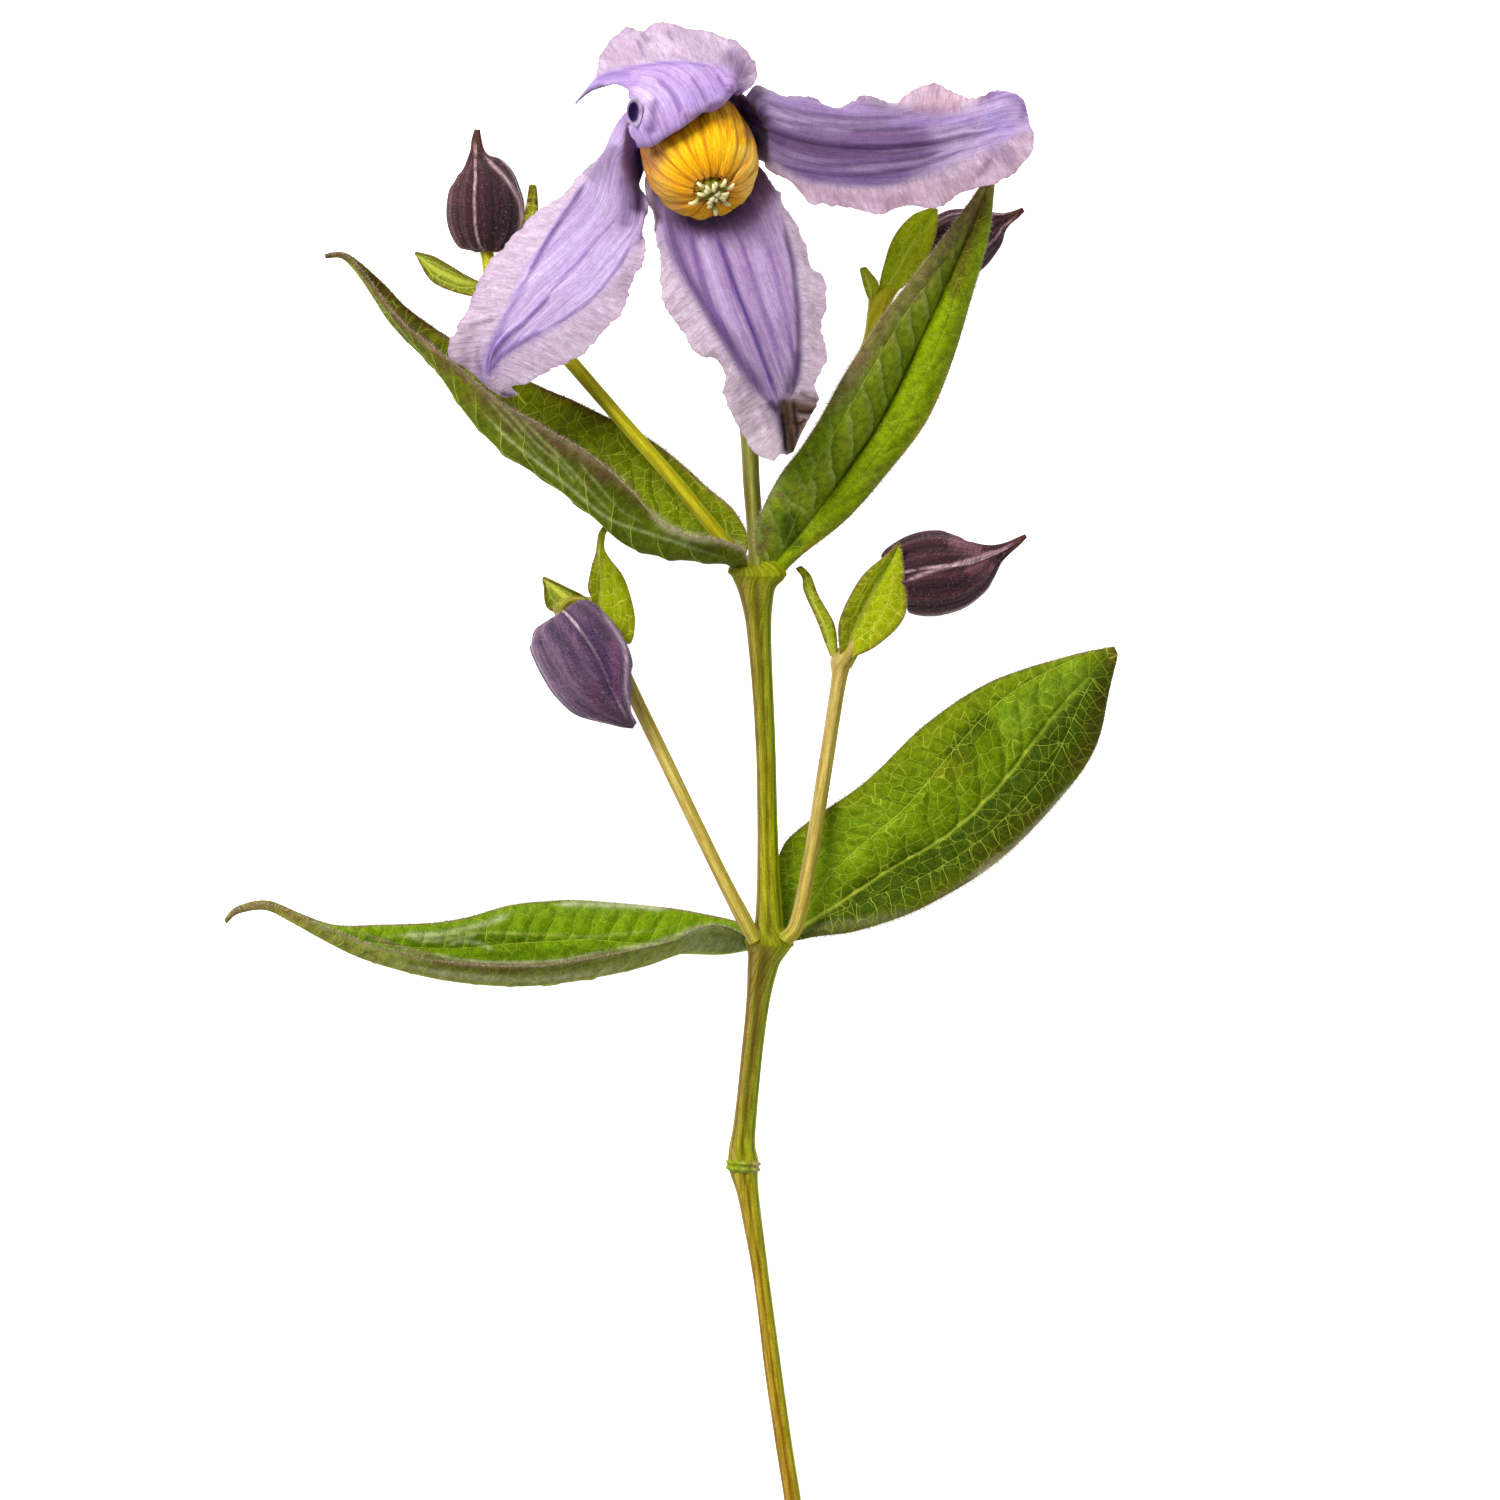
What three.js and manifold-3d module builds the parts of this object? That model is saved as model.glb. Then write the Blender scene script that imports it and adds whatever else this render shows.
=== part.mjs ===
// A cut sprig of clematis: one open, nodding flower with four sepals, four closed buds on side
// stalks, four stalkless leaves and a ribbed stem. It lies on a flat surface, flower towards +Y.
// Millimetres, +Z up. The origin is the middle of the sprig's footprint, on the surface.

import * as THREE from 'three';
import { mergeVertices } from 'three/addons/utils/BufferGeometryUtils.js';
import Module from 'manifold-3d';

const wasm = await Module();
wasm.setup();

// ---------------------------------------------------------------------------------------------
// Driving dimensions
// ---------------------------------------------------------------------------------------------

// Outlines are written as an eye sees them from straight above, projected onto the surface.
const EYE_X = 12.64;
const EYE_Y = 5.6;
const EYE_HEIGHT = 1200;

const GAP = 0.3; // between organs that grow on one another
const WELD = 1e-4; // points nearer than this are one
const SURFACE_SIZE = 400;
const SURFACE_DEPTH = 20;

const LEAF_THICKNESS = 0.7;
const SEPAL_THICKNESS = 0.7;
const BRACT_THICKNESS = 0.6;

const STEM_SIDES = 12;
const STALK_SIDES = 8;
const STEM_RIB = 0.06; // share of the radius by which ribs stand out and furrows sink
const SWELLING_SIDES = 12;
const SWELLING_RINGS = 7;
const RING_RADIUS = 2.75;
const RING_HALF_HEIGHT = 1.1;
const RING_LEAN = 0.075; // sideways, over half its height
const RING_TEETH = 9;
const TOOTH_LENGTH = 0.4; // at the most
const TOOTH_NOTCH = 0.11; // depth of the notches between the teeth

const BUD_SIDES = 24;
const BUD_RINGS = 11;
const BUD_SEAM = 0.3; // height of the four raised seams
const BUD_SEAM_WIDTH = 0.1; // as a share of a quarter turn
const BUD_RIB = 0.22; // height of the ribs between the seams
const BUD_RIBS = 3; // on each of its four sepals
const BUD_TIP_RADIUS = 0.3;

const LEAF_ROWS = 16;
const LEAF_COLUMNS = 8;
const LEAF_PUFF = 0.5; // how far the blade swells between its veins
const LEAF_CROSS_VEINS = 6;
const CROSS_VEIN_DEPTH = 0.45; // share of the swelling that dips at a cross vein
const SEPAL_ROWS = 16;
const SEPAL_COLUMNS = 12;
const SEPAL_RIB = 0.45; // height of the lengthwise ribs of the sepal's middle band
const SEPAL_FRILL = 0.7; // swing of the waved margins
const BRACT_ROWS = 6;
const BRACT_COLUMNS = 4;

const COLUMN_LENGTH = 22; // from the receptacle to the stamens' tips
const OUTER_STAMENS = 20;
const INNER_STAMENS = 10;
const STAMEN_WIDTH = 2.3;
const STAMEN_HEIGHT = 0.45;
const STAMEN_SINK = 1.1; // depth of its edges below the column's outline
const STRAP_VALLEY = 0.75; // depth of the valleys between the straps of the column
const ROW_DROP = 0.3; // how far every other strap lies further in
const INNER_INSET = 1.1; // how far the inner ring of stamens lies inside the outline
const CORE_RINGS = 7;
const CORE_TOP = 20.2;
const TIP_STATIONS = 2; // cross sections along a stamen's tip, after its first
const STYLES = 11;
const STYLE_RADIUS = 0.42;
const STYLE_SIDES = 4;
const STYLE_REACH = 2.7; // from the axis to the tips, at the least
const PLUG_RADIUS = 2;
const PLUG_SIDES = 10;
const PLUG_TAPER = 0.7;
const PLUG_FOOT = 20.8;
const PLUG_TOP = 22.6;

const colours = {
  stem: 0x7d8127,
  flowerStalk: 0x7a7420,
  stalk: 0xb9a24a,
  limeStalk: 0xb3b214,
  leaf: 0x5f8212,
  bract: 0x93a012,
  bud: 0x2e1a24,
  leftBud: 0x5a4560,
  sepal: 0xb9a3d6,
  stamens: 0xe6b31c,
  pistils: 0xe4dca8,
};

// ---------------------------------------------------------------------------------------------
// Places and curves
// ---------------------------------------------------------------------------------------------

// The point at height z that the eye sees over (x, y) of the surface.
function seen([x, y, z]) {
  const share = 1 - z / EYE_HEIGHT;
  return new THREE.Vector3(EYE_X + (x - EYE_X) * share, EYE_Y + (y - EYE_Y) * share, z);
}

function smoothCurve(points) {
  return new THREE.CatmullRomCurve3(points, false, 'catmullrom', 0.5);
}

// A straight-line table of [position, value] pairs, read at a position.
function table(pairs, position) {
  let k = 1;
  while (k < pairs.length - 1 && pairs[k][0] < position) {
    k += 1;
  }
  const [low, lowValue] = pairs[k - 1];
  const [high, highValue] = pairs[k];
  const share = THREE.MathUtils.clamp((position - low) / (high - low), 0, 1);
  return THREE.MathUtils.lerp(lowValue, highValue, share);
}

// Repeatable draws between 0 and 1.
function seededDraws(seed) {
  let state = seed;
  return () => {
    state = (state * 16807) % 2147483647;
    return state / 2147483647;
  };
}

// The flower's own frame: a receptacle that its axis leaves, nodding towards -Y and the eye.
const flowerBase = seen([2, 107.3, 23.5]);
const flowerAxis = new THREE.Vector3(0.21, -0.6, 0.77).normalize();
const flowerRight = new THREE.Vector3(1, 0, 0).addScaledVector(flowerAxis, -flowerAxis.x).normalize();
const flowerUp = new THREE.Vector3().crossVectors(flowerAxis, flowerRight);

// A place by angle round the flower's axis (degrees, 0 right, 90 up), distance from it, and height.
function onFlower(angle, radius, height) {
  const turn = THREE.MathUtils.degToRad(angle);
  return flowerBase
    .clone()
    .addScaledVector(flowerAxis, height)
    .addScaledVector(flowerRight, radius * Math.cos(turn))
    .addScaledVector(flowerUp, radius * Math.sin(turn));
}

// ---------------------------------------------------------------------------------------------
// Solids
// ---------------------------------------------------------------------------------------------

function bufferGeometry(positions, index) {
  const geometry = new THREE.BufferGeometry();
  geometry.setAttribute('position', new THREE.Float32BufferAttribute(positions, 3));
  geometry.setIndex(index);
  return geometry;
}

// The solid inside a closed geometry. Its faces are turned round if they point inwards.
function toSolid(source) {
  const bare = source.clone();
  bare.deleteAttribute('normal');
  bare.deleteAttribute('uv');
  const merged = mergeVertices(bare, WELD);
  const vertProperties = Float32Array.from(merged.attributes.position.array);
  const triVerts = [];
  for (let k = 0; k < merged.index.count; k += 3) {
    const [a, b, c] = [0, 1, 2].map((step) => merged.index.getX(k + step));
    if (a !== b && b !== c && c !== a) {
      triVerts.push(a, b, c);
    }
  }
  const corner = (k) => new THREE.Vector3().fromArray(vertProperties, 3 * triVerts[k]);
  let volume = 0;
  for (let k = 0; k < triVerts.length; k += 3) {
    volume += corner(k).dot(corner(k + 1).cross(corner(k + 2)));
  }
  if (volume < 0) {
    triVerts.reverse();
  }
  return new wasm.Manifold(
    new wasm.Mesh({ numProp: 3, vertProperties, triVerts: Uint32Array.from(triVerts) }),
  );
}

function toGeometry(solid) {
  const { vertProperties, triVerts } = solid.getMesh();
  const geometry = bufferGeometry(Array.from(vertProperties), Array.from(triVerts));
  geometry.computeVertexNormals();
  return geometry;
}

function fuse(solids) {
  return solids.reduce((whole, next) => whole.add(next));
}

// A solid less its neighbours, without the loose scraps that this can leave.
function clearOf(solid, neighbours) {
  const cut = neighbours.reduce((rest, neighbour) => rest.subtract(neighbour), solid);
  const pieces = cut.decompose();
  return pieces.reduce((largest, piece) => (piece.volume() > largest.volume() ? piece : largest));
}

// A closed body through a row of equal rings of points, with flat ends.
function skin(rings) {
  const count = rings[0].length;
  const positions = rings.flat().flatMap((point) => point.toArray());
  const index = [];
  for (let i = 0; i < rings.length - 1; i += 1) {
    for (let k = 0; k < count; k += 1) {
      const a = i * count + k;
      const b = i * count + ((k + 1) % count);
      index.push(a, b, b + count, a, b + count, a + count);
    }
  }
  [0, rings.length - 1].forEach((end) => {
    const centre = new THREE.Vector3();
    rings[end].forEach((point) => centre.addScaledVector(point, 1 / count));
    const hub = positions.length / 3;
    positions.push(...centre.toArray());
    for (let k = 0; k < count; k += 1) {
      const a = end * count + k;
      const b = end * count + ((k + 1) % count);
      index.push(...(end === 0 ? [hub, b, a] : [hub, a, b]));
    }
  });
  return toSolid(bufferGeometry(positions, index));
}

// Places along a curve, each with its tangent and two directions across that don't twist.
function framesAlong(curve, count) {
  const frames = [];
  let side = null;
  let before = null;
  for (let i = 0; i <= count; i += 1) {
    const tangent = curve.getTangent(i / count);
    if (side === null) {
      side = new THREE.Vector3().crossVectors(tangent, new THREE.Vector3(0, 0, 1)).normalize();
    } else {
      side.applyQuaternion(new THREE.Quaternion().setFromUnitVectors(before, tangent));
    }
    before = tangent;
    const across = side.clone();
    const up = new THREE.Vector3().crossVectors(across, tangent);
    frames.push({ centre: curve.getPoint(i / count), tangent, across, up });
  }
  return frames;
}

// A ring of points round a frame; radiusAt gives the radius at each turn from 0 to 1.
function ringRound({ centre, across, up }, sides, radiusAt) {
  return Array.from({ length: sides }, (_, k) => {
    const angle = (2 * Math.PI * k) / sides;
    const radius = radiusAt(k / sides, k);
    return centre
      .clone()
      .addScaledVector(across, radius * Math.cos(angle))
      .addScaledVector(up, radius * Math.sin(angle));
  });
}

// Frames along a curve whose two ends are moved outwards.
function lengthenedFrames(curve, count, reach) {
  const frames = framesAlong(curve, count);
  frames[0].centre.addScaledVector(frames[0].tangent, -reach);
  frames[count].centre.addScaledVector(frames[count].tangent, reach);
  return frames;
}

// A ribbed stem through points [x, y, z, radius] as the eye sees them.
function stemSolid(points, sides, grow = 0) {
  const curve = smoothCurve(points.map(seen));
  const rings = lengthenedFrames(curve, points.length - 1, grow).map((frame, i) => {
    const radius = points[i][3] + grow;
    return ringRound(frame, sides, (turn, k) => radius * (1 + (k % 2 === 0 ? STEM_RIB : -STEM_RIB)));
  });
  return skin(rings);
}

// An egg-shaped swelling with half axes along a turned X, the turned Y, and Z.
function swelling([x, y, z], halfAxes, turnDegrees, grow = 0) {
  const geometry = new THREE.SphereGeometry(1, SWELLING_SIDES, SWELLING_RINGS);
  geometry.scale(...halfAxes.map((half) => half + grow));
  geometry.rotateZ(THREE.MathUtils.degToRad(turnDegrees));
  const place = seen([x, y, z]);
  geometry.translate(place.x, place.y, place.z);
  return toSolid(geometry);
}

// A thin closed blade about a grid of points, split into triangles alike on both faces.
function bladeSolid(grid, thickness) {
  const rows = grid.length - 1;
  const columns = grid[0].length - 1;
  const positions = [];
  [1, -1].forEach((face) => {
    grid.forEach((line, i) => {
      line.forEach((point, j) => {
        const along = grid[Math.min(i + 1, rows)][j].clone().sub(grid[Math.max(i - 1, 0)][j]);
        const across = line[Math.min(j + 1, columns)].clone().sub(line[Math.max(j - 1, 0)]);
        const normal = across.cross(along).normalize();
        positions.push(...point.clone().addScaledVector(normal, (face * thickness) / 2).toArray());
      });
    });
  });
  const width = columns + 1;
  const under = (rows + 1) * width;
  const index = [];
  const quad = (a, b, c, d) => index.push(a, b, c, a, c, d);
  for (let i = 0; i < rows; i += 1) {
    for (let j = 0; j < columns; j += 1) {
      const a = i * width + j;
      quad(a, a + 1, a + 1 + width, a + width);
      quad(under + a, under + a + width, under + a + 1 + width, under + a + 1);
    }
  }
  for (let i = 0; i < rows; i += 1) {
    const left = i * width;
    const right = left + columns;
    quad(left, left + width, under + left + width, under + left);
    quad(right, under + right, under + right + width, right + width);
  }
  for (let j = 0; j < columns; j += 1) {
    const tip = rows * width + j;
    quad(j, under + j, under + j + 1, j + 1);
    quad(tip, tip + 1, under + tip + 1, under + tip);
  }
  return toSolid(bufferGeometry(positions, index));
}

// ---------------------------------------------------------------------------------------------
// Leaves and bracts: two half blades that meet at a midrib
// ---------------------------------------------------------------------------------------------

// A bulge that is highest halfway along.
const arched = (height) => (u) => height * Math.sin(Math.PI * u) ** 0.7;

// rails: left margin, midrib and right margin, from base to tip. bellies: how far the left and
// the right half bulge towards the upper face, at each share of the length.
function leafGrid({ rails, bellies, rows, columns, puff }) {
  const curves = rails.map((points) => smoothCurve(points.map(seen)));
  const grid = [];
  for (let i = 0; i <= rows; i += 1) {
    const u = i / rows;
    const [left, middle, right] = curves.map((curve) => curve.getPointAt(u));
    const along = curves[1].getTangentAt(u);
    const line = [];
    for (let j = 0; j <= columns; j += 1) {
      const v = (2 * j) / columns - 1;
      const share = Math.abs(v);
      const margin = v < 0 ? left : right;
      const chord = v < 0 ? middle.clone().sub(left) : right.clone().sub(middle);
      const normal = chord.clone().cross(along).normalize();
      const belly = bellies[v < 0 ? 0 : 1](u);
      const swell = puff * Math.sin(2 * Math.PI * share) ** 2 * Math.sin(Math.PI * u);
      const wave = Math.cos(2 * Math.PI * LEAF_CROSS_VEINS * u - 2 * share);
      const cross = 1 + CROSS_VEIN_DEPTH * (wave - 1);
      const lift = 4 * share * (1 - share) * belly + swell * cross;
      line.push(middle.clone().lerp(margin, share).addScaledVector(normal, lift));
    }
    grid.push(line);
  }
  return grid;
}

// The upper left leaf's near half hangs out below, most of all near its base.
const nearHalfBelly = [
  [0, 0], [0.08, -3], [0.2, -4.4], [0.35, -5], [0.5, -5], [0.6, -3.2], [0.7, -1.2], [0.8, -0.4], [1, 0],
];

const leafShapes = {
  leaf_upper_left: {
    rails: [
      [
        [12.4, 34.6, 19], [11.4, 37.6, 22.5], [8, 39.2, 25], [4, 39.6, 26.5], [0, 41, 27.5],
        [-3, 43, 28], [-6, 46.5, 28.6], [-10, 50.3, 29], [-15, 54.3, 29], [-20, 57, 28.6],
        [-28, 61.8, 27.6], [-35, 67.5, 26], [-42, 73.2, 24], [-46, 77.7, 22.6], [-50, 83, 21.2],
        [-52.6, 84.9, 20.4], [-55.4, 84.7, 19.6],
      ],
      [
        [10.6, 34.2, 17], [8, 36.3, 17.6], [4, 38, 18.4], [0, 39.4, 18.8], [-6, 41.8, 19],
        [-12, 45.6, 18.8], [-18, 50.1, 18.6], [-24, 54.4, 18.4], [-30, 59.3, 18.4],
        [-36, 65.6, 18.6], [-42, 72.2, 19], [-46.5, 77.8, 19.4], [-50, 82.8, 19.6],
        [-52.5, 84.6, 19.6], [-55.2, 84.4, 19.2],
      ],
      [
        [11.8, 36.2, 14.6], [12.4, 39.4, 13.4], [10, 44, 12.4], [6, 47.5, 11.6], [2, 51, 11.2],
        [-2, 54.3, 11], [-6.5, 57, 10.8], [-14, 60.8, 10.8], [-20, 63.4, 11.2], [-27, 66.6, 12.4],
        [-35.3, 71.4, 14.6], [-42, 76.2, 16.6], [-46, 80.2, 18], [-50, 83.8, 19],
        [-52.6, 85.2, 19.2], [-55.4, 85, 18.8],
      ],
    ],
    bellies: [(u) => table(nearHalfBelly, u), arched(-4.2)],
  },
  leaf_upper_right: {
    rails: [
      [
        [14.6, 34.6, 19], [13.6, 38, 20.4], [13.6, 41, 21.4], [15, 45, 22.6], [17.5, 49.5, 23.6],
        [22, 55.5, 24.6], [28, 66, 25.6], [34, 75, 26], [41, 84, 26], [46.5, 91.5, 25.6],
        [50.6, 97.4, 25],
      ],
      [
        [16, 34, 17.4], [17.4, 36.6, 17.6], [20, 39.4, 17.8], [27, 48.5, 18.4], [34, 59, 19.2],
        [40, 71.5, 20.4], [45.4, 83.5, 22], [49, 92, 23.4], [51.2, 97.6, 24.4],
      ],
      [
        [17, 32.9, 16.8], [20.5, 36.5, 17.6], [28, 42.5, 18.6], [35, 50.5, 19.4], [41, 58.5, 20],
        [45, 68, 20.6], [48, 78, 21.4], [50.8, 88, 22.6], [51.8, 97.4, 24],
      ],
    ],
    bellies: [arched(1.2), arched(2.2)],
  },
  leaf_lower_right: {
    rails: [
      [
        [17.8, -22.6, 8.4], [16.4, -17.5, 7], [17.6, -10.5, 6.8], [21.3, -6.4, 7.2],
        [31.3, 0.6, 9], [40.8, 9.8, 11], [51.1, 16.5, 12.4], [63.6, 20.6, 13], [70.9, 22.2, 12.8],
      ],
      [
        [18.8, -24, 8], [25, -20.4, 6.6], [34.9, -13.8, 5.6], [44.5, -7.9, 5.8],
        [52.6, -0.2, 6.8], [58.4, 7.5, 8.4], [64, 14.6, 10.4], [71.2, 21.6, 12.6],
      ],
      [
        [19.4, -25, 7.4], [23.2, -24.2, 7.2], [30.5, -23.1, 7.6], [40.8, -19.3, 7.8],
        [52.6, -11.9, 7.4], [62.9, -1.3, 7.4], [68, 6.4, 8.4], [70.1, 15.2, 10.6],
        [71.5, 20.9, 12.4],
      ],
    ],
    bellies: [arched(0.8), arched(1.8)],
  },
  leaf_lower_left: {
    rails: [
      [
        [12.6, -25, 9.6], [10.5, -23.4, 12.6], [7.5, -22.4, 14.6], [4, -23, 15.8],
        [0, -25, 16.4], [-8.7, -27, 17], [-16.6, -28.4, 17], [-25.6, -29.2, 16.6],
        [-34.6, -28.6, 15.2], [-42.5, -27, 13.2], [-48.5, -25.4, 11.8], [-53.9, -23.2, 10.6],
        [-59.9, -20.9, 9.8], [-64.7, -19.1, 9.8], [-69.4, -20, 9.6], [-71.4, -21.8, 9],
      ],
      [
        [13.2, -26.2, 8.6], [8, -27, 7.2], [0.3, -27, 6.6], [-5.7, -28.8, 6.2],
        [-13.6, -30.6, 6], [-22.6, -31.3, 6], [-31.6, -30.7, 6.2], [-40.7, -29.3, 6.6],
        [-48, -27.4, 7.2], [-54, -24.9, 8], [-60.3, -21.3, 8.8], [-64.7, -19.3, 9],
        [-69.2, -20.2, 9], [-71.2, -22, 8.6],
      ],
      [
        [12.4, -23.6, 8.2], [10.5, -21.9, 7], [6, -20.8, 6.6], [-1, -19.6, 6.6],
        [-13.6, -18.5, 7], [-19.6, -18.6, 7.2], [-25.6, -19.2, 7.4], [-32.8, -21.2, 7.6],
        [-38.8, -22.1, 7.8], [-46.7, -22.4, 8], [-53.9, -22.4, 8.2], [-59.6, -20.5, 8.6],
        [-64.7, -18.6, 8.8], [-69.3, -19.5, 8.8], [-71.4, -21.4, 8.4],
      ],
    ],
    bellies: [arched(-1.8), arched(0.9)],
  },
};

const bractBellies = [arched(0.5), arched(0.5)];

// Each bract: left margin, midrib and right margin, from its base to its tip.
const bractShapes = {
  bract_upper_left_outer: [
    [[-29.6, 79.7, 8.2], [-33, 81.6, 9], [-37.6, 84.4, 9.6], [-40.9, 85.3, 9.6]],
    [[-29.4, 80.2, 7.6], [-33.5, 80.5, 7.6], [-37.6, 82.2, 8.4], [-41, 85, 9.4]],
    [[-29.9, 79.1, 7.4], [-32, 78.2, 7], [-38, 80.4, 8], [-40.8, 84.7, 9.2]],
  ],
  bract_upper_left_inner: [
    [[-27.4, 81.4, 8.8], [-24.7, 87, 9.8], [-23.3, 92, 10.4], [-22.7, 96, 10.6]],
    [[-26.9, 81, 8.6], [-23.6, 86.5, 9.3], [-22.3, 91.5, 9.9], [-22.1, 96.1, 10.4]],
    [[-26.4, 80.6, 8.7], [-22.5, 86, 9.6], [-21.3, 91, 10.2], [-21.5, 95.9, 10.5]],
  ],
  bract_upper_right_outer: [
    [[33.2, 78.7, 8], [33.7, 82, 9.4], [35.4, 87.3, 10.8], [38.4, 91, 11.6], [42.1, 92.6, 11.8]],
    [[33.8, 78.5, 7.8], [35.6, 81, 8.2], [38.2, 85.6, 9], [40.4, 89.4, 10], [42.4, 92.3, 11.6]],
    [[34.4, 78.2, 7.8], [38.4, 80.6, 8.4], [41, 84.2, 9.2], [42.5, 88.6, 10.6], [42.7, 92, 11.8]],
  ],
  bract_upper_right_inner: [
    [[31.7, 77.5, 8.3], [31, 79.6, 8.9], [30.2, 82.6, 9.7]],
    [[32.3, 77.8, 8.1], [32, 80, 8.7], [30.7, 82.8, 9.6]],
    [[32.9, 78.1, 8.3], [33.1, 80.2, 8.9], [31.2, 82.9, 9.7]],
  ],
  bract_right_outer: [
    [[27, 20.9, 11.4], [27, 26.5, 13], [30.4, 33.2, 14.6], [34.6, 37, 15.6], [36.4, 38.9, 16]],
    [[28, 20.6, 10.6], [29.6, 25.5, 11], [32.6, 31.5, 12.6], [35.4, 36.4, 14.6], [36.6, 38.7, 15.8]],
    [[28.8, 20.2, 10.8], [33.4, 22.6, 12], [37.4, 27, 14], [37.4, 33.4, 15.6], [36.8, 38.6, 16]],
  ],
  bract_right_inner: [
    [[25.5, 20.6, 10.6], [23.3, 26.3, 11.8], [21.3, 31, 12.8], [21, 33.2, 12.9], [19.9, 34.6, 12.8]],
    [[26.1, 20.8, 10.3], [24.6, 26, 11.3], [22.4, 30.7, 12.5], [21.7, 33.3, 12.8], [20.4, 34.9, 12.7]],
    [[26.7, 21, 10.5], [26.1, 25.8, 11.6], [23.6, 30.4, 12.7], [22.4, 33.4, 12.9], [20.9, 35.1, 12.8]],
  ],
  bract_left_upper: [
    [[-12.5, 28.8, 7.4], [-14, 30.2, 8.4], [-16.6, 31.6, 9], [-20.4, 33.3, 9]],
    [[-12.9, 28.2, 6.8], [-15, 29, 7.4], [-17.4, 30.2, 8], [-20.5, 33, 8.8]],
    [[-13.3, 27.6, 6.8], [-16.4, 27.4, 7.2], [-19.8, 28.4, 7.8], [-20.4, 32.6, 8.8]],
  ],
  bract_left_inner: [
    [
      [-12.5, 29.4, 8.4], [-13.3, 31.6, 9], [-12.7, 35, 9.6], [-12, 37.3, 9.7],
      [-11.6, 40, 9.7], [-10.9, 41.4, 9.6],
    ],
    [
      [-11.4, 28.6, 7.6], [-11, 31.6, 8.2], [-11.2, 34.8, 9], [-11.3, 37.1, 9.5],
      [-11.1, 39.9, 9.6], [-10.4, 41.1, 9.5],
    ],
    [
      [-9.2, 24.6, 6.8], [-6.6, 22.6, 7.4], [-5.7, 26, 8.2], [-6.4, 30, 8.8], [-7.8, 33.6, 9.2],
      [-10.5, 36.9, 9.6], [-10.6, 39.8, 9.7], [-10, 40.8, 9.6],
    ],
  ],
};

// ---------------------------------------------------------------------------------------------
// Sepals: a ribbed middle band between thin waved margins
// ---------------------------------------------------------------------------------------------

// rails: left margin, left band edge, middle, right band edge and right margin. A point with
// three numbers in { flower } is an angle, a radius and a height on the flower's own axis.
function sepalGrid({ rails, ribs, ribDepth, frills, phase }) {
  const curves = rails.map((points) => {
    return smoothCurve(points.map((point) => (point.flower ? onFlower(...point.flower) : seen(point))));
  });
  const grid = [];
  for (let i = 0; i <= SEPAL_ROWS; i += 1) {
    const u = i / SEPAL_ROWS;
    const section = smoothCurve(curves.map((curve) => curve.getPointAt(u)));
    const along = curves[2].getTangentAt(u);
    const line = [];
    for (let j = 0; j <= SEPAL_COLUMNS; j += 1) {
      const v = (2 * j) / SEPAL_COLUMNS - 1;
      const point = section.getPoint(j / SEPAL_COLUMNS);
      const normal = section.getTangent(j / SEPAL_COLUMNS).cross(along).normalize();
      const open = THREE.MathUtils.smoothstep(u, 0.15, 0.35) * THREE.MathUtils.smoothstep(1 - u, 0, 0.2);
      const band = open * Math.max(0, 1 - (2 * Math.abs(v)) ** 4);
      const edge = open * v ** 4;
      const rib = ribDepth(u) * band * Math.cos(2 * Math.PI * ribs * v);
      const frill = SEPAL_FRILL * edge * Math.sin(2 * Math.PI * frills * u + phase * Math.sign(v));
      line.push(point.addScaledVector(normal, rib + frill));
    }
    grid.push(line);
  }
  return grid;
}

const at = (angle, radius, height) => ({ flower: [angle, radius, height] });

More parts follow.
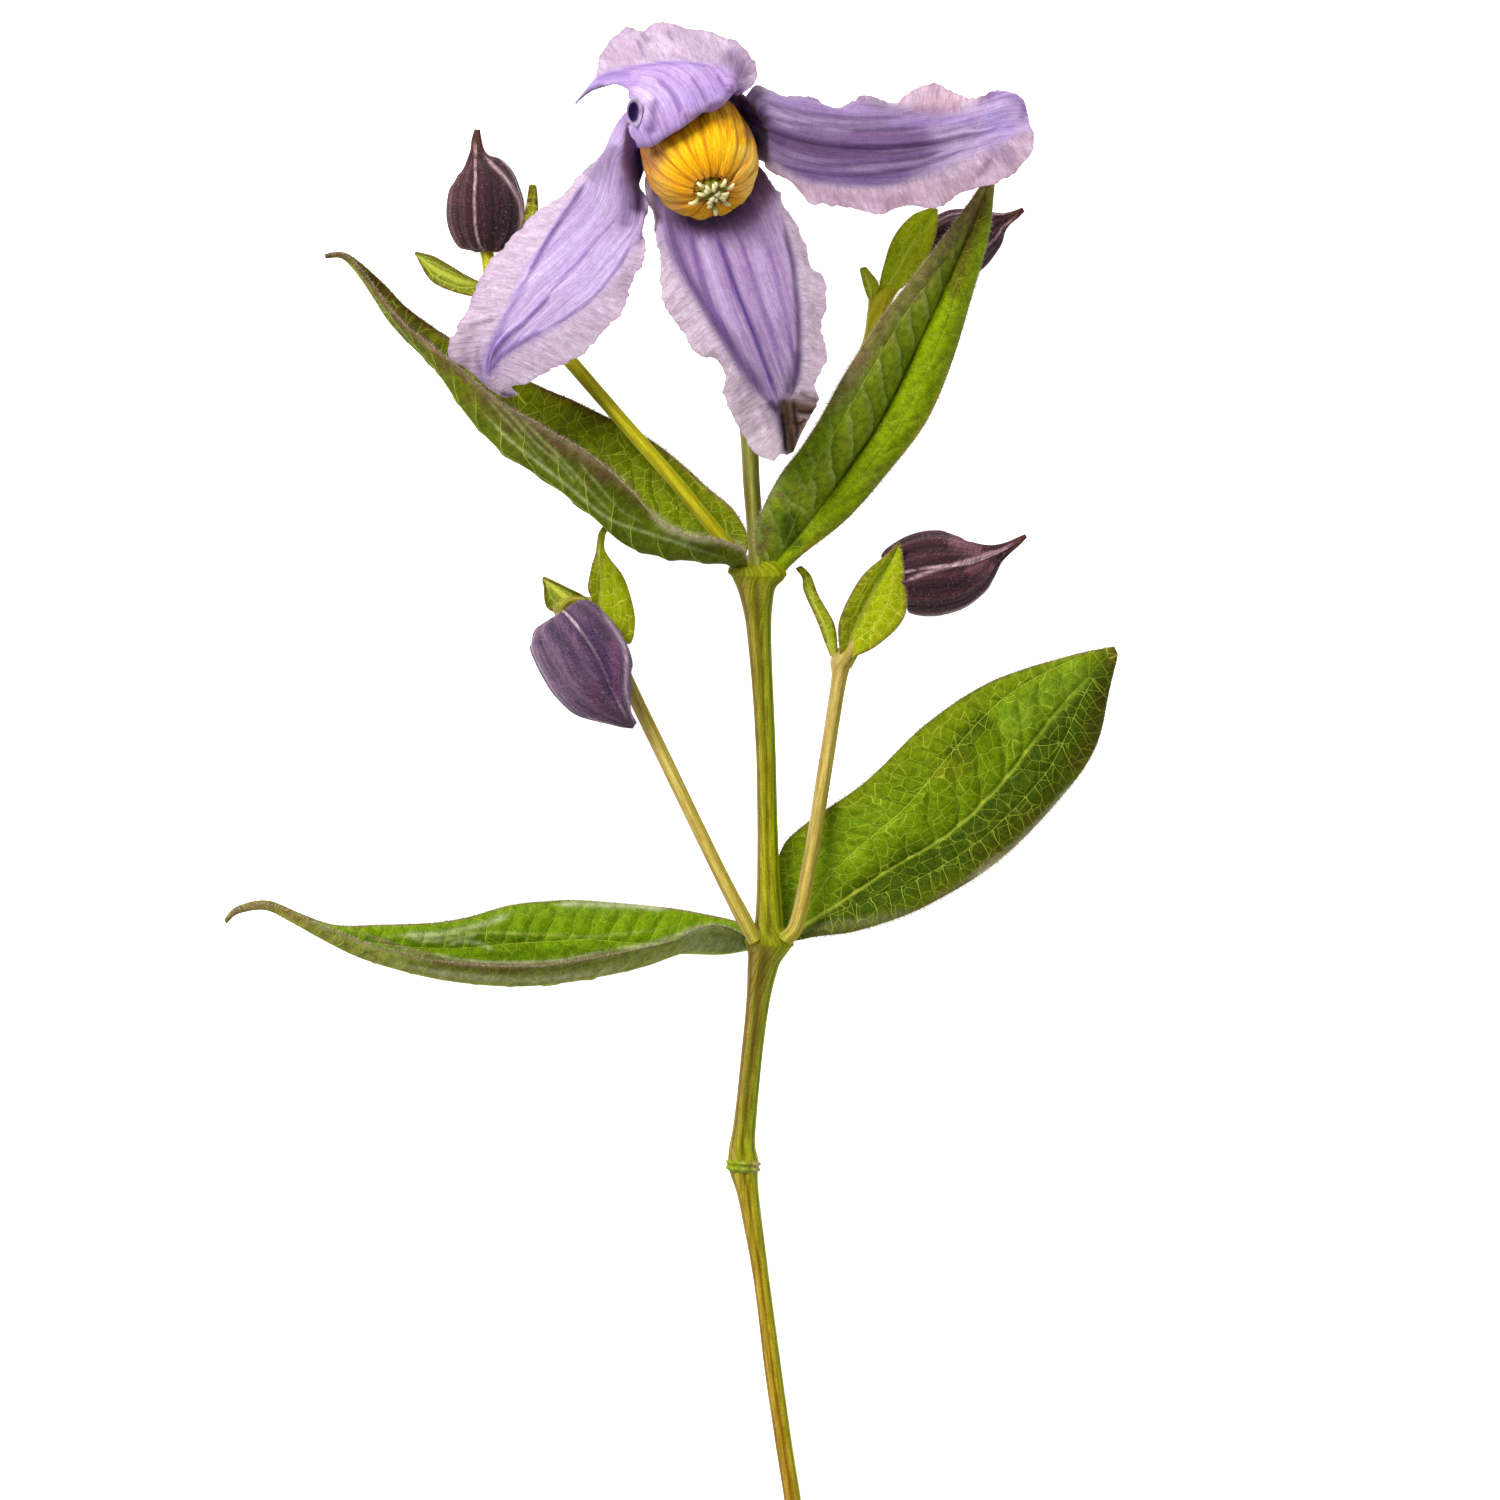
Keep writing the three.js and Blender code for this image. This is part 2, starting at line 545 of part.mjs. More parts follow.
const sepalShapes = {
  sepal_bottom: {
    rails: [
      [
        at(226, 3.4, 0.5), at(225, 7.6, 2.4), at(224, 10.3, 6), at(224, 11.1, 10),
        [-2.9, 91.5, 31.4], [-2.4, 86.5, 31.4], [-1.2, 79, 30.8], [0.6, 74, 30.4], [4.5, 69.6, 30],
        [7.8, 67.2, 29.8], [9.3, 61, 30], [11.2, 56.6, 30.4], [13.6, 53, 30.8], [16.4, 51.8, 31],
      ],
      [
        at(245, 3.4, 0.5), at(244, 7.6, 2.4), at(243, 10.3, 6), at(240, 11.1, 10.5),
        [-0.6, 88.5, 32.8], [1.5, 81.5, 33.2], [4.5, 76.5, 33.2], [8, 70.5, 33], [12, 65, 32.6],
        [15.2, 60.8, 32], [17, 56.5, 31.4], [17.6, 52.9, 31.2],
      ],
      [
        at(268, 3.4, 0.5), at(270, 7.6, 2.4), at(272, 10.4, 6), at(275, 11.3, 10.5),
        [6.6, 89, 31.8], [8.2, 85.4, 33.8], [9.8, 81, 34.6], [11.5, 76, 34.6], [13.5, 71, 34.2],
        [15.5, 66, 33.4], [17.3, 60.5, 32.2], [18.4, 56, 31.4], [18.5, 52.8, 31.2],
      ],
      [
        at(291, 3.4, 0.5), at(296, 7.6, 2.4), at(302, 10.3, 6), at(310, 11.2, 10.5),
        [15.8, 93.5, 32.4], [18.2, 87.5, 33.4], [19.9, 80.5, 33.6], [20.6, 73, 33.4],
        [20.5, 67, 32.8], [19.3, 62, 32], [19.6, 57, 31.4], [19, 53, 31.2],
      ],
      [
        at(310, 3.4, 0.5), at(318, 7.6, 2.4), at(326, 10.3, 6), at(335, 11.2, 10.5),
        [17, 95, 31.4], [19.6, 90, 31.4], [22.6, 83.6, 31], [24.2, 81, 30.8], [24.2, 75, 30.6],
        [24.8, 69, 30.6], [23.2, 64.6, 30.8], [23.6, 61.4, 31.2], [21, 56.6, 31.4],
        [19.6, 53.3, 31.2],
      ],
    ],
    ribs: 3,
    ribDepth: () => SEPAL_RIB,
    frills: 6,
    phase: 0.8,
  },
  sepal_right: {
    rails: [
      [
        at(-44, 3.4, 0.5), at(-38, 7.6, 2.4), at(-30, 10.3, 6), at(-20, 11.3, 10),
        [15.6, 98.7, 31.2], [18, 96.8, 31.6], [21, 94.6, 31.8], [24, 92.9, 32], [30, 92, 32.2],
        [34, 91.4, 32.4], [38, 92.5, 32.4], [42, 92.8, 32.2], [48.5, 95.2, 31.6],
        [54.5, 97.5, 30.8], [57.6, 101, 29.6], [58.1, 104.4, 29],
      ],
      [
        at(-25, 3.4, 0.5), at(-22, 7.6, 2.4), at(-16, 10.3, 6), at(-6, 11.3, 10),
        [16, 99.4, 32.4], [20, 97.4, 33.6], [26, 95.9, 34.4], [31, 95.8, 34.6], [36, 96.3, 34.8],
        [44, 98.6, 34.4], [50.5, 102.4, 33], [55, 104.4, 30.8], [57.8, 104.8, 29.2],
      ],
      [
        at(0, 3.4, 0.5), at(2, 7.6, 2.4), at(6, 10.3, 6), at(12, 11.3, 10),
        [16, 105.3, 34], [20, 103.6, 34.8], [25, 102.5, 35.2], [30, 102.2, 35.4],
        [36, 102.2, 35.4], [42, 102.9, 35], [48, 104.2, 34], [54, 105.8, 31.4], [57.4, 105.6, 29.2],
      ],
      [
        at(25, 3.4, 0.5), at(26, 7.6, 2.4), at(28, 10.3, 6), at(31, 11.3, 10),
        [14.6, 109.6, 33.8], [20, 109, 34.4], [30, 107, 34.8], [38, 107, 34.8], [46, 106.5, 34.8],
        [51, 107.6, 33.8], [55, 107.9, 31.4], [57.2, 106.2, 29.4],
      ],
      [
        at(44, 3.4, 0.5), at(45, 7.6, 2.4), at(46, 10.3, 6), at(46, 11.3, 9.5),
        [13.8, 111.7, 32.6], [20, 110.2, 33], [24, 109.3, 33], [28, 109, 33], [32, 109.9, 33],
        [36, 109.8, 33], [42.5, 112, 33.4], [48, 109.8, 33.8], [52.5, 111.2, 33.2],
        [56, 110, 31.2], [57.1, 107, 29.6],
      ],
    ],
    ribs: 3,
    ribDepth: () => SEPAL_RIB,
    frills: 7,
    phase: 0.4,
  },
  sepal_left: {
    rails: [
      [
        at(139, 3.4, 0.5), at(148, 7.6, 2.4), at(158, 10.3, 6), [-7.2, 107.6, 31.6],
        [-9.5, 104.5, 32.2], [-12, 100, 32.4], [-15, 96.7, 32.2], [-18.6, 94, 31.8],
        [-23.5, 89.5, 31], [-28.5, 84.6, 30], [-32, 77.5, 29], [-34.6, 72.4, 27.6],
        [-35.4, 69.2, 26.2], [-32.6, 66.1, 25], [-29.6, 63.8, 24.4], [-26.6, 62, 24],
      ],
      [
        at(157, 3.4, 0.5), at(160, 7.6, 2.4), at(166, 10.3, 6), at(170, 11.8, 9.5),
        [-10, 101.5, 33.6], [-13, 97, 33.8], [-16, 93, 33.6], [-19, 88, 33], [-22, 82.5, 32.2],
        [-25, 77, 31.2], [-28, 72, 29.6], [-29.8, 68, 27.8], [-29, 64.2, 25.6],
        [-26, 62.1, 24.4],
      ],
      [
        at(180, 3.4, 0.5), at(182, 7.6, 2.4), at(185, 10.3, 6), at(188, 11.5, 9.5),
        [-7.6, 95, 32.6], [-8.6, 90.6, 32.8], [-12, 86.5, 33], [-16, 82, 32.6], [-20, 78.5, 32],
        [-24, 74.5, 31], [-27, 71, 29.6], [-28.6, 67.4, 27.4], [-28, 63.8, 25.2],
        [-25.6, 62.2, 24.4],
      ],
      [
        at(203, 3.4, 0.5), at(203, 7.6, 2.4), at(204, 10.3, 6), at(204, 11.2, 9.5),
        [-4.4, 91.5, 31.4], [-6, 87, 32.2], [-9, 82, 32.4], [-12.5, 78.5, 32], [-17, 75, 31.4],
        [-21, 72.5, 30.6], [-25, 69.6, 29], [-27, 66.4, 26.8], [-26.8, 63.8, 25],
        [-25, 62.3, 24.4],
      ],
      [
        at(222, 3.4, 0.5), at(221, 7.6, 2.4), at(219, 10.3, 6), at(217, 11.1, 9),
        [-3.7, 92.6, 30.4], [-4.2, 87.5, 30.8], [-5, 83, 30.8], [-7.5, 77, 30.4],
        [-10.5, 72.5, 29.6], [-13.4, 69.6, 28.8], [-18.6, 66.6, 27.8], [-22.6, 64.6, 26.6],
        [-25.4, 63.8, 25.2], [-24.4, 62.5, 24.4],
      ],
    ],
    ribs: 2,
    ribDepth: () => SEPAL_RIB,
    frills: 6,
    phase: 1.2,
  },
  sepal_top: {
    rails: [
      [
        at(135, 3.4, 0.5), at(140, 7.6, 2.4), at(148, 10.6, 6), at(154, 11.5, 10),
        [-4.8, 103.1, 39.8], [-6.6, 104.6, 41], [-6, 107, 41.4], [-6, 110, 39.6],
        [-8, 111.9, 37.6], [-10, 112, 35.8], [-12.6, 111.2, 33.8], [-15, 109.4, 32.2],
      ],
      [
        at(116, 3.4, 0.5), at(121, 7.6, 2.4), at(130, 10.6, 6), at(139, 11.5, 10),
        [-2.6, 103, 42.2], [-3.6, 105.2, 43.6], [-3.4, 108.2, 43], [-4.4, 110.8, 40.6],
        [-7, 112.2, 38], [-10.4, 112.2, 35.4], [-13, 111.2, 33.6], [-15.1, 109.3, 32.2],
      ],
      [
        at(94, 3.4, 0.5), at(97, 7.6, 2.4), at(101, 10.6, 6), at(106, 11.7, 10.5),
        [2, 106, 44], [1.6, 107.8, 44.6], [0.4, 110.4, 43], [-2, 112.6, 39.8], [-5.6, 113.4, 37],
        [-9.6, 112.9, 34.8], [-12.8, 111.6, 33.2], [-15.2, 109.2, 32],
      ],
      [
        at(72, 3.4, 0.5), at(73, 7.6, 2.4), at(74, 10.6, 6), at(74, 11.8, 10),
        [7.2, 108.5, 40.8], [8.8, 111, 40.8], [7.6, 113.8, 38.6], [3.4, 115.2, 37], [-1, 115.4, 35.6],
        [-5, 114.9, 34.6], [-9, 113.8, 33.6], [-12.4, 112.1, 32.6], [-15.3, 109.1, 31.8],
      ],
      [
        at(53, 3.4, 0.5), at(54, 7.6, 2.4), at(55, 10.6, 6), at(56, 12, 9.5),
        [10.6, 110.8, 36.4], [13.4, 112.4, 36], [14.1, 114.2, 35.4], [12.8, 116.8, 34.6],
        [9.5, 118.7, 33.8], [5.4, 121, 33], [1, 121.2, 32.6], [-2, 121.6, 32.2],
        [-4.4, 120.6, 32], [-7.3, 121.4, 31.8], [-10, 118.4, 31.6], [-12.1, 113.6, 31.6],
        [-15.2, 109, 31.6],
      ],
    ],
    ribs: 2,
    ribDepth: (u) => SEPAL_RIB * (1 + 1.2 * Math.exp(-(((u - 0.42) / 0.12) ** 2))),
    frills: 5,
    phase: 0.2,
  },
};

// ---------------------------------------------------------------------------------------------
// Stems, stalks and buds
// ---------------------------------------------------------------------------------------------

// [x, y, z, radius] from the cut end to the upper node.
const stemPath = [
  [19.9, -118.4, 1.16, 1.25], [19.4, -114.1, 1.3, 1.25], [17.9, -104.6, 1.8, 1.25],
  [16.3, -93.5, 2.3, 1.28], [14.4, -78.8, 3, 1.2], [12.4, -66, 3.7, 1.6], [11.7, -62, 4, 2.1],
  [11.5, -60.2, 4.2, 2.3], [11.4, -58, 4.4, 2], [11.8, -54.3, 4.8, 1.7], [12.8, -44.5, 6.2, 1.6],
  [13.9, -34.7, 7.8, 1.75], [14.7, -29, 8.8, 2.3], [15.4, -25.4, 9.6, 2.7],
  [15.7, -21.6, 10.2, 2.1], [15.5, -10.4, 11.2, 1.6], [15.1, 7.2, 13.2, 1.5],
  [14.1, 24.3, 15.4, 1.8], [13.7, 31, 16.6, 2.6], [13.7, 34.4, 17, 2.8],
];
const nodeSwellings = [
  { place: [14, 33.8, 17], halfAxes: [4.6, 2.4, 3], turn: 4 },
  { place: [16.1, -25, 9.2], halfAxes: [3.8, 2.3, 2.8], turn: 14 },
];
const ringPlace = [11.5, -60.9, 4.15];

// The ring of torn leaf bases round the old bare node, longer at its teeth.
function toothedRing() {
  const [x, y, z] = ringPlace;
  const axis = smoothCurve([-1, 0, 1].map((step) => {
    return seen([x + RING_LEAN * step, y + RING_HALF_HEIGHT * step, z]);
  }));
  const draw = seededDraws(11);
  const teeth = Array.from({ length: 2 * RING_TEETH }, (_, k) => {
    return k % 2 === 0 ? TOOTH_LENGTH * draw() : -TOOTH_NOTCH;
  });
  const flare = [0.72, 0.98, 1.02, 0.7];
  const toothed = [0, 1, 1, 0];
  return skin(framesAlong(axis, flare.length - 1).map((frame, i) => {
    return ringRound(frame, teeth.length, (turn, k) => RING_RADIUS * flare[i] + toothed[i] * teeth[k]);
  }));
}

function mainStem(grow = 0) {
  const swellings = nodeSwellings.map(({ place, halfAxes, turn }) => swelling(place, halfAxes, turn, grow));
  const stem = stemSolid(stemPath, STEM_SIDES, grow);
  return fuse([stem, ...swellings, ...(grow === 0 ? [toothedRing()] : [])]);
}

const stalkPaths = {
  flower_stalk: [
    [13.9, 33.5, 18.4, 1.35], [13.6, 39.2, 18.6, 1.25], [12.9, 48, 19, 1.25], [12.4, 57, 19.4, 1.3],
    [11, 70, 19.6, 1.3], [8.2, 86, 19.4, 1.3], [5, 99, 18.6, 1.35], [2.6, 106.6, 18.8, 1.6],
    [1.7, 108.4, 21, 2.6],
  ],
  bud_stalk_upper_left: [
    [11, 36.8, 17.8, 1], [7.4, 40.4, 19, 1.05], [0, 49.3, 18, 1.05], [-8.5, 59, 15.8, 1.05],
    [-17, 68.8, 12.6, 1.1], [-23, 75.2, 10, 1.2], [-27.4, 79.6, 8, 1.6], [-28.4, 81.2, 7.4, 1.5],
    [-29.2, 84, 6.3, 1], [-29.6, 86, 5.9, 1],
  ],
  bud_stalk_upper_right: [
    [14.8, 33, 13.6, 1.1], [20, 43, 12.6, 1.1], [26.4, 57.5, 11.2, 1.1], [31.5, 69.6, 9.2, 1.15],
    [33, 75.4, 8, 1.5], [33.6, 77.6, 7.6, 1.7], [35.4, 79.8, 7, 1.2], [38.6, 82.6, 6, 1.05],
    [40.6, 84, 5.6, 1],
  ],
  bud_stalk_left: [
    [13.6, -25, 12, 1.1], [11.4, -21, 12.2, 1.15], [7, -12.4, 11, 1.05], [-1.6, 5.4, 8.4, 1.05],
    [-6.8, 16.2, 6.4, 1.05], [-11, 25.4, 5.4, 1.3], [-12.2, 28, 5.6, 1.5], [-13.8, 29, 7, 1.2],
    [-16.6, 29, 9.6, 1], [-18, 27.8, 12, 1],
  ],
  bud_stalk_right: [
    [18, -25, 11.6, 1.15], [20.2, -22, 11.4, 1.15], [22.4, -11.4, 11, 1.1], [24.6, 2.4, 10.6, 1.1],
    [26.8, 16.4, 10.2, 1.15], [27.3, 19.6, 10, 1.7], [28.6, 21.6, 9.8, 1.5], [31.6, 26.8, 9.6, 1],
    [34.4, 31.4, 9.8, 1],
  ],
};

// A bud's axis with its radius at each place, from its scalloped base to its beak.
const budPaths = {
  bud_upper_left: {
    path: [
      [-29.5, 85.3, 5.7, 1.6], [-29.5, 85.9, 5.7, 3.4], [-29.6, 87.2, 5.7, 4.8],
      [-29.7, 89.6, 5.7, 5.8], [-29.7, 92, 5.7, 6.05], [-29.8, 94.4, 5.7, 5.75],
      [-29.9, 96.6, 5.7, 4.95], [-30.3, 98.6, 5.8, 3.7], [-30.8, 100.2, 5.9, 1.9],
      [-31, 101.6, 6, 1.05], [-31.1, 103.2, 6.1, 0.75], [-31, 104.9, 6.2, 0.4],
    ],
    seamTurn: 0.21,
  },
  bud_upper_right: {
    path: [
      [40.6, 84, 5.15, 1.6], [41.2, 84.4, 5.15, 3.2], [42.6, 85.3, 5.15, 4.6],
      [44.6, 86.2, 5.15, 5.3], [46.8, 87, 5.15, 5.4], [49, 88, 5.2, 4.6], [50.8, 88.9, 5.4, 3.4],
      [52.4, 89.9, 5.6, 1.9], [53.6, 90.5, 5.8, 1.1], [55, 91.2, 6, 0.7], [56.4, 92.1, 6.2, 0.35],
    ],
    seamTurn: 0.1,
  },
  bud_right: {
    path: [
      [34.7, 32.2, 10, 1.8], [35.3, 32.5, 10, 3.8], [36.6, 33, 10, 5.3], [39.2, 33.5, 10, 6.35],
      [42.2, 33.9, 10, 6.65], [45.2, 34.2, 10, 6.1], [48, 34.9, 10, 4.75], [50, 35.8, 10.1, 3.2],
      [52, 36.9, 10.3, 1.6], [53.8, 37.9, 10.5, 0.9], [55.4, 38.9, 10.7, 0.6], [56.8, 39.9, 10.9, 0.3],
    ],
    seamTurn: 0.23,
  },
  bud_left: {
    path: [
      [-18.6, 27, 13, 2], [-18.3, 26.5, 13, 4.4], [-17.6, 25.6, 13.1, 5.9], [-15.9, 23.2, 13.2, 6.7],
      [-14.2, 20.6, 13.3, 6.95], [-12.7, 17.8, 13.4, 6.75], [-11.4, 15.4, 13.4, 5.9],
      [-9.9, 13.4, 13.4, 4.4], [-8.6, 11.8, 13.4, 2.7], [-7.4, 10.6, 13.4, 1.5],
      [-5.8, 9.5, 13.4, 0.5],
    ],
    seamTurn: 0.2,
  },
};

function budSolid({ path, seamTurn }, grow = 0) {
  const curve = smoothCurve(path.map(seen));
  const radii = smoothCurve(path.map(([, , , radius]) => new THREE.Vector3(radius, 0, 0)));
  const rings = lengthenedFrames(curve, BUD_RINGS, grow).map((frame, i) => {
    const share = i / BUD_RINGS;
    const radius = Math.max(radii.getPoint(share).x, BUD_TIP_RADIUS);
    const relief = Math.min(1, radius / 3); // the slender beak has next to none
    const scallop = 1 + 2 * Math.exp(-share * 12); // the ribs bulge at the base
    return ringRound(frame, BUD_SIDES, (turn) => {
      const quarter = (((turn + seamTurn) * 4) % 1) - 0.5;
      const seam = BUD_SEAM * Math.exp(-(((Math.abs(quarter) - 0.5) / BUD_SEAM_WIDTH) ** 2));
      const rib = BUD_RIB * scallop * Math.cos(2 * Math.PI * BUD_RIBS * quarter);
      return radius + relief * (seam + rib) + grow;
    });
  });
  return skin(rings);
}

// ---------------------------------------------------------------------------------------------
// The column of stamens and the tuft of styles in its mouth
// ---------------------------------------------------------------------------------------------

const columnProfile = [
  [0.4, 2.2], [2.2, 5.3], [5, 7.3], [9, 8.15], [13, 8.35], [16, 8.2], [19, 7], [21, 5.2], [22.2, 3.4],
];

// Turns a shape about the +Y axis into the flower's frame, with height along the flower's axis.
function placeOnFlower(geometry) {
  const basis = new THREE.Matrix4().makeBasis(flowerRight, flowerAxis, flowerUp.clone().negate());
  return geometry.applyMatrix4(basis.setPosition(flowerBase));
}

// The column below its mouth: straps side by side, every other one a little further in.
function columnCore() {
  const [foot] = columnProfile[0];
  const perStrap = 3; // one side in the valley and two on the strap
  const sides = perStrap * OUTER_STAMENS;
  const rings = Array.from({ length: CORE_RINGS + 1 }, (_, i) => {
    const height = THREE.MathUtils.lerp(foot, CORE_TOP, i / CORE_RINGS);
    const outline = table(columnProfile, height);
    const relief = Math.min(1, outline / 6);
    return Array.from({ length: sides }, (_, k) => {
      const strap = Math.floor(k / perStrap);
      const lift = k % perStrap === 0 ? -STRAP_VALLEY : STAMEN_HEIGHT - ROW_DROP * (strap % 2);
      return onFlower((360 * (k - perStrap / 2)) / sides, outline + relief * lift, height);
    });
  });
  return skin(rings);
}

// The end of a strap, in the column's mouth, with its edges sunk into what it lies on. It is widest
// in its middle, and never wider than its share of the ring.
function stamenTip(angle, start, end, inset) {
  const rings = [];
  for (let i = 0; i <= TIP_STATIONS; i += 1) {
    const share = i / TIP_STATIONS;
    const height = THREE.MathUtils.lerp(start, end, share);
    const radius = table(columnProfile, height) - inset - (1 - share) ** 2;
    const taper = 0.45 + 0.55 * Math.sin(Math.PI * Math.min(1, 0.25 + 0.9 * share)) ** 0.6;
    const room = 1.6 * radius * Math.sin(Math.PI / OUTER_STAMENS);
    const reach = Math.min(0.5 * STAMEN_WIDTH * taper, room);
    const side = THREE.MathUtils.radToDeg(reach / radius);
    rings.push([
      onFlower(angle - side, radius - STAMEN_SINK, height),
      onFlower(angle - 0.5 * side, radius + STAMEN_HEIGHT, height),
      onFlower(angle + 0.5 * side, radius + STAMEN_HEIGHT, height),
      onFlower(angle + side, radius - STAMEN_SINK, height),
    ]);
  }
  return skin(rings);
}

function stamenColumn() {
  const draw = seededDraws(5);
  const straps = [];
  for (let k = 0; k < OUTER_STAMENS; k += 1) {
    const angle = (360 * (k + 0.2 * (draw() - 0.5))) / OUTER_STAMENS;
    straps.push(stamenTip(angle, CORE_TOP - 0.8, COLUMN_LENGTH - 1.2 * draw(), ROW_DROP * (k % 2)));
  }
  for (let k = 0; k < INNER_STAMENS; k += 1) {
    const angle = (360 * (k + 0.5 + 0.3 * (draw() - 0.5))) / INNER_STAMENS;
    straps.push(stamenTip(angle, CORE_TOP - 0.6, COLUMN_LENGTH - 0.4 * draw(), INNER_INSET));
  }
  return fuse([columnCore(), ...straps]);
}

// The green plug in the column's mouth, narrower at its top.
function plug(grow = 0) {
  const height = PLUG_TOP - PLUG_FOOT + 2 * grow;
  const top = PLUG_TAPER * PLUG_RADIUS + grow;
  const geometry = new THREE.CylinderGeometry(top, PLUG_RADIUS + grow, height, PLUG_SIDES);
  geometry.translate(0, (PLUG_TOP + PLUG_FOOT) / 2, 0);
  return toSolid(placeOnFlower(geometry));
}

// The plug with styles that curl outwards from it.
function styleTuft() {
  const draw = seededDraws(23);
  const styles = Array.from({ length: STYLES }, (_, k) => {
    const angle = (360 * (k + 0.4 * draw())) / STYLES;
    const reach = STYLE_REACH + 0.8 * draw();
    const curve = smoothCurve([
      onFlower(angle, 0.9, 21.4),
      onFlower(angle, 1.5, 22.8),
      onFlower(angle + 8 * draw(), 0.75 * reach, 23.7),
      onFlower(angle + 12 * draw(), reach, 23.9),
    ]);
    const swell = [0.9, 1.1, 1.1, 0.7];
    return skin(framesAlong(curve, swell.length - 1).map((frame, i) => {
      return ringRound(frame, STYLE_SIDES, () => STYLE_RADIUS * swell[i]);
    }));
  });
  return fuse([plug(), ...styles]);
}

// ---------------------------------------------------------------------------------------------
// Assembly
// ---------------------------------------------------------------------------------------------

const sprig = new THREE.Group();

function addOrgan(name, solid, color, roughness) {
  const material = new THREE.MeshStandardMaterial({ color, roughness, metalness: 0 });
  const mesh = new THREE.Mesh(toGeometry(solid), material);
  mesh.name = name;
  sprig.add(mesh);
}

// The surface below the sprig, which trims what rests on it to a small flat.
const surface = new THREE.BoxGeometry(SURFACE_SIZE, SURFACE_SIZE, SURFACE_DEPTH);
const surfaceSolid = toSolid(surface.translate(0, 0, -SURFACE_DEPTH / 2));

const grownStem = mainStem(GAP);
addOrgan('stem', mainStem().subtract(surfaceSolid), colours.stem, 0.6);

const grownBuds = {};
Object.entries(budPaths).forEach(([name, shape]) => {
  grownBuds[name] = budSolid(shape, GAP);
  const colour = name === 'bud_left' ? colours.leftBud : colours.bud;
  addOrgan(name, budSolid(shape).subtract(surfaceSolid), colour, 0.55);
});

const grownStalks = [];
Object.entries(stalkPaths).forEach(([name, path]) => {
  const bud = grownBuds[name.replace('bud_stalk', 'bud')];
  const neighbours = bud ? [grownStem, bud] : [grownStem];
  const colour = {
    flower_stalk: colours.flowerStalk,
    bud_stalk_upper_left: colours.limeStalk,
    bud_stalk_upper_right: colours.limeStalk,
  }[name] ?? colours.stalk;
  grownStalks.push(stemSolid(path, STALK_SIDES, GAP));
  addOrgan(name, clearOf(stemSolid(path, STALK_SIDES), neighbours), colour, 0.6);
});

Object.entries(leafShapes).forEach(([name, shape]) => {
  const grid = leafGrid({ ...shape, rows: LEAF_ROWS, columns: LEAF_COLUMNS, puff: LEAF_PUFF });
  const blade = bladeSolid(grid, LEAF_THICKNESS);
  addOrgan(name, clearOf(blade, [grownStem, ...grownStalks]), colours.leaf, 0.5);
});

Object.entries(bractShapes).forEach(([name, rails]) => {
  const grid = leafGrid({ rails, bellies: bractBellies, rows: BRACT_ROWS, columns: BRACT_COLUMNS, puff: 0 });
  const blade = bladeSolid(grid, BRACT_THICKNESS);
  addOrgan(name, clearOf(blade, [...grownStalks, ...Object.values(grownBuds)]), colours.bract, 0.5);
});

Object.entries(sepalShapes).forEach(([name, shape]) => {
  const blade = bladeSolid(sepalGrid(shape), SEPAL_THICKNESS);
  addOrgan(name, clearOf(blade, [grownStalks[0]]), colours.sepal, 0.6);
});

addOrgan('stamens', clearOf(stamenColumn(), [plug(GAP), grownStalks[0]]), colours.stamens, 0.6);
addOrgan('pistils', styleTuft(), colours.pistils, 0.6);

export default sprig;
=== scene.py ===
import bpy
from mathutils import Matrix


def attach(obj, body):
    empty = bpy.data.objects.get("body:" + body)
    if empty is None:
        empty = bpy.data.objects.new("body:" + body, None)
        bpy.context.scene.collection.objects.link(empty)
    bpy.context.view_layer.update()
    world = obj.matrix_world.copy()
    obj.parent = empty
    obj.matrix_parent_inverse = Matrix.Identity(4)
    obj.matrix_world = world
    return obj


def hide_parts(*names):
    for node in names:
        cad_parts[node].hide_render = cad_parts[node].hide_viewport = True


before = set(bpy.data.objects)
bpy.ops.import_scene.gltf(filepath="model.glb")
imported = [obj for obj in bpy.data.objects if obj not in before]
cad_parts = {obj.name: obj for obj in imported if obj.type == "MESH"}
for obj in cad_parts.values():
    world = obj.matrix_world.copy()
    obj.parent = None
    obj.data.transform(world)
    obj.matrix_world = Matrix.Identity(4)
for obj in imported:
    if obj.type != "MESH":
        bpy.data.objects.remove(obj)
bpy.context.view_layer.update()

"""Looks of a cut clematis sprig that lies on a pale surface, seen from straight above.

Every organ is rebuilt on the same rails as its solid, with a finer surface, its veins, seams, frills
and hairs, and a finish of its own. Lengths are in millimetres until a mesh is made.
"""

import logging
import math
from dataclasses import dataclass, field
from enum import Enum
from typing import Callable, Sequence

import bpy
import numpy as np
from mathutils import Matrix, Vector

log = logging.getLogger("clematis")

MM = 0.001
EYE = np.array((12.64, 5.6))
EYE_HEIGHT = 1200.0
FIELD = 240.0  # what the eye sees across, on the surface
BODY = "root"

Array = np.ndarray
Point = Sequence[float]
Piece = bpy.types.Object
Tree = bpy.types.NodeTree
Node = bpy.types.Node
Socket = bpy.types.NodeSocket


# ---- Places, curves and soft noise ----


def seen(points: Sequence[Point]) -> Array:
    """Places in space, from rows of x and y that the eye sees over the surface, and height."""
    rows = np.asarray(points, float)[..., :3].copy()
    share = 1 - rows[..., 2:3] / EYE_HEIGHT
    rows[..., :2] = EYE + (rows[..., :2] - EYE) * share
    return rows


def as_seen(points: Array) -> Array:
    """Where the eye sees places in space, over the surface."""
    return EYE + (points[..., :2] - EYE) / (1 - points[..., 2:3] / EYE_HEIGHT)


def unit(vectors: Array) -> Array:
    """Vectors at length one."""
    return vectors / np.maximum(np.linalg.norm(vectors, axis=-1, keepdims=True), 1e-12)


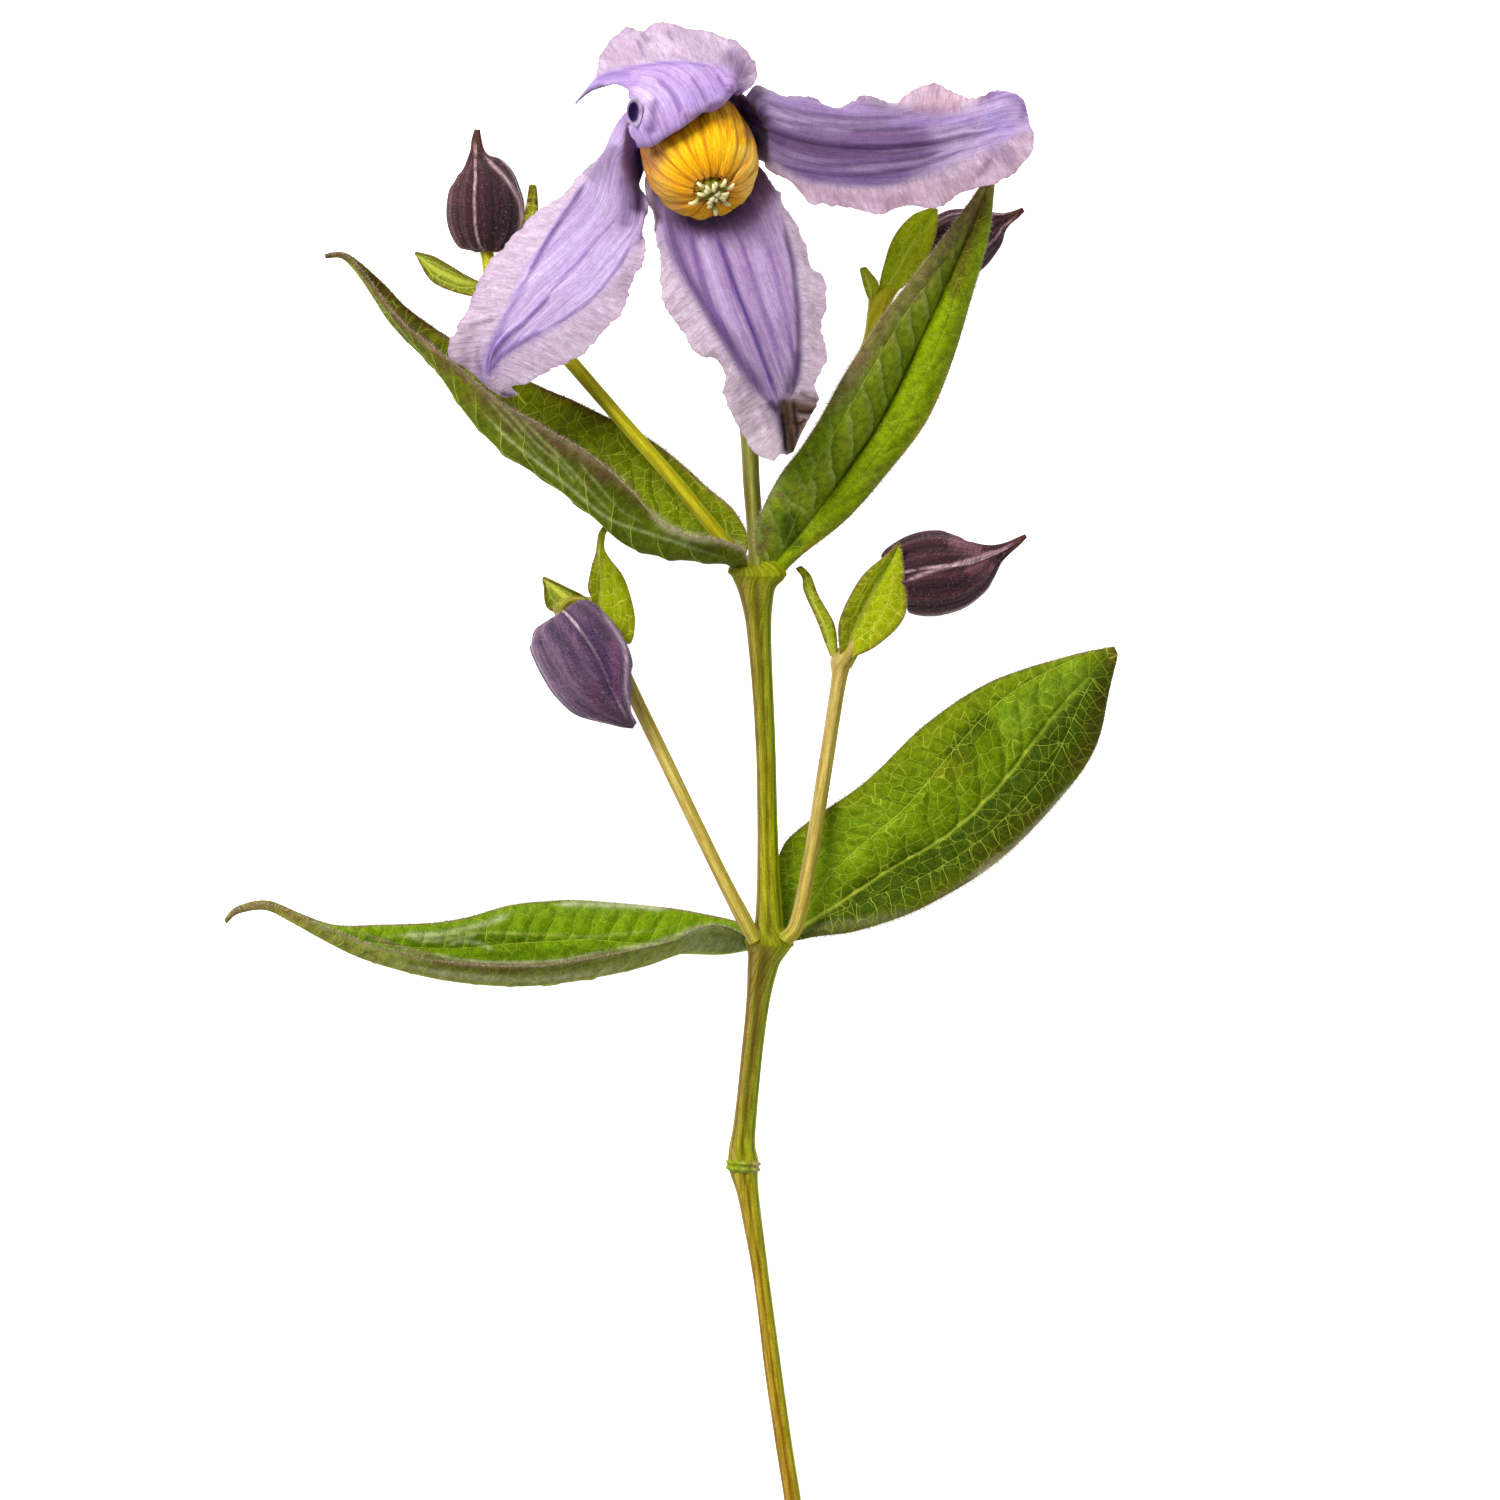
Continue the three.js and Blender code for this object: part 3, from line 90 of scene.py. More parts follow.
def smoothstep(x: Array, low: float, high: float) -> Array:
    """A soft step from 0 at low to 1 at high."""
    t = np.clip((np.asarray(x, float) - low) / (high - low), 0, 1)
    return t * t * (3 - 2 * t)


def hill(x: Array, centre: float, width: float) -> Array:
    """A bell of height one about centre."""
    return np.exp(-(((np.asarray(x, float) - centre) / width) ** 2))


def soft_noise(x: Array, y: Array, seed: int, octaves: int = 3) -> Array:
    """Repeatable noise between about -1 and 1, with cells of one unit.

    Args:
        x: first coordinates.
        y: second coordinates.
        seed: picks the pattern.
        octaves: how many finer layers it has.

    Returns:
        The noise at each place.
    """
    x, y = np.broadcast_arrays(np.asarray(x, float), np.asarray(y, float))
    total, gain, size = np.zeros(x.shape), 1.0, 0.0
    for octave in range(octaves):
        xi, yi = np.floor(x), np.floor(y)
        fx, fy = x - xi, y - yi
        fx, fy = fx * fx * (3 - 2 * fx), fy * fy * (3 - 2 * fy)

        def corner(dx: int, dy: int) -> Array:
            """The drawn value at one corner of each cell."""
            mixed = np.sin((xi + dx) * 12.9898 + (yi + dy) * 78.233 + (seed + 17 * octave) * 3.71) * 4375.85
            return 2 * (mixed - np.floor(mixed)) - 1

        low = corner(0, 0) * (1 - fx) + corner(1, 0) * fx
        high = corner(0, 1) * (1 - fx) + corner(1, 1) * fx
        total += gain * (low * (1 - fy) + high * fy)
        size += gain
        gain *= 0.5
        x, y = x * 2.03 + 5.1, y * 2.03 + 1.7
    return total / size


class SmoothCurve:
    """A smooth curve through points, in any number of dimensions."""

    def __init__(self, points: Array) -> None:
        """Keeps the points and measures the curve's length."""
        rows = np.asarray(points, float)
        self.spans = len(rows) - 1
        self.rows = np.vstack([2 * rows[:1] - rows[1:2], rows, 2 * rows[-1:] - rows[-2:-1]])
        self.steps = np.linspace(0, 1, 401)
        hops = np.linalg.norm(np.diff(self.at(self.steps), axis=0), axis=-1)
        hops = hops.reshape(len(hops), -1).mean(1)
        self.reach = np.concatenate([[0], np.cumsum(hops)])
        self.length = float(self.reach[-1])

    def at(self, t: Array) -> Array:
        """Places at even shares between the points."""
        x = np.clip(np.asarray(t, float), 0, 1) * self.spans
        k = np.minimum(np.floor(x).astype(int), self.spans - 1)
        w = (x - k).reshape(x.shape + (1,) * (self.rows.ndim - 1))
        a, b, c, d = (self.rows[k + step] for step in range(4))
        bend, twist = 2 * a - 5 * b + 4 * c - d, 3 * b - a - 3 * c + d
        return 0.5 * (2 * b + (c - a) * w + bend * w**2 + twist * w**3)

    def share(self, u: Array) -> Array:
        """The share between the points that lies at a share of the length."""
        return np.interp(np.asarray(u, float) * self.length, self.reach, self.steps)

    def along(self, u: Array) -> Array:
        """Places at even shares of the length."""
        return self.at(self.share(u))

    def tangent(self, t: Array) -> Array:
        """Directions at even shares between the points."""
        t = np.asarray(t, float)
        return unit(self.at(t + 1e-4) - self.at(t - 1e-4))


@dataclass(frozen=True)
class FlowerFrame:
    """The open flower's own frame: its receptacle and the axis that leaves it."""

    base: Array
    axis: Array

    @property
    def right(self) -> Array:
        """The direction across the axis that points to +X."""
        return unit(np.array((1.0, 0, 0)) - self.axis * self.axis[0])

    @property
    def up(self) -> Array:
        """The direction across the axis that points up the sprig."""
        return np.cross(self.axis, self.right)

    def place(self, angle: Array, radius: Array, height: Array) -> Array:
        """A place by angle in degrees, distance from the axis, and height along it."""
        turn = np.radians(np.asarray(angle, float))[..., None]
        radius, height = np.asarray(radius, float)[..., None], np.asarray(height, float)[..., None]
        return self.base + self.axis * height + radius * (self.right * np.cos(turn) + self.up * np.sin(turn))


FLOWER = FlowerFrame(seen([(2, 107.3, 23.5)])[0], unit(np.array((0.21, -0.6, 0.77))))


@dataclass(frozen=True)
class OnFlower:
    """A place in the flower's frame: angle in degrees, radius and height."""

    angle: float
    radius: float
    height: float


def places(text: str) -> tuple[object, ...]:
    """Reads places with commas between them. A place that starts with @ stands on the flower."""
    read = []
    for place in text.split(","):
        numbers = [float(part) for part in place.replace("@", "").split()]
        read.append(OnFlower(*numbers) if "@" in place else tuple(numbers))
    return tuple(read)


def rails(text: str) -> tuple[tuple[object, ...], ...]:
    """Reads the places of several rails with semicolons between them."""
    return tuple(places(part) for part in text.split(";"))


def rail(points: Sequence[object]) -> SmoothCurve:
    """The smooth curve through places that are seen or that stand on the flower."""
    rows = [
        FLOWER.place(p.angle, p.radius, p.height) if isinstance(p, OnFlower) else seen([p])[0] for p in points
    ]
    return SmoothCurve(np.array(rows))


# ---- Colours and meshes ----


def dye(code: str) -> Array:
    """A colour code as linear red, green and blue."""
    parts = np.array([int(code[k : k + 2], 16) for k in (0, 2, 4)]) / 255
    return np.where(parts <= 0.04045, parts / 12.92, ((parts + 0.055) / 1.055) ** 2.4)


def tint(base: Array, code: str, weight: Array) -> Array:
    """A painted surface with another colour laid over it, by weights from 0 to 1."""
    w = np.clip(weight, 0, 1)[..., None]
    return base * (1 - w) + dye(code) * w


def flood(shape: tuple[int, ...], code: str) -> Array:
    """A surface painted in one colour."""
    return np.broadcast_to(dye(code), (*shape, 3)).copy()


def line_reach(plane: Array, points: Sequence[Point], count: int = 30) -> tuple[Array, Array, Array]:
    """How far places lie from a smooth line, on which side of it, and beside which part.

    Args:
        plane: places as the eye sees them.
        points: the line's own points.
        count: how many straight pieces stand for it.

    Returns:
        Distances in millimetres, 1 to the left of the line or -1 to its right, and shares of its length.
    """
    line = SmoothCurve(np.asarray(points, float)).along(np.linspace(0, 1, count + 1))
    best, side, place = np.full(plane.shape[:-1], 1e9), np.zeros(plane.shape[:-1]), np.zeros(plane.shape[:-1])
    for k, (start, step) in enumerate(zip(line[:-1], np.diff(line, axis=0))):
        away = plane - start
        share = np.clip(away @ step / (step @ step), 0, 1)
        gap = np.linalg.norm(away - share[..., None] * step, axis=-1)
        nearer = gap < best
        best = np.where(nearer, gap, best)
        side = np.where(nearer, np.sign(step[0] * away[..., 1] - step[1] * away[..., 0]), side)
        place = np.where(nearer, (k + share) / count, place)
    return best, side, place


@dataclass(frozen=True)
class Stroke:
    """A line on an organ through places that the eye sees, painted on it, pressed into it, or both."""

    code: str
    width: float
    strength: float
    points: tuple[Point, ...]
    depth: float = 0.0

    def weight(self, plane: Array) -> Array:
        """How strong the stroke is at each place, from 0 to 1."""
        rows = np.asarray(self.points, float)
        low, high = rows.min(0) - 3 * self.width, rows.max(0) + 3 * self.width
        near = np.all((plane >= low) & (plane <= high), axis=-1)
        weight = np.zeros(plane.shape[:-1])
        if near.any():
            away, _, share = line_reach(plane[near], self.points)
            taper = 0.25 + 0.75 * smoothstep(np.minimum(share, 1 - share), 0, 0.14)
            weight[near] = np.exp(-((away / (self.width * taper)) ** 2)) * taper
        return weight


def strokes(text: str) -> tuple[Stroke, ...]:
    """Reads strokes with semicolons between them: colour, width, strength and any depth, then places."""
    read = []
    for part in text.split(";"):
        look, line = part.split(":")
        code, width, strength, *depth = look.split()
        read.append(Stroke(code, float(width), float(strength), places(line), *map(float, depth)))
    return tuple(read)


def overpaint(thing: Piece, shades: Sequence[Stroke]) -> None:
    """Paints strokes on the side of a piece that faces the eye; some strokes are painted shade or painted
    highlights.
    """
    mesh = thing.data
    count = len(mesh.vertices)
    points, facing = np.empty(count * 3, np.float32), np.empty(count * 3, np.float32)
    colours = np.empty(count * 4, np.float32)
    mesh.vertices.foreach_get("co", points)
    mesh.vertices.foreach_get("normal", facing)
    mesh.attributes["tint"].data.foreach_get("color", colours)
    plane = as_seen(points.reshape(-1, 3).astype(float) / MM)
    upward = smoothstep(facing.reshape(-1, 3)[:, 2], -0.05, 0.2)
    colours = colours.reshape(-1, 4).astype(float)
    for stroke in shades:
        colours[:, :3] = tint(colours[:, :3], stroke.code, stroke.strength * stroke.weight(plane) * upward)
    mesh.attributes["tint"].data.foreach_set("color", colours.astype(np.float32).ravel())


def new_piece(name: str, data: bpy.types.ID) -> Piece:
    """A new object with its data, linked to the scene."""
    thing = bpy.data.objects.new(name, data)
    bpy.context.scene.collection.objects.link(thing)
    return thing


def make_object(name: str, points: Array, faces: Array | list, layers: dict[str, Array]) -> Piece:
    """Makes a mesh object at the origin, with its place in its mesh.

    Args:
        name: the object's name.
        points: places in millimetres.
        faces: rows of four point numbers.
        layers: values for each point, by attribute name. Rows of three are colours where the name is
            tint, and vectors elsewhere.

    Returns:
        The object, linked to the scene.
    """
    mesh = bpy.data.meshes.new(name)
    mesh.from_pydata((points * MM).tolist(), [], faces.tolist() if isinstance(faces, np.ndarray) else faces)
    for layer, values in layers.items():
        values = np.asarray(values, np.float32)
        if layer == "tint":
            values = np.column_stack([np.clip(values, 0, 1), np.ones(len(values))]).astype(np.float32)
            mesh.attributes.new(layer, "FLOAT_COLOR", "POINT").data.foreach_set("color", values.ravel())
        elif values.ndim == 2:
            mesh.attributes.new(layer, "FLOAT_VECTOR", "POINT").data.foreach_set("vector", values.ravel())
        else:
            mesh.attributes.new(layer, "FLOAT", "POINT").data.foreach_set("value", values.ravel())
    mesh.update()
    mesh.shade_smooth()
    return new_piece(name, mesh)


def grid_faces(rows: int, columns: int, first: int = 0, around: bool = False, turned: bool = False) -> Array:
    """The quads of a grid of points, numbered from first. Rows may close on themselves, and faces turn."""
    i, j = np.meshgrid(np.arange(rows - 1), np.arange(columns if around else columns - 1), indexing="ij")
    k = (j + 1) % columns
    quads = np.stack([i * columns + j, i * columns + k, (i + 1) * columns + k, (i + 1) * columns + j], -1)
    quads = quads.reshape(-1, 4) + first
    return quads[:, ::-1] if turned else quads


def grid_normals(grid: Array) -> Array:
    """The directions that a grid of points faces."""
    return unit(np.cross(np.gradient(grid, axis=1), np.gradient(grid, axis=0)))


def blade_object(
    name: str, grid: Array, thickness: Array, layers: dict[str, tuple[Array, Array]]
) -> Piece:
    """A thin closed blade about a grid of points.

    Args:
        name: the object's name.
        grid: rows from base to tip, points from left to right.
        thickness: the blade's thickness at each point.
        layers: values for the upper and the under face, by attribute name.

    Returns:
        The object.
    """
    rows, columns = grid.shape[:2]
    half = grid_normals(grid) * thickness[..., None] / 2
    points = np.concatenate([(grid + half).reshape(-1, 3), (grid - half).reshape(-1, 3)])
    under = rows * columns
    number = np.arange(under).reshape(rows, columns)
    loop = np.concatenate([number[0, :-1], number[:-1, -1], number[-1, :0:-1], number[:0:-1, 0]])
    ahead = np.roll(loop, -1)
    rim = np.stack([loop, loop + under, ahead + under, ahead], -1)
    faces = np.concatenate([grid_faces(rows, columns), grid_faces(rows, columns, under, turned=True), rim])
    merged = {
        layer: np.concatenate([top.reshape(under, *top.shape[2:]), low.reshape(under, *low.shape[2:])])
        for layer, (top, low) in layers.items()
    }
    thing = make_object(name, points, faces, merged)
    thing.data.set_sharp_from_angle(angle=math.radians(70))
    return thing


@dataclass
class Sweep:
    """Frames along a path that don't twist, for tubes and buds."""

    centre: Array
    tangent: Array
    across: Array
    up: Array
    radius: Array
    share: Array
    reach: Array

    @classmethod
    def along(cls, path: Sequence[Point], count: int) -> "Sweep":
        """Carries a frame along a path of x, y, height and radius.

        Args:
            path: the path as the eye sees it, with a radius at each place.
            count: how many rings it gets.

        Returns:
            The frames, with the radius at each.
        """
        curve = SmoothCurve(seen(path))
        radii = SmoothCurve(np.asarray(path, float)[:, 3:4])
        share = np.linspace(0, 1, count)
        centre, tangent = curve.at(share), curve.tangent(share)
        across = [unit(np.cross(tangent[0], (0, 0, 1.0)))]
        for before, after in zip(tangent[:-1], tangent[1:]):
            turn = Vector(before).rotation_difference(Vector(after))
            across.append(np.array(turn @ Vector(across[-1])))
        across = np.array(across)
        reach = np.interp(share, curve.steps, curve.reach)
        return cls(centre, tangent, across, np.cross(across, tangent), radii.at(share)[:, 0], share, reach)

    def surface(self, radius: Array, turn: Array) -> Array:
        """Points round the path, by radius and by turn from 0 to 1."""
        angle = 2 * np.pi * turn[None, :, None]
        around = self.across[:, None] * np.cos(angle) + self.up[:, None] * np.sin(angle)
        return self.centre[:, None] + around * radius[..., None]

    def skin(
        self, name: str, radius: Array, turn: Array, layers: dict[str, Array], girth: float | None = None
    ) -> Piece:
        """A closed body round the path.

        Args:
            name: the object's name.
            radius: a row for each ring, a value for each turn.
            turn: the turns of the points in a ring.
            layers: values on the same grid, by attribute name.
            girth: millimetres round the body for its finish, where they don't follow the radius.

        Returns:
            The object.
        """
        across = turn[None, :] * (girth or 2 * np.pi * radius) + 0 * radius
        sheet = np.stack([across, self.reach[:, None] + 0 * radius, 0 * radius], -1)
        layers = {"surface": sheet, **layers}
        grid = self.surface(radius, turn)
        rows, columns = grid.shape[:2]
        points = np.concatenate([grid.reshape(-1, 3), grid[:1].mean(1), grid[-1:].mean(1)])
        low, high = rows * columns, rows * columns + 1
        faces = grid_faces(rows, columns, around=True, turned=True).tolist()
        last = low - columns
        for k in range(columns):
            n = (k + 1) % columns
            faces += [[low, k, n], [high, last + n, last + k]]
        merged = {}
        for layer, values in layers.items():
            flat = values.reshape(low, *values.shape[2:])
            merged[layer] = np.concatenate([flat, values[:1].mean(1), values[-1:].mean(1)])
        thing = make_object(name, points, faces, merged)
        thing.data.set_sharp_from_angle(angle=math.radians(60))
        return thing


def lathe(base: Array, right: Array, axis: Array, profile: Array) -> Sweep:
    """Frames for a body turned about an axis, from rows of height over the base and radius."""
    height, radius = np.asarray(profile, float).T
    rows = np.ones((len(height), 1))
    reach = np.concatenate([[0], np.cumsum(np.hypot(np.diff(height), np.diff(radius)))])
    up = np.cross(right, axis)
    centre, share = base + axis * height[:, None], reach / reach[-1]
    return Sweep(centre, axis * rows, right * rows, up * rows, radius, share, reach)


def turned_on_flower(profile: Array) -> Sweep:
    """Frames for a body turned about the flower's axis."""
    return lathe(FLOWER.base, FLOWER.right, FLOWER.axis, profile)


# ---- Finishes ----


RELIEF_DEPTH = 0.0003
HALF_TURN = 3.14


class Bench:
    """Lays out a node tree: each call adds a node and wires it up."""

    def __init__(self, tree: Tree) -> None:
        """Keeps the tree that it works on."""
        self.tree = tree

    def add(self, kind: str, inputs: dict[object, object] | None = None, **settings: object) -> Node:
        """Adds a node.

        Args:
            kind: the node's type.
            inputs: values or output sockets, by input name or number.
            settings: the node's own properties.

        Returns:
            The node.
        """
        node = self.tree.nodes.new(kind)
        for key, value in settings.items():
            setattr(node, key, value)
        for key, value in (inputs or {}).items():
            socket = node.inputs[key]
            if isinstance(value, Socket):
                self.tree.links.new(value, socket)
            else:
                socket.default_value = value
        return node

    def math(self, operation: str, *values: object) -> Socket:
        """A sum of numbers or sockets."""
        inputs = dict(enumerate(values))
        return self.add("ShaderNodeMath", inputs, operation=operation).outputs[0]

    def vector(self, operation: str, *values: object) -> Socket:
        """A sum of vectors or sockets."""
        return self.add("ShaderNodeVectorMath", dict(enumerate(values)), operation=operation).outputs[0]

    def layer(self, base: Socket, over: object, weight: object, kind: str = "MIX") -> Socket:
        """One colour laid over another, by weight."""
        inputs = {0: weight, 6: base, 7: over}
        return self.add("ShaderNodeMix", inputs, data_type="RGBA", blend_type=kind).outputs[2]

    def ramp(self, value: Socket, low: float, high: float, start: float = 0, end: float = 1) -> Socket:
        """A value carried softly from one range to another."""
        inputs = {0: value, 1: low, 2: high, 3: start, 4: end}
        return self.add("ShaderNodeMapRange", inputs, interpolation_type="SMOOTHSTEP").outputs[0]

    def noise(self, place: Socket, scale: float, detail: float, output: str = "Fac") -> Socket:
        """A soft noise over the surface."""
        inputs = {"Vector": place, "Scale": scale, "Detail": detail}
        return self.add("ShaderNodeTexNoise", inputs).outputs[output]

    def carried(self, name: str, output: str) -> Socket:
        """A value that the mesh carries."""
        return self.add("ShaderNodeAttribute", attribute_name=name).outputs[output]

    def draw(self, low: object, high: object, seed: object) -> Socket:
        """A seeded value between two others."""
        inputs = {2: low, 3: high, "Seed": seed}
        return self.add("FunctionNodeRandomValue", inputs, data_type="FLOAT").outputs[1]


def paint_value(code: str) -> tuple[float, ...]:
    """A colour code as the value of a colour socket."""
    return (*(float(part) for part in dye(code)), 1.0)


@dataclass(frozen=True)
class Grain:
    """A stretched noise that shades or tints a surface.

    Fields: cells across and along in cells per millimetre, the colour, how strong it is, how far it
    sinks the surface, where it shows, and whether it is laid over the paint instead of shading it.
    """

    across: float
    along: float
    colour: str
    strength: float
    relief: float = 0.0
    where: str = "all"
    over: bool = False


@dataclass(frozen=True)
class Net:
    """A net of fine veins: size of its cells in millimetres, its colour, strength and relief."""

    cell: float
    colour: str
    strength: float
    relief: float = 0.0
    width: float = 0.07


@dataclass(frozen=True)
class Finish:
    """How an organ's surface takes light. The colour itself is painted on its mesh."""

    name: str
    slot: str
    roughness: float
    shine: float = 0.4
    sheen: float = 0.0
    sheen_colour: str = "ffffff"
    through: float = 0.0
    sheer: float = 0.0
    through_colour: str = "ffffff"
    grains: tuple[Grain, ...] = ()
    nets: tuple[Net, ...] = ()
    vein: str = ""
    relief: float = 0.4

    def material(self) -> bpy.types.Material:
        """The material, built at its first use."""
        return bpy.data.materials.get(self.name) or self.build()

    def build(self) -> bpy.types.Material:
        """Builds the material, which reads the mesh's tint, surface, edge and vein values."""
        material = bpy.data.materials.new(self.name)
        material.use_nodes = True
        material.node_tree.nodes.clear()
        bench = Bench(material.node_tree)
        place, edge = bench.carried("surface", "Vector"), bench.carried("edge", "Fac")
        inner = bench.math("SUBTRACT", 1.0, edge)
        colour, heights = self.lay_grains(bench, bench.carried("tint", "Color"), place, edge, inner)
        if self.vein:
            reach = bench.vector("ABSOLUTE", bench.carried("veins", "Vector"))
            parts = bench.add("ShaderNodeSeparateXYZ", {0: reach}).outputs
            nearest = bench.math("MINIMUM", bench.math("MINIMUM", parts[0], parts[1]), parts[2])
            line = bench.ramp(nearest, 0.08, 0.3, 1, 0)
            colour = bench.layer(colour, paint_value(self.vein), bench.math("MULTIPLY", line, 0.75))
            heights.append(bench.math("MULTIPLY", line, -0.5))
        for net in self.nets:
            wander = bench.noise(place, 0.7 / net.cell, 2.0, "Color")
            shifted = bench.vector("ADD", place, bench.vector("MULTIPLY", wander, (0.16 * net.cell,) * 3))
            inputs = {"Vector": shifted, "Scale": 1 / net.cell}
            cells = bench.add("ShaderNodeTexVoronoi", inputs, feature="DISTANCE_TO_EDGE")
            line = bench.math("MULTIPLY", bench.ramp(cells.outputs["Distance"], 0.0, net.width, 1, 0), inner)
            colour = bench.layer(colour, paint_value(net.colour), bench.math("MULTIPLY", line, net.strength))
            heights.append(bench.math("MULTIPLY", line, -net.relief))
        fine = bench.noise(place, 3.2, 4.0)
        shade = bench.ramp(fine, 0.3, 0.7, 0.9, 1.08)
        grey = bench.add("ShaderNodeCombineColor", {0: shade, 1: shade, 2: shade}).outputs[0]
        colour = bench.layer(colour, grey, 1.0, "MULTIPLY")
        height = bench.math("MULTIPLY", fine, 0.12)
        for extra in heights:
            height = bench.math("ADD", height, extra)
        inputs = {"Strength": self.relief, "Distance": RELIEF_DEPTH, "Height": height}
        normal = bench.add("ShaderNodeBump", inputs).outputs[0]
        self.end(bench, colour, normal, edge)
        return material

    def lay_grains(
        self, bench: Bench, colour: Socket, place: Socket, edge: Socket, inner: Socket
    ) -> tuple[Socket, list[Socket]]:
        """Lays the grains over a colour, and returns it with the height that each of them adds."""
        heights = []
        for grain in self.grains:
            stretched = bench.vector("MULTIPLY", place, (grain.across, grain.along, 1))
            value = bench.ramp(bench.noise(stretched, 1.0, 3.0), 0.38, 0.66)
            weight = bench.math("MULTIPLY", value, grain.strength)
            if grain.where != "all":
                weight = bench.math("MULTIPLY", weight, edge if grain.where == "edge" else inner)
            kind = "MIX" if grain.over else "MULTIPLY"
            colour = bench.layer(colour, paint_value(grain.colour), weight, kind)
            if grain.relief:
                heights.append(bench.math("MULTIPLY", weight, -grain.relief / grain.strength))
        return colour, heights

    def end(self, bench: Bench, colour: Socket, normal: Socket, edge: Socket) -> None:
        """Joins the colour and the normal into the surface, which lets light through where it is thin."""
        values = {
            "Base Color": colour, "Roughness": self.roughness, "Specular IOR Level": self.shine,
            "Sheen Weight": self.sheen, "Sheen Roughness": 0.45, "Sheen Tint": paint_value(self.sheen_colour),
            "Normal": normal,
        }
        surface = bench.add("ShaderNodeBsdfPrincipled", values).outputs[0]
        if self.through:
            warm = bench.layer(colour, paint_value(self.through_colour), 0.5, "MULTIPLY")
            glow = bench.add("ShaderNodeBsdfTranslucent", {"Color": warm, "Normal": normal}).outputs[0]
            amount = self.through
            if self.sheer:
                amount = bench.math("ADD", self.through, bench.math("MULTIPLY", edge, self.sheer))
            surface = bench.add("ShaderNodeMixShader", {0: amount, 1: surface, 2: glow}).outputs[0]
        bench.add("ShaderNodeOutputMaterial", {0: surface})


LEAF = Finish(
    "leaf_blade", "leaf", 0.6, shine=0.05, through=0.35, through_colour="f0ff30",
    grains=(
        Grain(0.12, 0.12, "b0c070", 0.4), Grain(0.9, 0.9, "a8b460", 0.5, 0.3),
        Grain(3.4, 3.4, "b0bc70", 0.4, 0.2),
    ),
    nets=(Net(2.3, "cdd94a", 0.7, 0.2, 0.028), Net(0.8, "b3c23c", 0.22, 0.15, 0.06)),
    vein="c3d04a", relief=0.6,
)
BRACT = Finish(
    "bract_blade", "bract", 0.6, shine=0.05, through=0.4, through_colour="fbff45",
    grains=(Grain(0.5, 0.12, "c0cc80", 0.4), Grain(1.5, 1.0, "b0bc70", 0.4)),
    nets=(Net(1.5, "e4e65c", 0.6, 0.3, 0.045),),
    vein="dde060", relief=0.5,
)
SEPAL = Finish(
    "sepal_skin", "sepal", 0.5, shine=0.08, sheen=0.1, sheen_colour="fff0ff", through=0.34, sheer=0.36,
    through_colour="fff2fc",
    grains=(
        Grain(1.1, 0.05, "b898c8", 0.35, 0.2, "band"), Grain(3.2, 0.14, "c8acd8", 0.4, 0.15, "band"),
        Grain(0.3, 1.6, "e2d8dc", 0.5, 0.6, "edge"), Grain(0.6, 4.2, "e8dee2", 0.45, 0.3, "edge"),
        Grain(1.0, 0.7, "d8c4e0", 0.3),
    ),
    relief=0.6,
)
DARK_BUD = Finish(
    "dark_bud_felt", "dark_bud", 0.62, shine=0.12, sheen=0.12, sheen_colour="caa0b0",
    grains=(
        Grain(2.6, 0.22, "704c5c", 0.6, 0.5), Grain(1.6, 1.1, "a87c8c", 0.5),
        Grain(6, 4, "8d6a78", 0.1, 0.3, over=True),
    ),
    relief=0.7,
)
VIOLET_BUD = Finish(
    "violet_bud_felt", "violet_bud", 0.62, shine=0.12, sheen=0.15, sheen_colour="d5c3d8",
    grains=(
        Grain(2.4, 0.2, "8c6c94", 0.6, 0.5), Grain(1.4, 1.1, "b090b0", 0.5),
        Grain(6, 4, "a795b0", 0.12, 0.3, over=True),
    ),
    relief=0.7,
)
STEM = Finish(
    "stem_rind", "stem", 0.6, shine=0.05, through=0.08, through_colour="e8f060",
    grains=(
        Grain(3.2, 0.12, "a8a060", 0.6, 0.5), Grain(1.8, 0.3, "c8c480", 0.5),
        Grain(5, 2.5, "b0ac70", 0.3, 0.2),
    ),
    relief=0.5,
)
STALK = Finish(
    "stalk_rind", "stalk", 0.6, shine=0.05, through=0.12, through_colour="f6f090",
    grains=(Grain(3.4, 0.12, "c0b070", 0.6, 0.5), Grain(2, 0.5, "e0d090", 0.4)),
    relief=0.45,
)
STRAP = Finish(
    "stamen_strap", "stamens", 0.6, shine=0.08, sheen=0.1, sheen_colour="fff0b0", through=0.2,
    through_colour="ffd860",
    grains=(Grain(2.6, 0.25, "d89030", 0.6, 0.5), Grain(0.5, 0.3, "e8a858", 0.5)),
    relief=0.5,
)
STYLE = Finish(
    "style_tip", "pistils", 0.5, shine=0.2, through=0.25, through_colour="fff8d0",
    grains=(Grain(3, 0.8, "d0c890", 0.5, 0.3),),
    relief=0.4,
)
PALE_HAIR = Finish("pale_hair", "leaf", 0.6, shine=0.2, through=0.3)
BUD_HAIR = Finish("bud_hair", "dark_bud", 0.6, shine=0.2, through=0.3)


def settle(thing: Piece, finish: Finish, replaces: Sequence[str] = ()) -> Piece:
    """Dresses a piece, fixes it to the sprig and hides the solids that it stands for."""
    thing.data.materials.clear()
    thing.data.materials.append(finish.material())
    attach(thing, BODY)
    if replaces:
        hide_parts(*replaces)
    log.info("%s: %d faces, %s", thing.name, len(thing.data.polygons), finish.name)
    return thing


# ---- Geometry Nodes: rows of hairs, felt and rings of repeats ----


class TreeInput(Enum):
    """Kinds of named input that a node tree here can have."""

    NUMBER = "NodeSocketFloat"
    COUNT = "NodeSocketInt"
    FINISH = "NodeSocketMaterial"
    SHAPE = "NodeSocketObject"


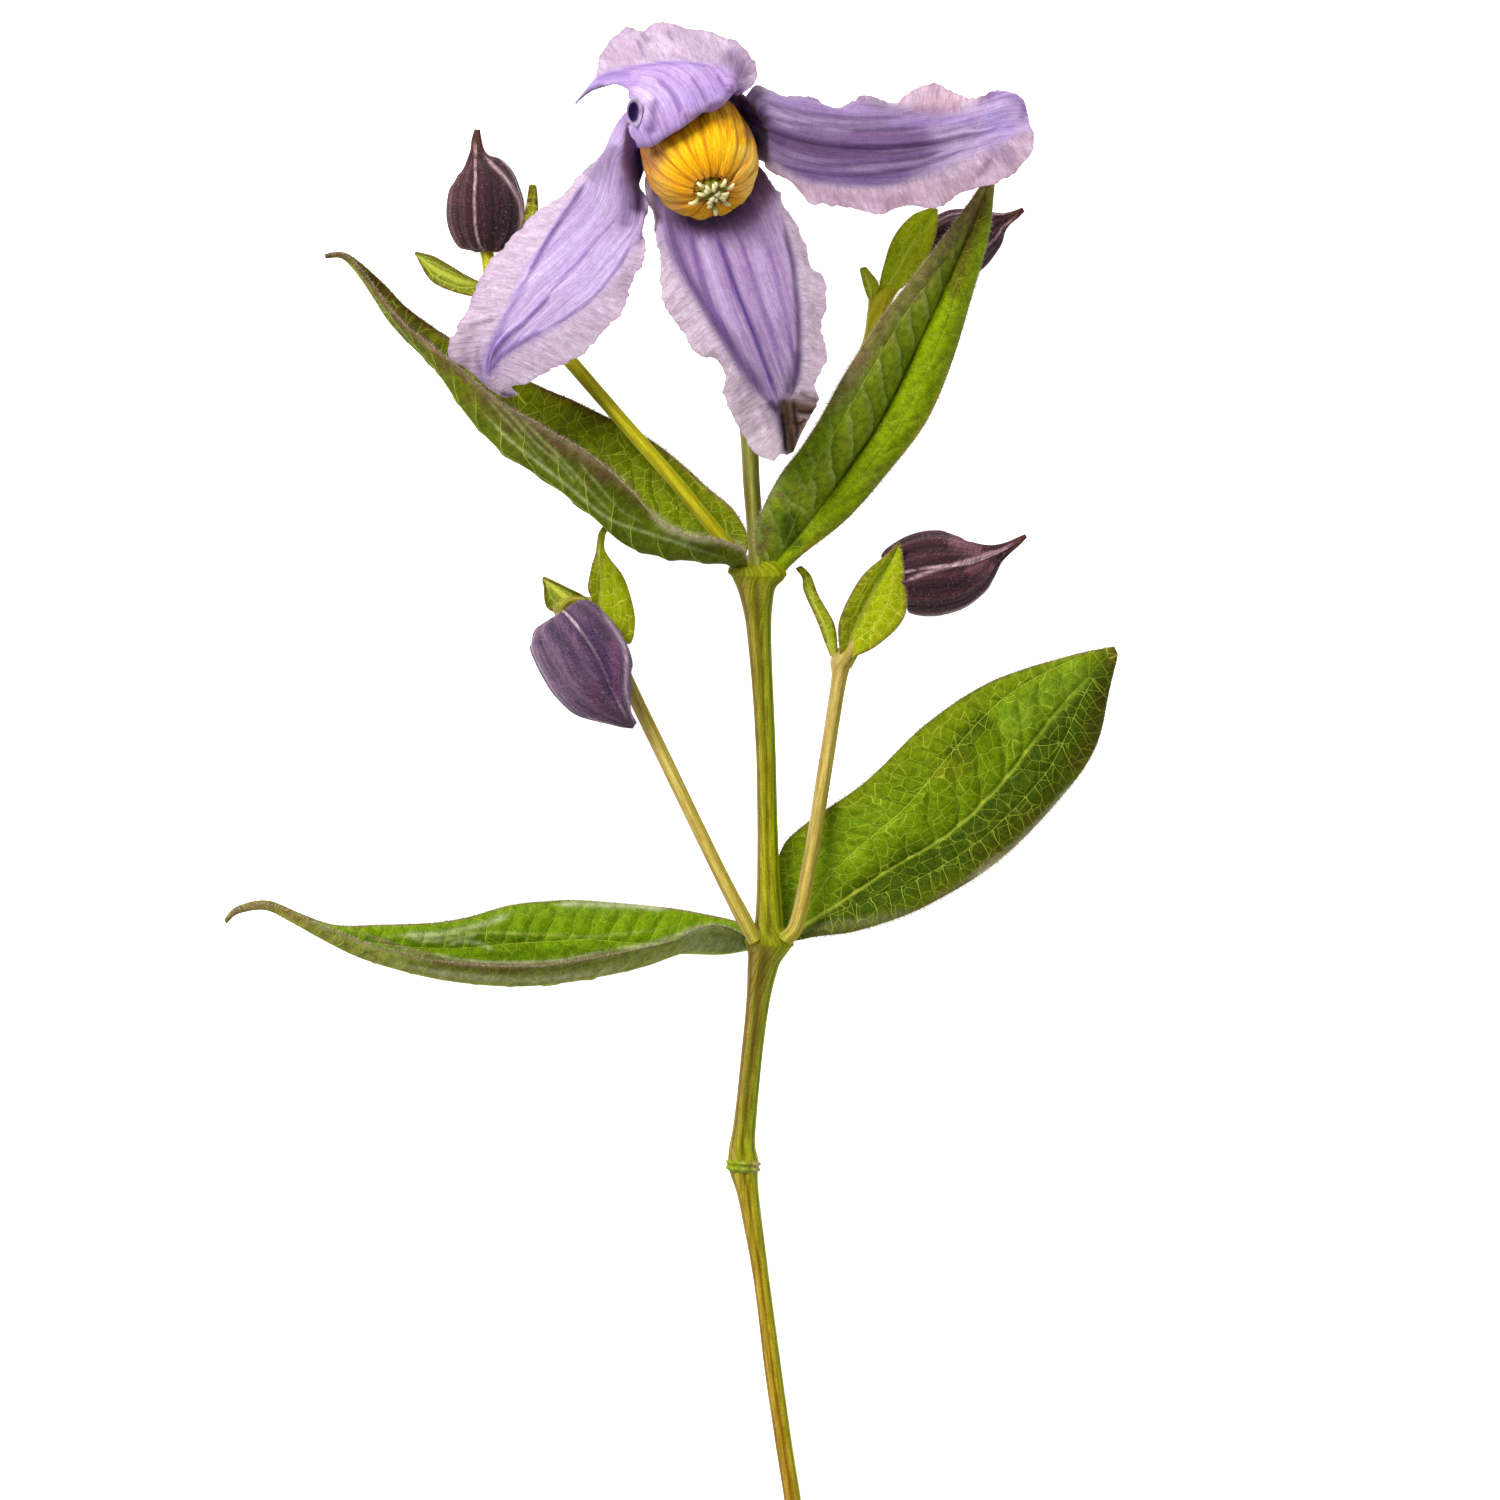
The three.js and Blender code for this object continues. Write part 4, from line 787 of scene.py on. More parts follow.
def new_tree(name: str, inputs: dict[str, TreeInput]) -> tuple[Bench, Node]:
    """Starts a Geometry Nodes tree with named inputs, and returns its bench and its input node."""
    tree = bpy.data.node_groups.new(name, "GeometryNodeTree")
    tree.interface.new_socket("Mesh", in_out="INPUT", socket_type="NodeSocketGeometry")
    for label, kind in inputs.items():
        tree.interface.new_socket(label, in_out="INPUT", socket_type=kind.value)
    tree.interface.new_socket("Mesh", in_out="OUTPUT", socket_type="NodeSocketGeometry")
    bench = Bench(tree)
    return bench, bench.add("NodeGroupInput")


def finish_tree(bench: Bench, instances: Socket, start: Node) -> Tree:
    """Ends a tree: real geometry with its finish."""
    real = bench.add("GeometryNodeRealizeInstances", {0: instances}).outputs[0]
    values = {"Geometry": real, "Material": start.outputs["Finish"]}
    bench.add("NodeGroupOutput", {0: bench.add("GeometryNodeSetMaterial", values).outputs[0]})
    return bench.tree


def run_tree(source: Piece, tree: Tree, values: dict[str, object], name: str) -> Piece:
    """Runs a tree on an object and keeps the result as a plain mesh.

    Args:
        source: the object that the tree starts from. It is removed afterwards.
        tree: the tree.
        values: the inputs, by name.
        name: the new object's name.

    Returns:
        The new object.
    """
    modifier = source.modifiers.new("grow", "NODES")
    modifier.node_group = tree
    sockets = {item.name: item.identifier for item in tree.interface.items_tree if item.in_out == "INPUT"}
    for label, value in values.items():
        modifier[sockets[label]] = value
    graph = bpy.context.evaluated_depsgraph_get()
    mesh = bpy.data.meshes.new_from_object(source.evaluated_get(graph), depsgraph=graph)
    source.modifiers.clear()
    bpy.data.objects.remove(source)
    mesh.name = name
    return new_piece(name, mesh)


def hair_instances(bench: Bench, start: Node, points: Socket, rotation: Socket) -> Socket:
    """Stands fine tapered hairs on points.

    Args:
        bench: the tree's bench.
        start: the tree's input node, with Hair Length, Hair Radius, Spread and Seed.
        points: where the hairs stand.
        rotation: how each is turned before it is spread.

    Returns:
        The hairs as instances.
    """
    shape = {
        "Vertices": 3, "Side Segments": 2, "Radius Top": 0.0, "Radius Bottom": start.outputs["Hair Radius"],
        "Depth": start.outputs["Hair Length"],
    }
    hair = bench.add("GeometryNodeMeshCone", shape, fill_type="NONE")
    spread, seed = start.outputs["Spread"], start.outputs["Seed"]
    negative = bench.math("MULTIPLY", spread, -1.0)
    low = bench.add("ShaderNodeCombineXYZ", {0: negative, 1: negative, 2: -HALF_TURN}).outputs[0]
    high = bench.add("ShaderNodeCombineXYZ", {0: spread, 1: spread, 2: HALF_TURN}).outputs[0]
    random = bench.add("FunctionNodeRandomValue", {0: low, 1: high, "Seed": seed}, data_type="FLOAT_VECTOR")
    lean = {0: rotation, 1: random.outputs[0]}
    turned = bench.add("FunctionNodeRotateRotation", lean, rotation_space="LOCAL").outputs[0]
    size = bench.draw(0.45, 1.15, bench.math("ADD", seed, 7.0))
    values = {"Points": points, "Instance": hair.outputs[0], "Rotation": turned, "Scale": size}
    return bench.add("GeometryNodeInstanceOnPoints", values).outputs[0]


HAIR_INPUTS = {
    "Hair Length": TreeInput.NUMBER, "Hair Radius": TreeInput.NUMBER, "Spread": TreeInput.NUMBER,
    "Seed": TreeInput.COUNT, "Finish": TreeInput.FINISH,
}


def hair_row_tree() -> Tree:
    """The tree that stands hairs along the edges of a mesh, towards each point's own out direction."""
    bench, start = new_tree("hairs_along_edges", {"Spacing": TreeInput.NUMBER, **HAIR_INPUTS})
    curve = bench.add("GeometryNodeMeshToCurve", {0: start.outputs["Mesh"]}).outputs[0]
    values = {"Curve": curve, "Length": start.outputs["Spacing"]}
    even = bench.add("GeometryNodeResampleCurve", values, mode="LENGTH")
    out = bench.add("GeometryNodeInputNamedAttribute", {"Name": "out"}, data_type="FLOAT_VECTOR")
    aimed = bench.add("FunctionNodeAlignRotationToVector", {"Vector": out.outputs[0]}, axis="Z")
    return finish_tree(bench, hair_instances(bench, start, even.outputs[0], aimed.outputs[0]), start)


def felt_tree() -> Tree:
    """The tree that scatters hairs over a mesh, as many as its felt value asks."""
    bench, start = new_tree("felt_on_faces", {"Density": TreeInput.NUMBER, **HAIR_INPUTS})
    felt = bench.add("GeometryNodeInputNamedAttribute", {"Name": "felt"}, data_type="FLOAT")
    amount = bench.math("MULTIPLY", felt.outputs[0], start.outputs["Density"])
    values = {"Mesh": start.outputs["Mesh"], "Density": amount, "Seed": start.outputs["Seed"]}
    points = bench.add("GeometryNodeDistributePointsOnFaces", values, distribute_method="RANDOM").outputs
    return finish_tree(bench, hair_instances(bench, start, points[0], points[2]), start)


def ring_tree() -> Tree:
    """The tree that stands a shape round the Z axis, with small seeded differences."""
    bench, start = new_tree(
        "ring_of_repeats",
        {
            "Shape": TreeInput.SHAPE, "Number": TreeInput.COUNT, "First Turn": TreeInput.NUMBER,
            "Turn Jitter": TreeInput.NUMBER, "Lean Jitter": TreeInput.NUMBER, "Size Jitter": TreeInput.NUMBER,
            "Seed": TreeInput.COUNT, "Finish": TreeInput.FINISH,
        },
    )
    line = bench.add("GeometryNodeMeshLine", {"Count": start.outputs["Number"], "Offset": (0, 0, 0)})
    index = bench.add("GeometryNodeInputIndex").outputs[0]
    share = bench.math("DIVIDE", index, start.outputs["Number"])

    def jitter(name: str, shift: float) -> Socket:
        """A seeded value about zero, as far as a named input allows."""
        high, seed = start.outputs[name], bench.math("ADD", start.outputs["Seed"], shift)
        return bench.draw(bench.math("MULTIPLY", high, -1.0), high, seed)

    turn = bench.math("ADD", bench.math("MULTIPLY", share, 2 * math.pi), start.outputs["First Turn"])
    turn = bench.math("ADD", turn, jitter("Turn Jitter", 3.0))
    lean = jitter("Lean Jitter", 5.0)
    size = bench.math("ADD", jitter("Size Jitter", 9.0), 1.0)
    angles = bench.add("ShaderNodeCombineXYZ", {0: 0.0, 1: lean, 2: turn}).outputs[0]
    scale = bench.add("ShaderNodeCombineXYZ", {0: 1.0, 1: size, 2: size}).outputs[0]
    shape = bench.add("GeometryNodeObjectInfo", {"Object": start.outputs["Shape"]}).outputs["Geometry"]
    values = {"Points": line.outputs[0], "Instance": shape, "Rotation": angles, "Scale": scale}
    return finish_tree(bench, bench.add("GeometryNodeInstanceOnPoints", values).outputs[0], start)


class Groves:
    """The node trees, each made once."""

    def __init__(self) -> None:
        """Makes the trees."""
        self.rows = hair_row_tree()
        self.felt = felt_tree()
        self.rings = ring_tree()


def edge_object(name: str, lines: Sequence[Array], outs: Sequence[Array]) -> Piece:
    """Open lines of edges, each point with the direction that its hairs take."""
    points = np.concatenate(lines)
    edges, first = [], 0
    for line in lines:
        edges += [(first + k, first + k + 1) for k in range(len(line) - 1)]
        first += len(line)
    mesh = bpy.data.meshes.new(name)
    mesh.from_pydata((points * MM).tolist(), edges, [])
    out = np.concatenate(outs).astype(np.float32)
    mesh.attributes.new("out", "FLOAT_VECTOR", "POINT").data.foreach_set("vector", out.ravel())
    mesh.update()
    return new_piece(name, mesh)


def paint_all(thing: Piece, code: str) -> None:
    """Paints a whole mesh in one colour, with the values that the finishes read."""
    count = len(thing.data.vertices)
    colours = np.column_stack([flood((count,), code), np.ones(count)]).astype(np.float32)
    for layer in ("tint", "surface", "edge"):
        if layer in thing.data.attributes:
            thing.data.attributes.remove(thing.data.attributes[layer])
    thing.data.attributes.new("tint", "FLOAT_COLOR", "POINT").data.foreach_set("color", colours.ravel())
    points = np.zeros(count * 3, np.float32)
    thing.data.vertices.foreach_get("co", points)
    thing.data.attributes.new("surface", "FLOAT_VECTOR", "POINT").data.foreach_set("vector", points / MM)


@dataclass(frozen=True)
class Hairs:
    """A kind of hair: length, thickness and spacing in millimetres, spread in radians, and colour."""

    length: float
    radius: float
    spacing: float
    spread: float
    colour: str
    finish: Finish
    seed: int = 3

    def row(self, groves: Groves, name: str, lines: Sequence[Array], outs: Sequence[Array]) -> Piece:
        """Grows hairs along lines of points in millimetres, towards the given directions."""
        values = {"Spacing": self.spacing * MM}
        return self._grow(edge_object(name + "_line", lines, outs), groves.rows, values, name)

    def felt(self, groves: Groves, name: str, skin: Piece, density: float) -> Piece:
        """Scatters hairs over a piece, so many on a square millimetre where its felt value is one."""
        copy = new_piece(name + "_skin", skin.data.copy())
        return self._grow(copy, groves.felt, {"Density": density / MM**2}, name)

    def _grow(self, source: Piece, tree: Tree, values: dict[str, object], name: str) -> Piece:
        """Runs a tree with this kind of hair and dresses what it makes."""
        own = {
            "Hair Length": self.length * MM, "Hair Radius": self.radius * MM, "Spread": self.spread,
            "Seed": self.seed, "Finish": self.finish.material(),
        }
        thing = run_tree(source, tree, {**values, **own}, name)
        paint_all(thing, self.colour)
        return settle(thing, self.finish)
# Rails of each leaf: left margin, midrib and right margin, from base to tip.
LEAF_RAILS = {
    "leaf_upper_left": rails("""
        12.4 34.6 19, 11.4 37.6 22.5, 8 39.2 25, 4 39.6 26.5, 0 41 27.5, -3 43 28, -6 46.5 28.6,
        -10 50.3 29, -15 54.3 29, -20 57 28.6, -28 61.8 27.6, -35 67.5 26, -42 73.2 24, -46 77.7 22.6,
        -50 83 21.2, -52.6 84.9 20.4, -55.4 84.7 19.6;
        10.6 34.2 17, 8 36.3 17.6, 4 38 18.4, 0 39.4 18.8, -6 41.8 19, -12 45.6 18.8, -18 50.1 18.6,
        -24 54.4 18.4, -30 59.3 18.4, -36 65.6 18.6, -42 72.2 19, -46.5 77.8 19.4, -50 82.8 19.6,
        -52.5 84.6 19.6, -55.2 84.4 19.2;
        11.8 36.2 14.6, 12.4 39.4 13.4, 10 44 12.4, 6 47.5 11.6, 2 51 11.2, -2 54.3 11, -6.5 57 10.8,
        -14 60.8 10.8, -20 63.4 11.2, -27 66.6 12.4, -35.3 71.4 14.6, -42 76.2 16.6, -46 80.2 18,
        -50 83.8 19, -52.6 85.2 19.2, -55.4 85 18.8
    """),
    "leaf_upper_right": rails("""
        14.6 34.6 19, 13.6 38 20.4, 13.6 41 21.4, 15 45 22.6, 17.5 49.5 23.6, 22 55.5 24.6, 28 66 25.6,
        34 75 26, 41 84 26, 46.5 91.5 25.6, 50.6 97.4 25;
        16 34 17.4, 17.4 36.6 17.6, 20 39.4 17.8, 27 48.5 18.4, 34 59 19.2, 40 71.5 20.4, 45.4 83.5 22,
        49 92 23.4, 51.2 97.6 24.4;
        17 32.9 16.8, 20.5 36.5 17.6, 28 42.5 18.6, 35 50.5 19.4, 41 58.5 20, 45 68 20.6, 48 78 21.4,
        50.8 88 22.6, 51.8 97.4 24
    """),
    "leaf_lower_right": rails("""
        17.8 -22.6 8.4, 16.4 -17.5 7, 17.6 -10.5 6.8, 21.3 -6.4 7.2, 31.3 .6 9, 40.8 9.8 11, 51.1 16.5 12.4,
        63.6 20.6 13, 70.9 22.2 12.8;
        18.8 -24 8, 25 -20.4 6.6, 34.9 -13.8 5.6, 44.5 -7.9 5.8, 52.6 -.2 6.8, 58.4 7.5 8.4, 64 14.6 10.4,
        71.2 21.6 12.6;
        19.4 -25 7.4, 23.2 -24.2 7.2, 30.5 -23.1 7.6, 40.8 -19.3 7.8, 52.6 -11.9 7.4, 62.9 -1.3 7.4,
        68 6.4 8.4, 70.1 15.2 10.6, 71.5 20.9 12.4
    """),
    "leaf_lower_left": rails("""
        12.6 -25 9.6, 10.5 -23.4 12.6, 7.5 -22.4 14.6, 4 -23 15.8, 0 -25 16.4, -8.7 -27 17, -16.6 -28.4 17,
        -25.6 -29.2 16.6, -34.6 -28.6 15.2, -42.5 -27 13.2, -48.5 -25.4 11.8, -53.9 -23.2 10.6,
        -59.9 -20.9 9.8, -64.7 -19.1 9.8, -69.4 -20 9.6, -71.4 -21.8 9;
        13.2 -26.2 8.6, 8 -27 7.2, .3 -27 6.6, -5.7 -28.8 6.2, -13.6 -30.6 6, -22.6 -31.3 6,
        -31.6 -30.7 6.2, -40.7 -29.3 6.6, -48 -27.4 7.2, -54 -24.9 8, -60.3 -21.3 8.8, -64.7 -19.3 9,
        -69.2 -20.2 9, -71.2 -22 8.6;
        12.4 -23.6 8.2, 10.5 -21.9 7, 6 -20.8 6.6, -1 -19.6 6.6, -13.6 -18.5 7, -19.6 -18.6 7.2,
        -25.6 -19.2 7.4, -32.8 -21.2 7.6, -38.8 -22.1 7.8, -46.7 -22.4 8, -53.9 -22.4 8.2, -59.6 -20.5 8.6,
        -64.7 -18.6 8.8, -69.3 -19.5 8.8, -71.4 -21.4 8.4
    """),
}

# Rails of each small leaf below a bud: left margin, midrib and right margin.
BRACT_RAILS = {
    "bract_upper_left_outer": rails("""
        -29.6 79.7 8.2, -33 81.6 9, -37.6 84.4 9.6, -40.9 85.3 9.6;
        -29.4 80.2 7.6, -33.5 80.5 7.6, -37.6 82.2 8.4, -41 85 9.4;
        -29.9 79.1 7.4, -32 78.2 7, -38 80.4 8, -40.8 84.7 9.2
    """),
    "bract_upper_left_inner": rails("""
        -27.4 81.4 8.8, -24.7 87 9.8, -23.3 92 10.4, -22.7 96 10.6;
        -26.9 81 8.6, -23.6 86.5 9.3, -22.3 91.5 9.9, -22.1 96.1 10.4;
        -26.4 80.6 8.7, -22.5 86 9.6, -21.3 91 10.2, -21.5 95.9 10.5
    """),
    "bract_upper_right_outer": rails("""
        33.2 78.7 8, 33.7 82 9.4, 35.4 87.3 10.8, 38.4 91 11.6, 42.1 92.6 11.8;
        33.8 78.5 7.8, 35.6 81 8.2, 38.2 85.6 9, 40.4 89.4 10, 42.4 92.3 11.6;
        34.4 78.2 7.8, 38.4 80.6 8.4, 41 84.2 9.2, 42.5 88.6 10.6, 42.7 92 11.8
    """),
    "bract_upper_right_inner": rails("""
        31.7 77.5 8.3, 31 79.6 8.9, 30.2 82.6 9.7;
        32.3 77.8 8.1, 32 80 8.7, 30.7 82.8 9.6;
        32.9 78.1 8.3, 33.1 80.2 8.9, 31.2 82.9 9.7
    """),
    "bract_right_outer": rails("""
        27 20.9 11.4, 27 26.5 13, 30.4 33.2 14.6, 34.6 37 15.6, 36.4 38.9 16;
        28 20.6 10.6, 29.6 25.5 11, 32.6 31.5 12.6, 35.4 36.4 14.6, 36.6 38.7 15.8;
        28.8 20.2 10.8, 33.4 22.6 12, 37.4 27 14, 37.4 33.4 15.6, 36.8 38.6 16
    """),
    "bract_right_inner": rails("""
        25.5 20.6 10.6, 23.3 26.3 11.8, 21.3 31 12.8, 21 33.2 12.9, 19.9 34.6 12.8;
        26.1 20.8 10.3, 24.6 26 11.3, 22.4 30.7 12.5, 21.7 33.3 12.8, 20.4 34.9 12.7;
        26.7 21 10.5, 26.1 25.8 11.6, 23.6 30.4 12.7, 22.4 33.4 12.9, 20.9 35.1 12.8
    """),
    "bract_left_upper": rails("""
        -12.5 28.8 7.4, -14 30.2 8.4, -16.6 31.6 9, -20.4 33.3 9;
        -12.9 28.2 6.8, -15 29 7.4, -17.4 30.2 8, -20.5 33 8.8;
        -13.3 27.6 6.8, -16.4 27.4 7.2, -19.8 28.4 7.8, -20.4 32.6 8.8
    """),
    "bract_left_inner": rails("""
        -12.5 29.4 8.4, -13.3 31.6 9, -12.7 35 9.6, -12 37.3 9.7, -11.6 40 9.7, -10.9 41.4 9.6;
        -11.4 28.6 7.6, -11 31.6 8.2, -11.2 34.8 9, -11.3 37.1 9.5, -11.1 39.9 9.6, -10.4 41.1 9.5;
        -9.2 24.6 6.8, -6.6 22.6 7.4, -5.7 26 8.2, -6.4 30 8.8, -7.8 33.6 9.2, -10.5 36.9 9.6,
        -10.6 39.8 9.7, -10 40.8 9.6
    """),
}

# Rails of each sepal: left margin, left band edge, middle, right band edge and right margin.
SEPAL_RAILS = {
    "sepal_bottom": rails("""
        @226 3.4 .5, @225 7.6 2.4, @224 10.3 6, @224 11.1 10, -2.9 91.5 31.4, -2.4 86.5 31.4, -1.2 79 30.8,
        .6 74 30.4, 4.5 69.6 30, 7.8 67.2 29.8, 9.3 61 30, 11.2 56.6 30.4, 13.6 53 30.8, 16.4 51.8 31;
        @245 3.4 .5, @244 7.6 2.4, @243 10.3 6, @240 11.1 10.5, -.6 88.5 32.8, 1.5 81.5 33.2, 4.5 76.5 33.2,
        8 70.5 33, 12 65 32.6, 15.2 60.8 32, 17 56.5 31.4, 17.6 52.9 31.2;
        @268 3.4 .5, @270 7.6 2.4, @272 10.4 6, @275 11.3 10.5, 6.6 89 31.8, 8.2 85.4 33.8, 9.8 81 34.6,
        11.5 76 34.6, 13.5 71 34.2, 15.5 66 33.4, 17.3 60.5 32.2, 18.4 56 31.4, 18.5 52.8 31.2;
        @291 3.4 .5, @296 7.6 2.4, @302 10.3 6, @310 11.2 10.5, 15.8 93.5 32.4, 18.2 87.5 33.4,
        19.9 80.5 33.6, 20.6 73 33.4, 20.5 67 32.8, 19.3 62 32, 19.6 57 31.4, 19 53 31.2;
        @310 3.4 .5, @318 7.6 2.4, @326 10.3 6, @335 11.2 10.5, 17 95 31.4, 19.6 90 31.4, 22.6 83.6 31,
        24.2 81 30.8, 24.2 75 30.6, 24.8 69 30.6, 23.2 64.6 30.8, 23.6 61.4 31.2, 21 56.6 31.4,
        19.6 53.3 31.2
    """),
    "sepal_right": rails("""
        @-44 3.4 .5, @-38 7.6 2.4, @-30 10.3 6, @-20 11.3 10, 15.6 98.7 31.2, 18 96.8 31.6, 21 94.6 31.8,
        24 92.9 32, 30 92 32.2, 34 91.4 32.4, 38 92.5 32.4, 42 92.8 32.2, 48.5 95.2 31.6, 54.5 97.5 30.8,
        57.6 101 29.6, 58.1 104.4 29;
        @-25 3.4 .5, @-22 7.6 2.4, @-16 10.3 6, @-6 11.3 10, 16 99.4 32.4, 20 97.4 33.6, 26 95.9 34.4,
        31 95.8 34.6, 36 96.3 34.8, 44 98.6 34.4, 50.5 102.4 33, 55 104.4 30.8, 57.8 104.8 29.2;
        @0 3.4 .5, @2 7.6 2.4, @6 10.3 6, @12 11.3 10, 16 105.3 34, 20 103.6 34.8, 25 102.5 35.2,
        30 102.2 35.4, 36 102.2 35.4, 42 102.9 35, 48 104.2 34, 54 105.8 31.4, 57.4 105.6 29.2;
        @25 3.4 .5, @26 7.6 2.4, @28 10.3 6, @31 11.3 10, 14.6 109.6 33.8, 20 109 34.4, 30 107 34.8,
        38 107 34.8, 46 106.5 34.8, 51 107.6 33.8, 55 107.9 31.4, 57.2 106.2 29.4;
        @44 3.4 .5, @45 7.6 2.4, @46 10.3 6, @46 11.3 9.5, 13.8 111.7 32.6, 20 110.2 33, 24 109.3 33,
        28 109 33, 32 109.9 33, 36 109.8 33, 42.5 112 33.4, 48 109.8 33.8, 52.5 111.2 33.2, 56 110 31.2,
        57.1 107 29.6
    """),
    "sepal_left": rails("""
        @139 3.4 .5, @148 7.6 2.4, @158 10.3 6, -7.2 107.6 31.6, -9.5 104.5 32.2, -12 100 32.4,
        -15 96.7 32.2, -18.6 94 31.8, -23.5 89.5 31, -28.5 84.6 30, -32 77.5 29, -34.6 72.4 27.6,
        -35.4 69.2 26.2, -32.6 66.1 25, -29.6 63.8 24.4, -26.6 62 24;
        @157 3.4 .5, @160 7.6 2.4, @166 10.3 6, @170 11.8 9.5, -10 101.5 33.6, -13 97 33.8, -16 93 33.6,
        -19 88 33, -22 82.5 32.2, -25 77 31.2, -28 72 29.6, -29.8 68 27.8, -29 64.2 25.6, -26 62.1 24.4;
        @180 3.4 .5, @182 7.6 2.4, @185 10.3 6, @188 11.5 9.5, -7.6 95 32.6, -8.6 90.6 32.8, -12 86.5 33,
        -16 82 32.6, -20 78.5 32, -24 74.5 31, -27 71 29.6, -28.6 67.4 27.4, -28 63.8 25.2, -25.6 62.2 24.4;
        @203 3.4 .5, @203 7.6 2.4, @204 10.3 6, @204 11.2 9.5, -4.4 91.5 31.4, -6 87 32.2, -9 82 32.4,
        -12.5 78.5 32, -17 75 31.4, -21 72.5 30.6, -25 69.6 29, -27 66.4 26.8, -26.8 63.8 25, -25 62.3 24.4;
        @222 3.4 .5, @221 7.6 2.4, @219 10.3 6, @217 11.1 9, -3.7 92.6 30.4, -4.2 87.5 30.8, -5 83 30.8,
        -7.5 77 30.4, -10.5 72.5 29.6, -13.4 69.6 28.8, -18.6 66.6 27.8, -22.6 64.6 26.6, -25.4 63.8 25.2,
        -24.4 62.5 24.4
    """),
    "sepal_top": rails("""
        @135 3.4 .5, @140 7.6 2.4, @148 10.6 6, @154 11.5 10, -4.8 103.1 39.8, -6.6 104.6 41, -6 107 41.4,
        -6 110 39.6, -8 111.9 37.6, -10 112 35.8, -12.6 111.2 33.8, -15 109.4 32.2;
        @116 3.4 .5, @121 7.6 2.4, @130 10.6 6, @139 11.5 10, -2.6 103 42.2, -3.6 105.2 43.6, -3.4 108.2 43,
        -4.4 110.8 40.6, -7 112.2 38, -10.4 112.2 35.4, -13 111.2 33.6, -15.1 109.3 32.2;
        @94 3.4 .5, @97 7.6 2.4, @101 10.6 6, @106 11.7 10.5, 2 106 44, 1.6 107.8 44.6, .4 110.4 43,
        -2 112.6 39.8, -5.6 113.4 37, -9.6 112.9 34.8, -12.8 111.6 33.2, -15.2 109.2 32;
        @72 3.4 .5, @73 7.6 2.4, @74 10.6 6, @74 11.8 10, 7.2 108.5 40.8, 8.8 111 40.8, 7.6 113.8 38.6,
        3.4 115.2 37, -1 115.4 35.6, -5 114.9 34.6, -9 113.8 33.6, -12.4 112.1 32.6, -15.3 109.1 31.8;
        @53 3.4 .5, @54 7.6 2.4, @55 10.6 6, @56 12 9.5, 10.6 110.8 36.4, 13.4 112.4 36, 14.1 114.2 35.4,
        12.8 116.8 34.6, 9.5 118.7 33.8, 5.4 121 33, 1 121.2 32.6, -2 121.6 32.2, -4.4 120.6 32,
        -7.3 121.4 31.8, -10 118.4 31.6, -12.1 113.6 31.6, -15.2 109 31.6
    """),
}

# Paths of the stem and stalks: x, y, height and radius.
STEM_PATH = places("""
    19.9 -118.4 1.16 1.25, 19.4 -114.1 1.3 1.25, 17.9 -104.6 1.8 1.25, 16.3 -93.5 2.3 1.28,
    14.4 -78.8 3 1.2, 12.4 -66 3.7 1.6, 11.7 -62 4 2.1, 11.5 -60.2 4.2 2.3, 11.4 -58 4.4 2,
    11.8 -54.3 4.8 1.7, 12.8 -44.5 6.2 1.6, 13.9 -34.7 7.8 1.75, 14.7 -29 8.8 2.3, 15.4 -25.4 9.6 2.7,
    15.7 -21.6 10.2 2.1, 15.5 -10.4 11.2 1.6, 15.1 7.2 13.2 1.5, 14.1 24.3 15.4 1.8, 13.7 31 16.6 2.6,
    13.8 33.6 17 2.6, 13.9 35.4 17.3 2.1, 13.9 37 17.6 1.2
""")

STALK_PATHS = {
    "flower_stalk": places("""
        13.9 33.5 18.4 1.35, 13.6 39.2 18.6 1.25, 12.9 48 19 1.25, 12.4 57 19.4 1.3, 11 70 19.6 1.3,
        8.2 86 19.4 1.3, 5 99 18.6 1.35, 2.6 106.6 18.8 1.6, 1.7 108.4 21 2.6
    """),
    "bud_stalk_upper_left": places("""
        11 36.8 17.8 1, 7.4 40.4 19 1.05, 0 49.3 18 1.05, -8.5 59 15.8 1.05, -17 68.8 12.6 1.1,
        -23 75.2 10 1.2, -27.4 79.6 8 1.6, -28.4 81.2 7.4 1.5, -29.2 84 6.3 1, -29.6 86 5.9 1
    """),
    "bud_stalk_upper_right": places("""
        14.8 33 13.6 1.1, 20 43 12.6 1.1, 26.4 57.5 11.2 1.1, 31.5 69.6 9.2 1.15, 33 75.4 8 1.5,
        33.6 77.6 7.6 1.7, 35.4 79.8 7 1.2, 38.6 82.6 6 1.05, 40.6 84 5.6 1
    """),
    "bud_stalk_left": places("""
        13.6 -25 12 1.1, 11.4 -21 12.2 1.15, 7 -12.4 11 1.05, -1.6 5.4 8.4 1.05, -6.8 16.2 6.4 1.05,
        -11 25.4 5.4 1.3, -12.2 28 5.6 1.5, -13.8 29 7 1.2, -16.6 29 9.6 1, -18 27.8 12 1
    """),
    "bud_stalk_right": places("""
        18 -25 11.6 1.15, 20.2 -22 11.4 1.15, 22.4 -11.4 11 1.1, 24.6 2.4 10.6 1.1, 26.8 16.4 10.2 1.15,
        27.3 19.6 10 1.7, 28.6 21.6 9.8 1.5, 31.6 26.8 9.6 1, 34.4 31.4 9.8 1
    """),
}

